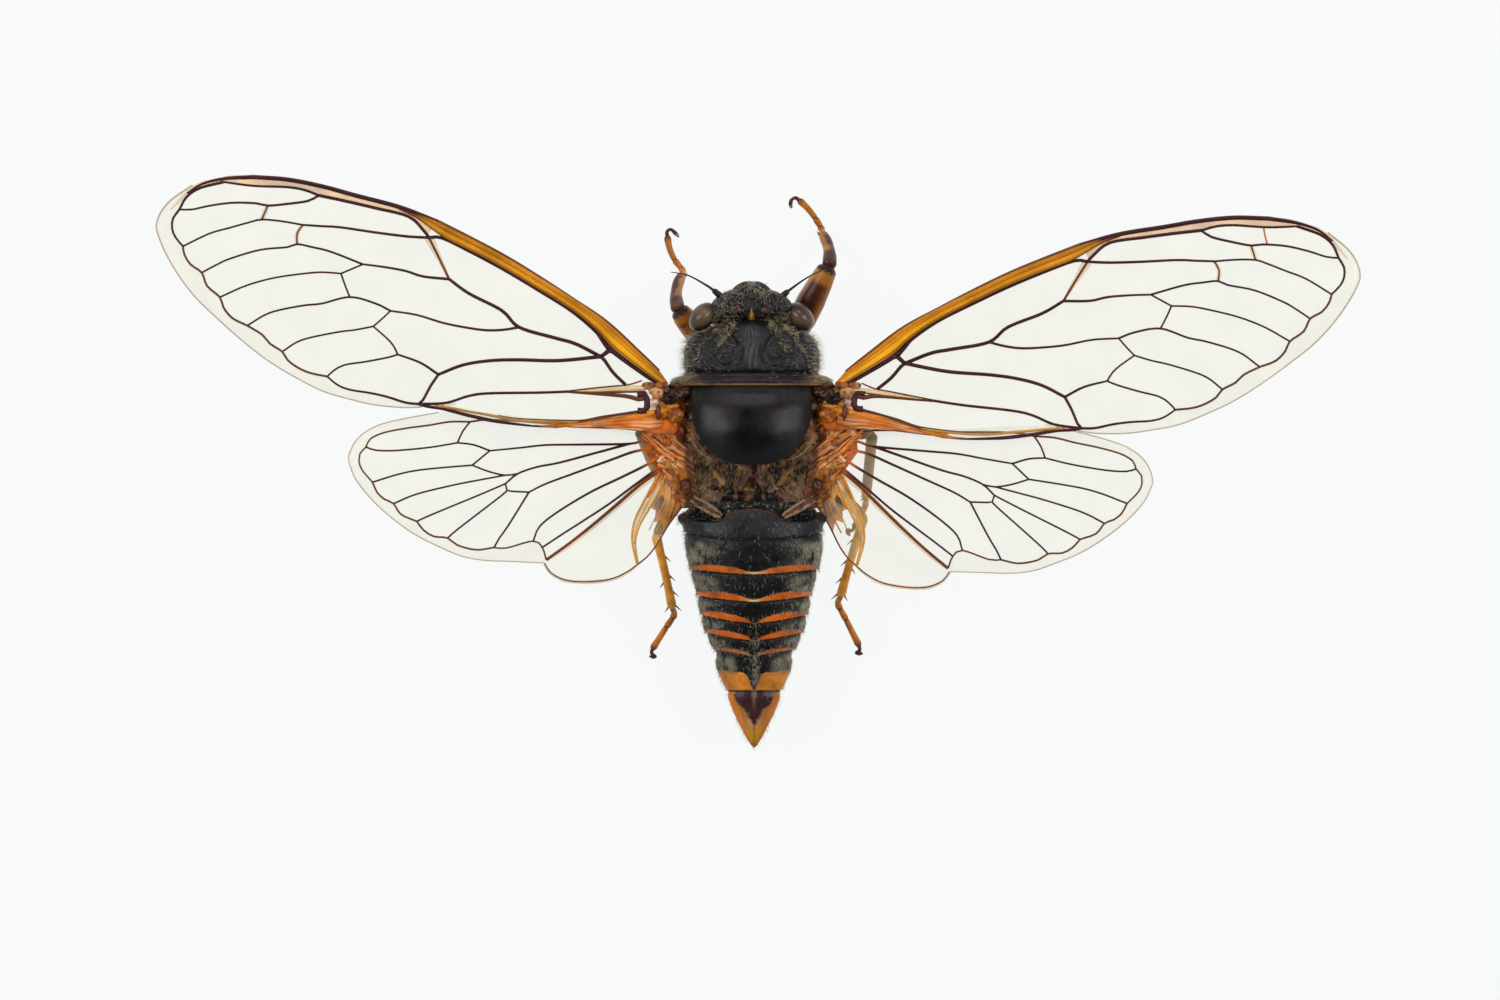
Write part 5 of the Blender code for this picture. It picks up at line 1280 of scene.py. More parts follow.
rim_line = (hill(from_edge, -0.56 + 0.06 * np.sin(gy * 5), 0.05)
            + 0.6 * hill(from_edge, -0.34 + 0.05 * np.sin(gy * 7), 0.035))
rim_line = rim_line * fade(gy, -1.9, -1.2) * fade(gy, 0.9, 0.4)
height = height + 0.3 * cross * slope + 0.14 * ochre_ridge + 0.1 * hind_edge + 0.09 * rim_line
height = height - 0.12 * hill(from_edge, -0.16, 0.1) * fade(gy, 0.1, -0.2)
wrinkles = 0.05 * mottle(notum_grid, 0.16) + 0.05 * mottle(notum_grid, 0.4, 1)
height = height + wrinkles * slope * (1 - 0.5 * cross) + 0.004 * mottle(notum_grid, 0.3, 2)
notum_grid = raised(notum_grid, height * fade(gz, 4.1, 4.5))
print("shield:", notum_grid.shape[0], "rings")

# %% Paint the shield and the slopes
# Painted sheen: the broad grey gleams beside the middle of the shield are painted into its colour on
# top of the lamps' own gleams, and broken up by fine specks and brushed streaks.
sheen_side = hill(ax, 1.5, 0.62) * hill(gy, -1.7, 1.25)
brushed_sheen = 0.85 + 0.25 * mottle(notum_grid * (3.0, 1.0, 1.0), 0.3, 7)
sheen_specks = fade(mottle(notum_grid, 0.06, 20), 0.15, 0.55)
colour = layered(
    BLACK,
    ((0.03, 0.027, 0.024), shield * sheen_side * brushed_sheen * (0.5 + 0.5 * sheen_specks)),
    ((0.034, 0.014, 0.016), shield * hill(ax, 1.0, 0.4) * hill(gy, -2.7, 0.4) * 0.7),
    # painted reflection: a grey band across the front of the shield, broken by fine specks
    ((0.024, 0.024, 0.025), shield * fade(gy, -2.3, -3.0) * (0.5 + 0.5 * sheen_specks)),
    ((0.02, 0.01, 0.006), 0.95 * slope),
)
radial = np.sin(34 * np.arctan2(gx, gy + 2.2) + 3.0 * mottle(notum_grid, 0.5, 18))
colour = layered(
    colour,
    ((0.15, 0.072, 0.026), slope * fade(radial + mottle(notum_grid, 0.24, 4), 0.3, 1.1) * 0.8),
    ((0.085, 0.034, 0.028), cross * slope * 0.85),
    ((0.06, 0.007, 0.004), hill(ax, 0, 0.22) * hill(gy, 0.72, 0.24) * 0.95),
    ((0.42, 0.19, 0.035), 0.85 * ochre_ridge * slope),
    ((0.3, 0.14, 0.035), 0.85 * hind_edge * slope),
    ((0.36, 0.19, 0.06), 0.8 * rim_line * slope),
    ((0.2, 0.17, 0.12), 0.5 * hill(ax, 0.95, 0.28) * hill(gy, 0.72, 0.24) * fade(striae, 0.0, 0.5)),
    ((0.32, 0.09, 0.03), slope * hill(gy, -1.35, 0.35) * fade(ax, 2.3, 2.7) * 0.7),
    ((0.004, 0.0035, 0.004), slope * fade(gy, 1.02, 1.15) * fade(radial, 0.9, 0.2)),
)
notum = dress(
    skin_of("shield_skin", notum_grid, colour), polished_cuticle, "black_cuticle", "mesonotum")
print("shield:", len(notum.data.polygons), "faces")

# %% [markdown]
# Below the wing roots, the sides and floor of the thorax are brown plates, seen only from the
# side and from below. They hold the hips of the middle and hind legs.

# %% Sides and floor of the thorax
THORAX_STATIONS = (
    (-3.4, 2.4, 4.3, 1.95, 3.5), (-3.1, 2.6, 4.36, 1.72, 3.52), (-2.4, 2.88, 4.4, 1.45, 3.55),
    (-1.3, 2.96, 4.4, 1.38, 3.55), (-0.4, 2.93, 4.4, 1.42, 3.55), (0.55, 2.62, 4.36, 1.5, 3.5),
    (1.3, 2.42, 4.4, 1.62, 3.45), (1.85, 2.4, 4.5, 1.85, 3.42),
)
LEGS = {
    "fore_left": dict(hip=(1.25, -4.6, 2.1), root=(1.85, -4.95, 1.45), knee=(3.19, -6.67, 2.6),
                      ankle=(3.04, -8.25, 0.62), toe=(3.69, -9.94, 0.2), claw=(3.24, -10.0),
                      bend=(0.14, 0.0), curl=(0.14, 0.04)),
    "fore_right": dict(hip=(-1.25, -4.9, 2.1), root=(-1.72, -5.35, 1.5), knee=(-3.38, -8.58, 2.35),
                       ankle=(-3.1, -10.05, 0.62), toe=(-2.08, -11.52, 0.2), claw=(-1.7, -11.25),
                       bend=(-0.12, 0.0), curl=(-0.07, -0.05)),
    "mid_left": dict(hip=(1.4, -1.3, 2.0), root=(2.1, -1.25, 1.45), knee=(4.86, -1.4, 2.45),
                     ankle=(4.0, 0.7, 0.6), toe=(3.9, 2.05, 0.2), claw=(3.75, 2.4), bend=(0.0, 0.1),
                     curl=(0.0, 0.0)),
    "mid_right": dict(hip=(-1.4, -1.3, 2.0), root=(-2.1, -1.25, 1.45), knee=(-5.25, -1.25, 2.45),
                      ankle=(-5.0, 1.62, 0.6), toe=(-4.5, 2.85, 0.2), claw=(-4.25, 3.15),
                      bend=(0.0, 0.0), curl=(0.0, 0.0)),
    "hind_left": dict(hip=(1.25, 0.5, 2.1), root=(1.9, 0.9, 1.4), knee=(4.16, 3.14, 2.5),
                      ankle=(3.45, 6.4, 0.6), toe=(4.34, 8.15, 0.2), claw=(4.4, 8.5),
                      bend=(-0.05, 0.1), curl=(0.0, 0.0)),
    "hind_right": dict(hip=(-1.25, 0.5, 2.1), root=(-1.9, 0.85, 1.4), knee=(-4.9, 2.32, 2.5),
                       ankle=(-3.87, 5.92, 0.6), toe=(-4.72, 8.02, 0.2), claw=(-4.8, 8.37),
                       bend=(0.05, 0.1), curl=(0.0, 0.0)),
}
ys = np.linspace(-3.4, 1.85, 110)
thorax_grid = barrel(THORAX_STATIONS, ys, 200, 2.9)
gx, gy, gz = xyz(thorax_grid)
plates = sum(hill(gy + 0.35 * (gz - 3.0), line, 0.06) for line in (-2.3, -1.0, 0.35, 1.2))
height = -0.1 * plates * fade(abs(gx), 1.2, 2.0) - 0.08 * hill(gx, 0, 0.06) * (gz < 2.2)
thorax_grid = raised(thorax_grid, height + 0.03 * mottle(thorax_grid, 0.3)
    + 0.012 * mottle(thorax_grid, 0.12, 1))
colour = layered(
    (0.07, 0.03, 0.014),
    ((0.2, 0.085, 0.025), 0.5 + 0.5 * mottle(thorax_grid, 0.6, 2)),
    ((0.02, 0.012, 0.01), plates.clip(0, 1) * 0.9),
    ((0.3, 0.15, 0.05), fade(gz, 2.4, 1.6) * 0.6),
    (BLACK, fade(gy, -2.9, -3.3)),
)
dress(skin_of("thorax_skin", thorax_grid, colour), black_cuticle, "brown_cuticle", "thorax")
print("sides and floor:", thorax_grid.shape[0], "rings")

# %% The hips
for group, node in (("fore", "prothorax"), ("mid", "thorax"), ("hind", "thorax")):
    parts = []
    for leg in (LEGS[group + "_left"], LEGS[group + "_right"]):
        hip, root = np.array(leg["hip"]), np.array(leg["root"])
        line = np.array([hip + (root - hip) * t for t in np.linspace(0, 1.08, 14)])
        radii = np.interp(np.linspace(0, 1, 14), [0, 0.4, 0.8, 1.0], [0.62, 0.58, 0.42, 0.2])
        points, faces = tube_mesh(line, radii, 24)
        points = points + 0.03 * mottle(points, 0.25)[:, None]
        shade = blend((0.24, 0.09, 0.022), LEG_BROWN, 0.5 + 0.5 * mottle(points, 0.3, 1))
        parts.append((points, faces, shade))
    dress(gather(f"hips_{group}", parts), leg_cuticle, "brown_cuticle", node)
print("hips:", len(LEGS))

# %% [markdown]
# The head is a short wide capsule between two bulging eyes. Its front is filled by the swollen,
# ribbed face that holds the sucking muscles. From above it shows three small red simple eyes, an
# amber wedge on the middle line, and a thin reddish rim at the back. It is lofted from side to
# side, since its outline changes most that way, and the face is a ribbed egg set into it.

# %% The head capsule
HEAD_STATIONS = (
    (0.0, -7.5, -6.04, 5.04, 2.55), (0.6, -7.5, -6.04, 5.03, 2.62), (0.9, -7.47, -6.02, 4.98, 2.85),
    (1.25, -7.33, -5.98, 4.88, 3.05), (1.5, -7.17, -5.95, 4.72, 3.3), (1.68, -6.98, -5.98, 4.54, 3.5),
    (1.82, -6.72, -6.1, 4.32, 3.75),
)


def head_rings(xs, sides):
    front, back, top, bottom = (v[:, None] for v in eased(HEAD_STATIONS, abs(xs)).T)
    angle = turns(sides)[None]
    along = np.sign(np.cos(angle)) * abs(np.cos(angle)) ** (2 / 2.3)
    up = np.sign(np.sin(angle)) * abs(np.sin(angle)) ** (2 / 2.3)
    grid = np.empty((len(xs), sides, 3))
    grid[..., 0] = xs[:, None]
    grid[..., 1] = (front + back) / 2 + (back - front) / 2 * along
    grid[..., 2] = (top + bottom) / 2 + (top - bottom) / 2 * up
    return grid


head_grid = head_rings(np.linspace(-1.82, 1.82, 190), 200)
gx, gy, gz = xyz(head_grid)
ax = abs(gx)
crown = fade(gz, 4.3, 4.6)
nape = hill(gy, -6.1, 0.05) * fade(ax, 1.2, 0.9) * crown
wedge = (fade(ax + 0.03, 0.24 * fade(gy, -6.85, -6.1) + 0.02, 0.0) * fade(gy, -6.95, -6.75)
         * fade(gy, -6.1, -6.2))
temples = hill(ax - 1.0 - 0.5 * (gy + 6.5), 0.0, 0.09) * crown * fade(gy, -7.3, -7.0)
height = 0.05 * wedge - 0.05 * temples - 0.05 * hill(ax, 0.28, 0.07) * crown * hill(gy, -6.6, 0.35)
height = (height + crown * (0.045 * mottle(head_grid, 0.13) + 0.03 * mottle(head_grid, 0.3, 1))
          * (1 - wedge))
head_grid = raised(head_grid, height + 0.008 * mottle(head_grid, 0.1, 2))
colour = layered(
    BLACK,
    (CHARCOAL, 0.5 + 0.5 * mottle(head_grid, 0.25, 3)),
    ((0.12, 0.095, 0.04), 0.3 * fade(mottle(head_grid, 0.12, 4), 0.35, 0.8) * crown),
    ((0.085, 0.03, 0.026), nape * 0.9),
    ((0.62, 0.3, 0.04), wedge),
    ((0.075, 0.028, 0.028), hill(gy, -7.35, 0.1) * hill(ax, 1.05, 0.25) * crown * 0.8),
)
head = dress(skin_of("head_skin", head_grid, colour), black_cuticle, "black_cuticle", "head")
print("head:", len(head.data.polygons), "faces")

# %% [markdown]
# The swollen face is ribbed where the pumping muscles are fixed inside, and the beak runs from it
# back under the thorax. The ribs are waves on an egg, and the beak is a tube with a dark tip.


# %% The ribbed face and the beak
def egg_grid(centre, radii, rows, sides):
    """A grid of rings over an ellipsoid, its poles at the top and the bottom."""
    polar = np.linspace(0.03, math.pi - 0.03, rows)[:, None]
    angle = turns(sides)[None]
    ways = (np.sin(polar) * np.cos(angle), np.sin(polar) * np.sin(angle), np.cos(polar) + 0 * angle)
    return np.stack([way * r + c for way, r, c in zip(ways, radii, centre)], axis=-1)


FACE_CENTRE = np.array([0.0, -7.05, 3.62])
face_grid = egg_grid((0, 0, 0), (0.96, 0.8, 1.36), 130, 130)
tilt = np.array(Matrix.Rotation(-0.16, 3, "X"))
face_grid = face_grid @ tilt.T + FACE_CENTRE
gx, gy, gz = xyz(face_grid)
ribs = np.cos((gz - 0.35 * abs(gx)) * 19.0) * fade(abs(gx), 0.1, 0.28) * fade(gz, 4.75, 4.4)
pitted = 0.03 * mottle(face_grid, 0.12) + 0.03 * mottle(face_grid, 0.25, 1)
face_grid = raised(face_grid, 0.035 * ribs + pitted * fade(gz, 4.2, 4.7) + 0.004)
colour = layered(
    BLACK,
    ((0.06, 0.025, 0.015), fade(gz, 4.2, 2.8) * 0.7),
    ((0.14, 0.11, 0.05), 0.35 * fade(mottle(face_grid, 0.12, 2), 0.2, 0.7) * fade(gz, 4.1, 4.6)),
)
dress(skin_of("ribbed_face", face_grid, colour), black_cuticle, "black_cuticle", "head")

beak_line = through([
    (0, -7.15, 2.75), (0, -6.95, 2.25), (0, -6.6, 1.8), (0, -6.3, 1.47),
    (0, -5.6, 1.2), (0, -4.4, 1.08), (0, -3.2, 0.98), (0, -1.7, 0.9),
], 0.06)
beak_share = np.linspace(0, 1, len(beak_line))
beak_radii = np.interp(beak_share, [0, 0.1, 0.2, 0.3, 0.7, 0.97, 1.0],
                       [0.5, 0.42, 0.27, 0.22, 0.19, 0.13, 0.04])
beak_points, beak_faces = tube_mesh(beak_line, beak_radii, 20)
beak_shade = blend((0.16, 0.06, 0.02), BLACK, np.repeat(fade(beak_share, 0.6, 0.95), 20))
beak = gather("beak", [(beak_points, beak_faces, beak_shade)])
dress(beak, leg_cuticle, "brown_cuticle", "rostrum", "head")
print("face and beak ready")

# %% [markdown]
# A cicada's eye is a glossy dome of tiny facets, grey-brown with a pale band round its foot. The
# facets are too small to see at this size, so a smooth egg with painted bands stands for them. The
# feelers are bristles on two short stout joints, made as tubes that narrow in steps.

# %% Eyes, simple eyes and feelers
EYE_CENTRE = np.array([2.11, -6.31, 4.13])
EYE_RADII = (0.71, 0.5, 0.66)
EYE_YAW = math.radians(49.0)
ANTENNA_ROUTES = {
    1: ((1.36, -7.22, 4.3), (1.6, -7.42, 4.38), (1.97, -7.68, 4.5), (2.76, -8.1, 4.62),
        (3.5, -8.24, 4.6)),
    -1: ((-1.34, -7.2, 4.3), (-1.56, -7.4, 4.38), (-2.22, -7.88, 4.52), (-2.75, -8.18, 4.6),
         (-3.23, -8.38, 4.58)),
}
eye_gloss = finish_of("compound eye", 0.24, grain=1100, relief=0.06, stain=0.3, coat=0.22, shine=0.25)
for side, label in SIDES:
    grid = egg_grid((0, 0, 0), EYE_RADII, 90, 110)
    yaw = np.array(Matrix.Rotation(side * EYE_YAW, 3, "Z"))
    grid = grid @ yaw.T + EYE_CENTRE * (side, 1, 1)
    lift = (grid[..., 2] - EYE_CENTRE[2]) / EYE_RADII[2]
    outer = side * (grid[..., 0] - side * EYE_CENTRE[0]) * 0.66 + (grid[..., 1] - EYE_CENTRE[1]) * 0.75
    cloudy = mottle(grid, 0.45, 3)
    colour = layered(
        (0.034, 0.019, 0.012),
        ((0.105, 0.064, 0.038), fade(lift + 0.3 * cloudy, 0.45, 1.0)),
        ((0.02, 0.012, 0.009), hill(lift, 0.36, 0.1) * 0.8),
        ((0.4, 0.26, 0.15), hill(lift, 0.16, 0.09) * fade(outer, -0.75, -0.35)),
        ((0.08, 0.05, 0.03), fade(lift, 0.0, -0.3)),
    )
    dress(skin_of(f"eye_{label}_dome", grid, colour), eye_gloss, "compound_eye", f"eye_{label}")
    line = through(ANTENNA_ROUTES[side], 0.05)
    share = np.linspace(0, 1, len(line))
    radii = np.interp(share, [0, 0.1, 0.14, 0.17, 0.4, 1.0], [0.15, 0.13, 0.12, 0.062, 0.045, 0.016])
    points, faces = tube_mesh(line, radii, 12)
    feeler = gather(f"feeler_{label}", [(points, faces, (0.02, 0.01, 0.01))])
    dress(feeler, leg_cuticle, "black_cuticle", f"antenna_{label}")

red_parts = []
for x, y, z in ((0.0, -7.14, 4.97), (0.545, -6.59, 5.0), (-0.52, -6.59, 5.0)):
    grid = egg_grid((x, y, z), (0.135, 0.135, 0.11), 20, 24)
    shade = blend((0.02, 0.006, 0.005), (0.1, 0.028, 0.018), fade(grid[..., 2], z + 0.03, z + 0.1))
    shade = shade * (0.35 if x == 0.0 else 1.0)
    red_parts.append((grid.reshape(-1, 3), ring_faces(20, 24), shade.reshape(-1, 3)))
dress(gather("simple_eyes", red_parts), eye_gloss, "compound_eye", "head")
print("eyes, 3 simple eyes and 2 feelers")

# %% [markdown]
# An insect's leg is a chain of tubes: the thigh, swollen and spined in front for digging, the
# shin, and a foot of three short joints with two hooked claws. Tubes with a table of radii give
# each its muscle, and the paint goes by the place along and around them.

# %% Legs
CLAW_BROWN = (0.07, 0.022, 0.014)
FORE_THIGHS = {
    "left": ([0, 0.12, 0.35, 0.6, 0.82, 0.94, 1.0], [0.22, 0.42, 0.52, 0.52, 0.49, 0.42, 0.22]),
    "right": ([0, 0.1, 0.32, 0.55, 0.8, 0.95, 1.0], [0.24, 0.48, 0.62, 0.62, 0.53, 0.44, 0.24]),
}
THIGH_RADII = {
    "mid": ([0, 0.15, 0.5, 0.85, 0.96, 1.0], [0.2, 0.32, 0.3, 0.24, 0.2, 0.12]),
    "hind": ([0, 0.15, 0.5, 0.85, 0.96, 1.0], [0.2, 0.34, 0.32, 0.25, 0.2, 0.12]),
}
SHIN_RADII = {
    "fore": ([0, 0.05, 0.2, 0.5, 0.8, 0.94, 1.0], [0.16, 0.31, 0.31, 0.25, 0.25, 0.21, 0.12]),
    "mid": ([0, 0.05, 0.25, 0.7, 0.93, 1.0], [0.12, 0.25, 0.24, 0.23, 0.21, 0.1]),
    "hind": ([0, 0.05, 0.22, 0.7, 0.93, 1.0], [0.12, 0.22, 0.19, 0.18, 0.21, 0.1]),
}
FOOT_STOPS = [0, 0.06, 0.22, 0.3, 0.33, 0.37, 0.48, 0.52, 0.55, 0.8, 0.95, 1.0]
FOOT_SIZES = [0.1, 0.13, 0.14, 0.16, 0.12, 0.13, 0.15, 0.11, 0.13, 0.14, 0.16, 0.11]
HEEL_HEIGHT, TOE_HEIGHT = 0.14, 0.12


def limb(points, stops, sizes, sides=20, step=0.05):
    """A tube with a table of radii, with the share along and the angle around of each point."""
    line = through(points, step)
    share = np.linspace(0, 1, len(line))
    verts, faces = tube_mesh(line, np.interp(share, stops, sizes), sides)
    around = np.tile(np.cos(turns(sides)), len(line))
    return verts, faces, np.repeat(share, sides), around


def spine(spot, tip, radius, shade):
    line = [np.asarray(spot), (np.asarray(spot) + np.asarray(tip)) / 2, np.asarray(tip)]
    points, faces = tube_mesh(line, (radius, radius * 0.6, radius * 0.12), 6)
    colour = blend(shade, CLAW_BROWN, np.repeat([0.0, 0.3, 1.0], 6))
    return points, faces, colour


def toward(start, end):
    way = np.asarray(end, float) - np.asarray(start, float)
    return way / np.linalg.norm(way)


print("leg tools ready")


# %% Thighs
def thigh_skin(key, leg):
    """The thigh, swollen and spined in the fore legs, with a dark knee."""
    kind, side = key.split("_")
    hip, root, knee = (np.array(leg[k]) for k in ("hip", "root", "knee"))
    bow = np.array([0.22 * math.copysign(1, knee[0]), -0.26, 0.0]) if kind == "hind" else np.zeros(3)
    points, faces, share, around = limb(
        [root - toward(hip, root) * 0.15, root + toward(root, knee) * 0.35 + bow * 0.5,
         (root + knee) / 2 + bow, knee],
        *(FORE_THIGHS[side] if kind == "fore" else THIGH_RADII[kind]))
    grain = mottle(points, 0.28, 1)
    if kind == "fore":
        shade = blend((0.34, 0.105, 0.01), (0.12, 0.03, 0.008), fade(grain, 0.0, 0.5))
        if side == "right":
            shade = layered(
                (0.34, 0.19, 0.1),
                ((0.055, 0.014, 0.005), fade(around + 0.15 * grain, -0.85, -0.6)),
                ((0.24, 0.07, 0.01), fade(around + 0.1 * grain, 0.45, 0.8)),
            )
        shade = layered(
            shade,
            ((0.44, 0.16, 0.02), fade(share, 0.76, 0.84) * fade(share, 0.97, 0.93) * 0.8),
            ((0.03, 0.009, 0.007), fade(share + 0.02 * grain, 0.91, 0.95)),
        )
    else:
        shade = layered(
            (0.19, 0.085, 0.035),
            ((0.07, 0.028, 0.014), 0.5 + 0.5 * grain),
            ((0.34, 0.14, 0.03), fade(share, 0.85, 1.0)),
        )
    parts = [(points, faces, shade)]
    if kind == "fore":
        down = np.array([0.0, 0.0, -1.0])
        for place, size in ((0.38, 0.5), (0.62, 0.42), (0.82, 0.3)):
            spot = root + (knee - root) * place + down * 0.35
            tip = spot + (down * 1.3 + toward(root, knee) * 0.8) * size
            parts.append(spine(spot, tip, 0.1, LEG_BROWN))
    dress(gather(key + "_thigh_skin", parts), leg_cuticle, "dark_leg", key + "_thigh")


print("thighs with spines: fore; plain: mid, hind")


# %% Shins
def shin_skin(key, leg):
    """The shin, ochre with spines in the hind legs and dark to the outside in the fore legs."""
    kind, side = key.split("_")
    knee, ankle = np.array(leg["knee"]), np.array(leg["ankle"])
    bend = np.array([*leg["bend"], 0.0])
    route = [knee - toward(knee, ankle) * 0.05, knee + (ankle - knee) * 0.33 + bend,
             knee + (ankle - knee) * 0.67 + bend, ankle]
    points, faces, share, around = limb(route, *SHIN_RADII[kind])
    grain = mottle(points, 0.3, 2)
    shade = blend(LEG_OCHRE, (0.55, 0.2, 0.02), 0.5 + 0.5 * grain)
    if kind == "fore":
        dark_side = fade(around * (1 if side == "left" else -1) + 0.4 * grain, 0.35, -0.15)
        shade = blend((0.46, 0.19, 0.045), (0.06, 0.02, 0.014), np.maximum(
            fade(share + 0.1 * grain, 0.42, 0.25), dark_side * fade(share, 1.0, 0.8)))
        shade = blend(shade, (0.2, 0.1, 0.05), fade(grain, 0.2, 0.6) * 0.5)
    if kind == "mid":
        shade = layered(
            (0.29, 0.15, 0.07),
            ((0.17, 0.08, 0.035), 0.5 + 0.5 * grain),
            ((0.05, 0.03, 0.025), fade(share, 0.13, 0.05)),
        )
    shade = blend(shade, (0.2, 0.06, 0.012), hill(share, 0.99, 0.03))
    parts = [(points, faces, shade)]
    inward = np.array([-math.copysign(1.0, knee[0]), 0.0, 0.15])
    way = toward(knee, ankle)
    if kind == "hind":
        for place, out in ((0.25, inward), (0.5, inward), (0.72, inward), (0.93, inward),
                (0.6, -inward), (0.95, -inward)):
            spot = knee + (ankle - knee) * place + bend * math.sin(math.pi * place) + out * 0.12
            parts.append(spine(spot, spot + (out + way * 1.3) * 0.26, 0.055, (0.45, 0.15, 0.015)))
    else:
        for place in (0.9, 0.96):
            spot = knee + (ankle - knee) * place + inward * 0.1
            parts.append(spine(spot, spot + (inward + way * 1.5) * 0.14, 0.05, LEG_BROWN))
    dress(gather(key + "_shin_skin", parts), leg_cuticle, "amber_leg", key + "_shin")


print("spines on a hind shin: 6, on the others: 2")


# %% Feet and claws
def foot_skin(key, leg):
    """Three foot joints flat on the floor, and two claws hooked to one side."""
    kind = key.split("_")[0]
    ankle, toe = np.array(leg["ankle"]), np.array(leg["toe"])
    way = toward(leg["knee"], ankle)
    heel = ankle + way * 0.3
    heel[2] = HEEL_HEIGHT
    flat_toe = np.array([toe[0], toe[1], TOE_HEIGHT])
    curl = np.array([*leg["curl"], 0.0])
    route = [ankle - way * 0.1]
    for i in range(4):
        route.append(heel + (flat_toe - heel) * i / 3 + curl * math.sin(math.pi * i / 3))
    points, faces, share, _ = limb(route, FOOT_STOPS, FOOT_SIZES, step=0.03)
    points[:, 2] = np.maximum(points[:, 2], 0.0)
    shade = layered(
        (0.62, 0.205, 0.022),
        ((0.46, 0.135, 0.015), 0.5 + 0.5 * mottle(points, 0.25, 3)),
        ((0.16, 0.045, 0.012), (hill(share, 0.33, 0.02) + hill(share, 0.52, 0.02)).clip(0, 1)),
        ((0.14, 0.04, 0.014), fade(share, 0.86, 1.0)),
    )
    parts = [(points, faces, shade)]
    along = toward(heel, flat_toe)
    hook = np.array([leg["claw"][0] - toe[0], leg["claw"][1] - toe[1], 0.0])
    spread = np.array([-along[1], along[0], 0.0])
    hooked = hook - along * (hook @ along)
    hooked /= np.linalg.norm(hooked) + 1e-9
    for turn in (1, -1):
        claw = through([
            flat_toe - along * 0.05,
            flat_toe + along * 0.16 + hooked * 0.06 + (0, 0, 0.05 * turn),
            flat_toe + along * 0.2 + hooked * (0.26 + 0.02 * turn) + spread * 0.02 * turn,
            flat_toe + hook * 0.9 + along * 0.04 + hooked * 0.05 * turn,
            flat_toe + hook * (1.0 + 0.03 * turn) - along * 0.12,
        ], 0.04)
        radii = np.interp(np.linspace(0, 1, len(claw)), [0, 0.35, 0.7, 1], [0.09, 0.075, 0.055, 0.018])
        claw_points, claw_faces = tube_mesh(claw, radii, 8)
        claw_points[:, 2] = np.maximum(claw_points[:, 2], 0.0)
        parts.append((claw_points, claw_faces, (0.3, 0.11, 0.02) if kind == "mid" else CLAW_BROWN))
    dress(gather(key + "_foot_skin", parts), leg_cuticle, "amber_leg", key + "_foot")


for key, leg in LEGS.items():
    thigh_skin(key, leg)
    shin_skin(key, leg)
    foot_skin(key, leg)
print("leg pieces:", 3 * len(LEGS))

# %% [markdown]
# Where the wings meet the thorax there are small horny plates, amber and black, and between them
# a folded, elastic skin of a strong orange-red. The plates are lumpy eggs, and the skin is a
# closed, rippled sheet whose folds run out into the veins. A second sheet, a narrow orange fan,
# follows the hind edge of each fore wing's root. Flat planes would lose the folds' shine, and
# both sheets also carry painted highlights on their crests and painted shade in their troughs.


# %% The wing hinges
ROOT_FAN = ((0.25, 1.36), (0.88, 1.37), (1.17, 1.36), (1.95, 1.39), (2.69, 1.43), (3.41, 1.49),
            (3.9, 1.53))
SKIN_EDGE_Y = (-3.35, -2.8, -2.5, -2.1, -1.9, -1.5, -1.1, -0.8, -0.3, 0.3, 0.9, 1.6, 2.1)
SKIN_EDGE_X = (4.25, 4.15, 4.05, 4.35, 4.65, 4.75, 4.55, 4.25, 4.05, 3.8, 3.5, 3.3, 3.05)


def sheet_grid(name, grid, thickness, colours):
    """A closed thin sheet from a rectangular grid of places."""
    rows, columns = grid.shape[:2]
    normal = normed(np.cross(np.gradient(grid, axis=0), np.gradient(grid, axis=1)))
    top, low = grid + normal * thickness / 2, grid - normal * thickness / 2
    ringed = np.concatenate([top, low[:, ::-1]], axis=1)
    painted = np.concatenate([colours, colours[:, ::-1]], axis=1)
    part = (ringed.reshape(-1, 3), ring_faces(rows, 2 * columns), painted.reshape(-1, 3))
    return gather(name, [part])


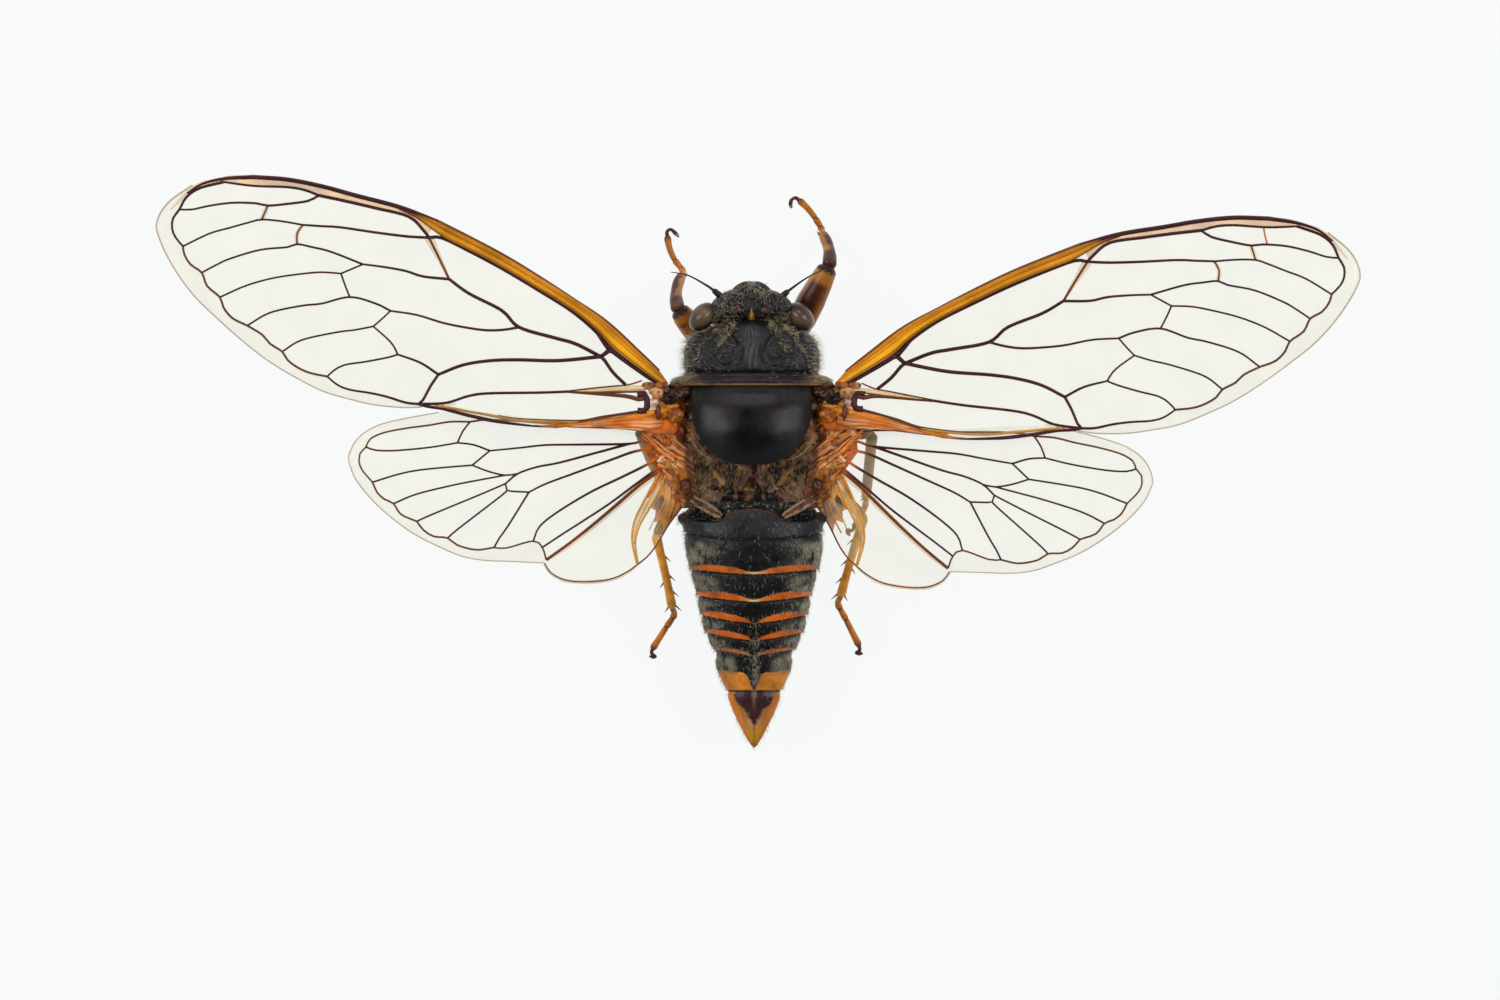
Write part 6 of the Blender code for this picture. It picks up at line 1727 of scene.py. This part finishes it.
HINGE_PLATES = (
    ((3.5, -2.76, 4.82), (0.4, 0.27, 0.24), (0.02, 0.008, 0.008)),
    ((3.2, -2.98, 4.8), (0.34, 0.22, 0.22), (0.055, 0.018, 0.01)),
    ((3.8, -2.16, 4.74), (0.3, 0.33, 0.2), (0.5, 0.17, 0.008)),
    ((3.28, -2.06, 4.8), (0.42, 0.36, 0.24), (0.42, 0.125, 0.006)),
    ((3.42, -2.44, 4.78), (0.3, 0.18, 0.18), (0.55, 0.2, 0.012)),
    ((4.12, -3.08, 4.88), (0.32, 0.24, 0.13), (0.68, 0.36, 0.14)),
    ((4.44, -3.32, 4.86), (0.28, 0.14, 0.11), (0.52, 0.23, 0.09)),
    ((4.06, -2.84, 4.88), (0.22, 0.1, 0.11), (0.56, 0.26, 0.09)),
    ((3.9, -3.34, 4.88), (0.24, 0.14, 0.15), (0.4, 0.14, 0.04)),
    ((3.72, -3.42, 4.88), (0.15, 0.12, 0.13), (0.36, 0.02, 0.012)),
    ((4.02, -3.04, 4.9), (0.1, 0.09, 0.09), (0.34, 0.035, 0.012)),
    ((3.22, -3.34, 4.8), (0.42, 0.18, 0.22), (0.1, 0.04, 0.018)),
    ((2.86, -3.16, 4.66), (0.34, 0.3, 0.3), (0.045, 0.016, 0.01)),
    ((4.16, -2.63, 4.8), (0.17, 0.27, 0.1), (0.74, 0.64, 0.52)),
    ((4.03, -2.12, 4.88), (0.09, 0.36, 0.13), (0.12, 0.03, 0.01)),
    ((4.34, -2.14, 4.78), (0.26, 0.2, 0.12), (0.6, 0.22, 0.015)),
    ((3.06, -1.3, 4.6), (0.18, 0.4, 0.2), (0.2, 0.04, 0.008)),
    ((3.66, -0.92, 4.24), (0.22, 0.24, 0.12), (0.6, 0.15, 0.012)),
    ((3.32, 0.02, 4.0), (0.26, 0.34, 0.14), (0.46, 0.19, 0.02)),
    ((3.58, 0.16, 4.0), (0.15, 0.34, 0.16), (0.46, 0.19, 0.03)),
    ((3.1, 0.52, 4.0), (0.3, 0.36, 0.15), (0.36, 0.13, 0.016)),
    ((2.86, 1.02, 4.06), (0.24, 0.32, 0.2), (0.11, 0.035, 0.01)),
)
hinge_finish = finish_of("horny wing plate", 0.28, grain=900, relief=0.4, stain=0.4, coat=0.1,
    shine=0.22)
fold_finish = finish_of("folded orange skin", 0.34, grain=1100, relief=0.5, stain=0.4, coat=0.06,
    shine=0.2)
print("hinge plates:", 2 * len(HINGE_PLATES))


# %% Lumpy plates
def hinge_plates(side, label):
    """The horny plates at one wing root, dark round their feet."""
    parts = []
    for n, (centre, radii, shade) in enumerate(HINGE_PLATES):
        grid = egg_grid((0, 0, 0), radii, 26, 32)
        bumps = mottle(grid + n, 0.3) + 0.5 * mottle(grid + n, 0.14, 2)
        grid = grid * (1 + 0.34 * bumps)[..., None]
        level = grid[..., 2] / radii[2]
        dark = layered(
            shade,
            (np.array(shade) * (0.45, 0.25, 0.15), 0.9 * fade(mottle(grid + n, 0.15, 1), -0.1, 0.35)),
            ((0.022, 0.008, 0.006), 0.85 * fade(level, 0.5, 0.05)),
        )
        grid = (grid + centre) * (side, 1, 1)
        parts.append((grid.reshape(-1, 3), ring_faces(26, 32), dark.reshape(-1, 3)))
    dress(gather(f"hinge_plates_{label}", parts), hinge_finish, "brown_cuticle")


print("plate finishes:", hinge_finish.name, "and", fold_finish.name)


# %% The folded skin between body and wings
def hinge_skin(side, label):
    """A rippled sheet whose folds run outwards and back, brown ahead and orange behind,
    with painted highlights on the crests of its folds and painted shade in their troughs.
    """
    u = np.linspace(0, 1, 110)[None, :]
    v = np.linspace(0, 1, 240)[:, None]
    y = -3.35 + 5.3 * v
    body_x = np.interp(y, [-3.3, -1.8, -0.45, 0.6, 1.7, 2.0], [2.6, 2.72, 2.6, 2.42, 2.2, 2.1])
    wing_x = np.interp(y, SKIN_EDGE_Y, SKIN_EDGE_X)
    tears = 0.16 * mottle(np.stack([0 * y, y, 0 * y], axis=-1), 0.3, 7) + 0.05 * np.sin(y * 23)
    wing_x = wing_x + tears * fade(y, -2.2, -1.9)
    body_z = np.interp(y, [-3.3, -1.9, -0.5, 1.0, 1.9], [4.5, 4.46, 4.36, 4.1, 4.0])
    wing_z = np.interp(y, [-3.3, -1.9, -1.4, -1.0, 1.9], [4.66, 4.6, 4.28, 3.86, 3.72])
    grid = np.empty((240, 110, 3))
    grid[..., 0] = body_x + (wing_x - body_x) * u
    grid[..., 1] = y + 0.34 * (u - 0.5) * fade(y, 1.6, -1.2) * fade(y, -2.9, -1.8)
    grid[..., 2] = body_z + (wing_z - body_z) * u**0.8
    gx, gy = grid[..., 0], grid[..., 1]
    crossing = gy + 0.8 * (gx - 3.3) + 0.1 * mottle(grid, 0.5)
    along = gx - 0.8 * gy
    pleats = mottle(np.stack([crossing / 0.11, along / 0.75, 0 * gx], axis=-1), 1.0, 4)
    fine = mottle(np.stack([crossing / 0.05, along / 0.5, 0 * gx + 3], axis=-1), 1.0, 5)
    ridges = 1.0 - 2.0 * abs(pleats) - 0.5 * abs(fine)
    fleshy = fade(gy, -2.2, -1.7) * fade(gy, 1.2, 0.2)
    grid[..., 2] += 0.1 * ridges * np.sin(np.pi * (0.06 + 0.88 * u)) + 0.05 * mottle(grid, 0.22, 1)
    brown = blend((0.26, 0.075, 0.008), (0.48, 0.165, 0.01), fade(mottle(grid, 0.25, 6), -0.2, 0.4))
    flesh = layered(
        (0.3, 0.055, 0.006),
        ((0.74, 0.2, 0.008), fade(ridges, -0.2, 0.55)),
        ((0.52, 0.085, 0.012), fade(mottle(grid, 0.6, 10), 0.1, 0.5) * 0.7),
        # painted highlight: peach on the crests of the folds
        ((0.86, 0.42, 0.19), fade(ridges, 0.45, 0.85) * 0.85),
        ((0.74, 0.58, 0.42), fade(mottle(grid, 0.28, 8), 0.4, 0.65) * fade(gx, 3.2, 3.7) * 0.85),
    )
    shade = layered(
        brown,
        (flesh, fleshy),
        ((0.46, 0.2, 0.05), fade(gy, 0.6, 1.4) * fade(mottle(grid, 0.35, 9), -0.3, 0.3)),
        # painted shade: dark brown in the troughs of the folds
        ((0.055, 0.014, 0.006), fade(pleats + 0.4 * fine, 0.42, 0.75) * 0.75),
        ((0.055, 0.018, 0.008), fade(gx, 2.98, 2.8) * 0.85),
    )
    grid[..., 0] *= side
    dress(sheet_grid(f"hinge_skin_{label}", grid, 0.07, shade), fold_finish, "wing")


print("folded skin from y", SKIN_EDGE_Y[0], "to", SKIN_EDGE_Y[-1], "mm")


# %% The orange fan at the fore wing's root
def root_fan(side, label):
    """A thin streaked sheet that narrows along the fore wing's hind margin, with painted highlights
    on the crests of its pleats and painted shade in their troughs.
    """
    held = (side, FORE_ROOT, FORE_AXIS, RIGHT_FORE_TURN if side < 0 else 0.0)
    route = through(spots_of(ROOT_FAN), 0.05)
    share = np.linspace(0, 1, len(route))
    aside = normed(np.gradient(route, axis=0)[:, ::-1] * (-1, 1), 0.0)
    wide = np.interp(share, [0, 0.17, 0.25, 0.47, 0.67, 0.87, 1.0],
                     [0.3, 0.38, 0.37, 0.27, 0.17, 0.09, 0.03])
    w = np.linspace(-1, 1, 36)
    flat = route[:, None] + aside[:, None] * (wide[:, None] * w)[..., None]
    grid = wing_place(flat.reshape(-1, 2), *held, 0.05).reshape(len(route), 36, 3)
    streaks = mottle(np.stack([w * 5 + 0 * share[:, None], share[:, None] * 5 + 0 * w,
        0 * flat[..., 0]], axis=-1), 1.0, 2)
    grid[..., 2] += (0.05 * streaks + 0.05 * (1 - w**2)) * fade(share, 1.0, 0.7)[:, None]
    shade = layered(
        (0.74, 0.195, 0.028),
        ((0.7, 0.23, 0.028), fade(w, 0.0, -0.7)),
        # peach: partly the fan's paler hind edge, partly a painted highlight on the crests of its
        # pleats
        ((0.84, 0.46, 0.25), fade(streaks + 0.7 * w, 0.05, 0.65)),
        # painted shade: darker red in the troughs of the pleats
        ((0.46, 0.1, 0.012), fade(streaks, -0.15, -0.5) * 0.8),
        ((0.36, 0.085, 0.01), fade(share, 0.18, 0.0)[:, None] * 0.8 + 0 * w),
    )
    dress(sheet_grid(f"root_fan_{label}", grid, 0.05, shade), fold_finish, "wing", f"forewing_{label}")


for side, label in SIDES:
    hinge_plates(side, label)
    hinge_skin(side, label)
    root_fan(side, label)
print("hinges: 2, with a fan each")

# %% [markdown]
# A pale, ridged bar crosses the hollow on each side where the abdomen starts. It is built as three
# thin tubes side by side, the middle one dark, since a single tube would look like a leg.

# %% The pale bars over the drum hollows
DRUM_TUBES = (
    (-0.13, 0.085, (0.24, 0.145, 0.08)),
    (0.0, 0.095, (0.085, 0.04, 0.022)),
    (0.13, 0.085, (0.26, 0.15, 0.07)),
)
for side, label in SIDES:
    inner = np.array([1.33 * side - 0.03, 2.34, 5.12])
    outer = np.array([2.64 * side - 0.06, 1.54, 4.7])
    parts = []
    for n, (aside, size, shade) in enumerate(DRUM_TUBES):
        shift = np.array([aside * 0.55 * side, aside * 0.85, 0.02 * n])
        middle = (inner + outer) / 2 + shift + (0, 0, 0.05)
        route = [inner + shift * 0.5, middle, outer + shift * 0.9]
        points, faces, _, _ = limb(route, [0, 0.1, 0.8, 1], [0.4 * size, size, size, 0.4 * size], 12)
        points = points + 0.03 * mottle(points, 0.13, n)[:, None]
        worn = 0.8 * fade(mottle(points, 0.14, n), 0, 0.5)
        parts.append((points, faces, blend(shade, (0.03, 0.01, 0.008), worn)))
    dress(gather(f"drum_bar_{label}", parts), leg_cuticle, "brown_cuticle", "abdomen")
print("drum bars: 2, of", len(DRUM_TUBES), "tubes each")

# %% [markdown]
# The coat comes last, sown over the finished skins. Each region has its own length and tint: gold
# on the head and in the grooves, brown-gold on the slopes beside the shield, an olive-silver
# bloom on the rings of the abdomen, and thin pale hairs that stand out along the sides.

# %% The coat's tints and its lie
GOLD = np.array([0.46, 0.32, 0.11])
SILVER = np.array([0.52, 0.49, 0.38])
OLIVE = np.array([0.22, 0.2, 0.125])


def coat(name, grid, density, count, lie, length, radius, tints, slot, lift, scatter):
    """Hair sown over a skin. Its tint is a chance mix of two, and lift and scatter tousle it."""
    normals = outwards(grid)
    place, normal, unwrap = sow(grid, normals, density, count)
    way = np.broadcast_to(np.asarray(lie(place), float), place.shape).copy()
    mix = rng.random(count)[:, None]
    tint = np.asarray(tints[0]) * (1 - mix) + np.asarray(tints[1]) * mix
    tint = tint * rng.uniform(0.55, 1.2, (count, 1))
    obj = hairs(name, place, normal, way, length, radius, tint, unwrap, lift, scatter)
    return dress(obj, hair_finish, slot)


def forwards(place, aside):
    return np.column_stack([aside * np.sign(place[:, 0]), -np.ones(len(place)), 0 * place[:, 0]])


def backwards(place):
    return np.column_stack([0.25 * np.sign(place[:, 0]), np.ones(len(place)), np.zeros(len(place))])


def outward(place):
    """Away from the middle of the shield."""
    return np.column_stack([place[:, 0], place[:, 1] + 2.2, -0.9 * np.ones(len(place))])


def sideways(place):
    ones = np.ones(len(place))
    return np.column_stack([np.sign(place[:, 0]), 0.7 * ones, -0.5 * ones])


print("ways that hair lies: forwards, backwards, outward, sideways")

# %% Sow the head and the pronotum
gx, gy, gz = xyz(head_grid)
ax = abs(gx)
density = fade(gz, 4.0, 4.6) * (0.25 + fade(mottle(head_grid, 0.3, 5), -0.1, 0.5)) * (ax > 0.28) + 0.03
density = density + 1.5 * fade(ax, 1.0, 1.5) * fade(gy, -6.5, -6.1) * fade(gz, 4.0, 4.4)
coat("coat_head", head_grid, density, 900, lambda p: forwards(p, 0.3),
     0.17, 0.01, (GOLD, SILVER), "black_cuticle", 0.5, 0.6)
gx, gy, gz = xyz(face_grid)
coat("coat_face", face_grid, fade(gz, 4.0, 4.5) + 0.06, 420, lambda p: forwards(p, 0.0),
     0.18, 0.011, (GOLD, SILVER), "black_cuticle", 0.5, 0.6)
gx, gy, gz = xyz(pronotum_grid)
density = 0.05 + 2.2 * hill(abs(gx) - 0.85 - 0.62 * (gy + 5.9), 0.0, 0.16) * fade(gy, -4.6, -5.0)
density = density + 1.6 * hill(abs(gx) - 1.62 - 0.75 * (gy + 5.7), 0.0, 0.15) * fade(gy, -4.1, -4.4)
density = density + 0.7 * fade(abs(gx), 2.2, 2.8) + 1.4 * fade(gy, -5.5, -5.8) * fade(abs(gx), 0.9, 1.3)
density = density + 0.8 * fade(gy, -3.8, -3.6) * fade(abs(gx), 2.3, 2.9)
density = density * fade(gz, 2.6, 3.6) * (abs(gx) > 0.4) * fade(gy, -3.45, -3.6)
density = density * (0.15 + fade(mottle(pronotum_grid, 0.28, 9), -0.1, 0.4))
coat("coat_pronotum", pronotum_grid, density, 2700, sideways, 0.24, 0.009, (GOLD, SILVER),
     "black_cuticle", 0.4, 0.6)
density = hill(gz, 4.1, 0.7) * fade(abs(gx), 2.0, 2.6) * fade(gy, -5.9, -5.5) * fade(gy, -3.7, -4.0)
coat("coat_pronotum_fringe", pronotum_grid, density, 420, sideways, 0.42, 0.006, (SILVER, SILVER * 1.3),
     "black_cuticle", 1.3, 0.5)
print("coat on head and pronotum sown")

# %% Sow the thorax
gx, gy, gz = xyz(notum_grid)
off_shield = fade(np.interp(gy, SHIELD_Y, SHIELD_HALF) - abs(gx), 0.05, -0.15)
density = off_shield * fade(gy, -2.6, -1.2) * (0.3 + fade(mottle(notum_grid, 0.3, 9), -0.2, 0.4))
density = density * (1 - 0.8 * hill(abs(gx), 0, 0.4) * hill(gy, 0.7, 0.3)) * fade(gy, 1.4, 1.0)
coat("coat_slopes", notum_grid, density, 3400, outward, 0.24, 0.0065,
     ((0.34, 0.19, 0.075), (0.66, 0.5, 0.25)), "black_cuticle", 0.35, 0.32)
gx, gy, gz = xyz(thorax_grid)
coat("coat_thorax_sides", thorax_grid, fade(abs(gx), 1.0, 2.6) + 0.15, 4500, backwards, 0.3, 0.013,
     (SILVER, GOLD), "brown_cuticle", 0.6, 0.5)
print("coat on the thorax sown")

# %% Sow the abdomen and the tail
gx, gy, gz = xyz(abdomen_grid)
density = bloom + 0.008 * (1 - band) * fade(gy, 2.2, 3.0)
density = density + 0.16 * hill(until, 0.07, 0.08) * (1 - band) * fade(gy, 3.2, 3.8) * on_back
density = (density + 1.2 * hill(gx - BODY_LEAN, 0.0, 0.13) * fade(gy, 8.3, 8.7) * fade(gy, 9.65, 9.4)
           * fade(gz, 3.2, 3.6))
density = density + 0.25 * hill(gx - BODY_LEAN, 0.0, 0.25) * fade(gy, 6.6, 7.6) * fade(gz, 3.2, 3.6)
density = density * (1 - 0.9 * band)
coat("coat_abdomen_bloom", abdomen_grid, density, 15000, backwards, 0.17, 0.0072,
     (OLIVE * 1.9, SILVER * 1.15), "black_cuticle", 0.18, 0.25)
density = fade(gz, waist + 0.3, waist - 0.1) * (1 + 0 * gy)
coat("coat_abdomen_sides", abdomen_grid, density + 0.12, 4200, backwards, 0.26, 0.007, (SILVER, SILVER),
     "black_cuticle", 0.55, 0.4)
coat("coat_tail", tail_grid, 0.1 + fade(tail_grid[..., 2], 2.9, 2.6), 320, backwards, 0.28, 0.006,
     (SILVER, GOLD), "orange_tail", 0.8, 0.4)

# %% [markdown]
# The insect stands on a plain pale sheet of opal glass in a light tent. The tent is dark round its
# opening at the top, where the camera looks in, and that dark patch is what the black back
# mirrors. Two soft lamps at the sides give the pale gleams beside it, which the shield's colour
# also carries as painted sheen. The camera hangs straight above with a long lens, so that the
# body's height doesn't spread its outline.

# %% The pale table
def floor_finish():
    """Opal glass that glows softly, so that shadows on it stay faint."""
    material, _, _, shader = new_material("opal table")
    shader.inputs["Base Color"].default_value = (0.05, 0.05, 0.05, 1.0)
    shader.inputs["Roughness"].default_value = 0.9
    shader.inputs["Specular IOR Level"].default_value = 0.0
    shader.inputs["Emission Color"].default_value = (0.981, 1.0, 0.991, 1.0)
    shader.inputs["Emission Strength"].default_value = 0.911
    return material


FLOOR_HALF = 400.0
corners = [(x * FLOOR_HALF, y * FLOOR_HALF, 0.0) for x, y in ((-1, -1), (1, -1), (1, 1), (-1, 1))]
floor = piece("table", corners, [(0, 1, 2, 3)])
floor.data.materials.append(floor_finish())
print("the table is", 2 * FLOOR_HALF, "mm wide")

# %% The lamps
LAMP_TARGET = Vector((0.0, 0.0, 3.0))


def lamp(name, place, size, power):
    light = bpy.data.lights.new(name, "AREA")
    light.shape = "RECTANGLE"
    light.size, light.size_y = (s * MM for s in size)
    light.energy = power
    obj = bpy.data.objects.new(name, light)
    bpy.context.scene.collection.objects.link(obj)
    obj.location = Vector(place) * MM
    obj.rotation_euler = (LAMP_TARGET - Vector(place)).to_track_quat("-Z", "Y").to_euler()
    return obj


side_lamps = [lamp(f"side lamp {s}", (s * 190, -40, 230), (120, 200), 0.38) for s in (1, -1)]
front_lamp = lamp("front lamp", (0, -230, 260), (200, 100), 0.22)
print("lamps:", len(side_lamps) + 1)

# %% The light tent, dark round its opening
world = bpy.data.worlds.new("light tent")
bpy.context.scene.world = world
world.use_nodes = True
nodes, links = world.node_tree.nodes, world.node_tree.links
toward_sky = nodes.new("ShaderNodeTexCoord")
parts_of_way = nodes.new("ShaderNodeSeparateXYZ")
links.new(toward_sky.outputs["Generated"], parts_of_way.inputs["Vector"])
opening = mapped(nodes, links, parts_of_way.outputs["Z"], 0.42, 0.015, 0.54, 0.8)
nodes["Background"].inputs["Color"].default_value = (0.975, 0.99, 1.0, 1.0)
links.new(opening, nodes["Background"].inputs["Strength"])
print("tent nodes:", len(nodes))

# %% The camera
PHOTO_WIDTH = 64.8
VIEW_CENTRE = (0.065, 1.62)
LENS = 200.0
SENSOR = 36.0
CAMERA_HEIGHT = 5.0 + PHOTO_WIDTH * LENS / SENSOR
camera_data = bpy.data.cameras.new("camera")
camera_data.lens = LENS
camera_data.sensor_width = SENSOR
camera_data.clip_start = 0.01
camera_data.clip_end = 10.0
camera = bpy.data.objects.new("camera", camera_data)
camera.location = (VIEW_CENTRE[0] * MM, VIEW_CENTRE[1] * MM, CAMERA_HEIGHT * MM)
camera.rotation_euler = (0.0, 0.0, math.pi)
bpy.context.scene.collection.objects.link(camera)
bpy.context.scene.camera = camera
bpy.context.scene.view_settings.view_transform = "Standard"
print("camera", round(CAMERA_HEIGHT), "mm above the floor")
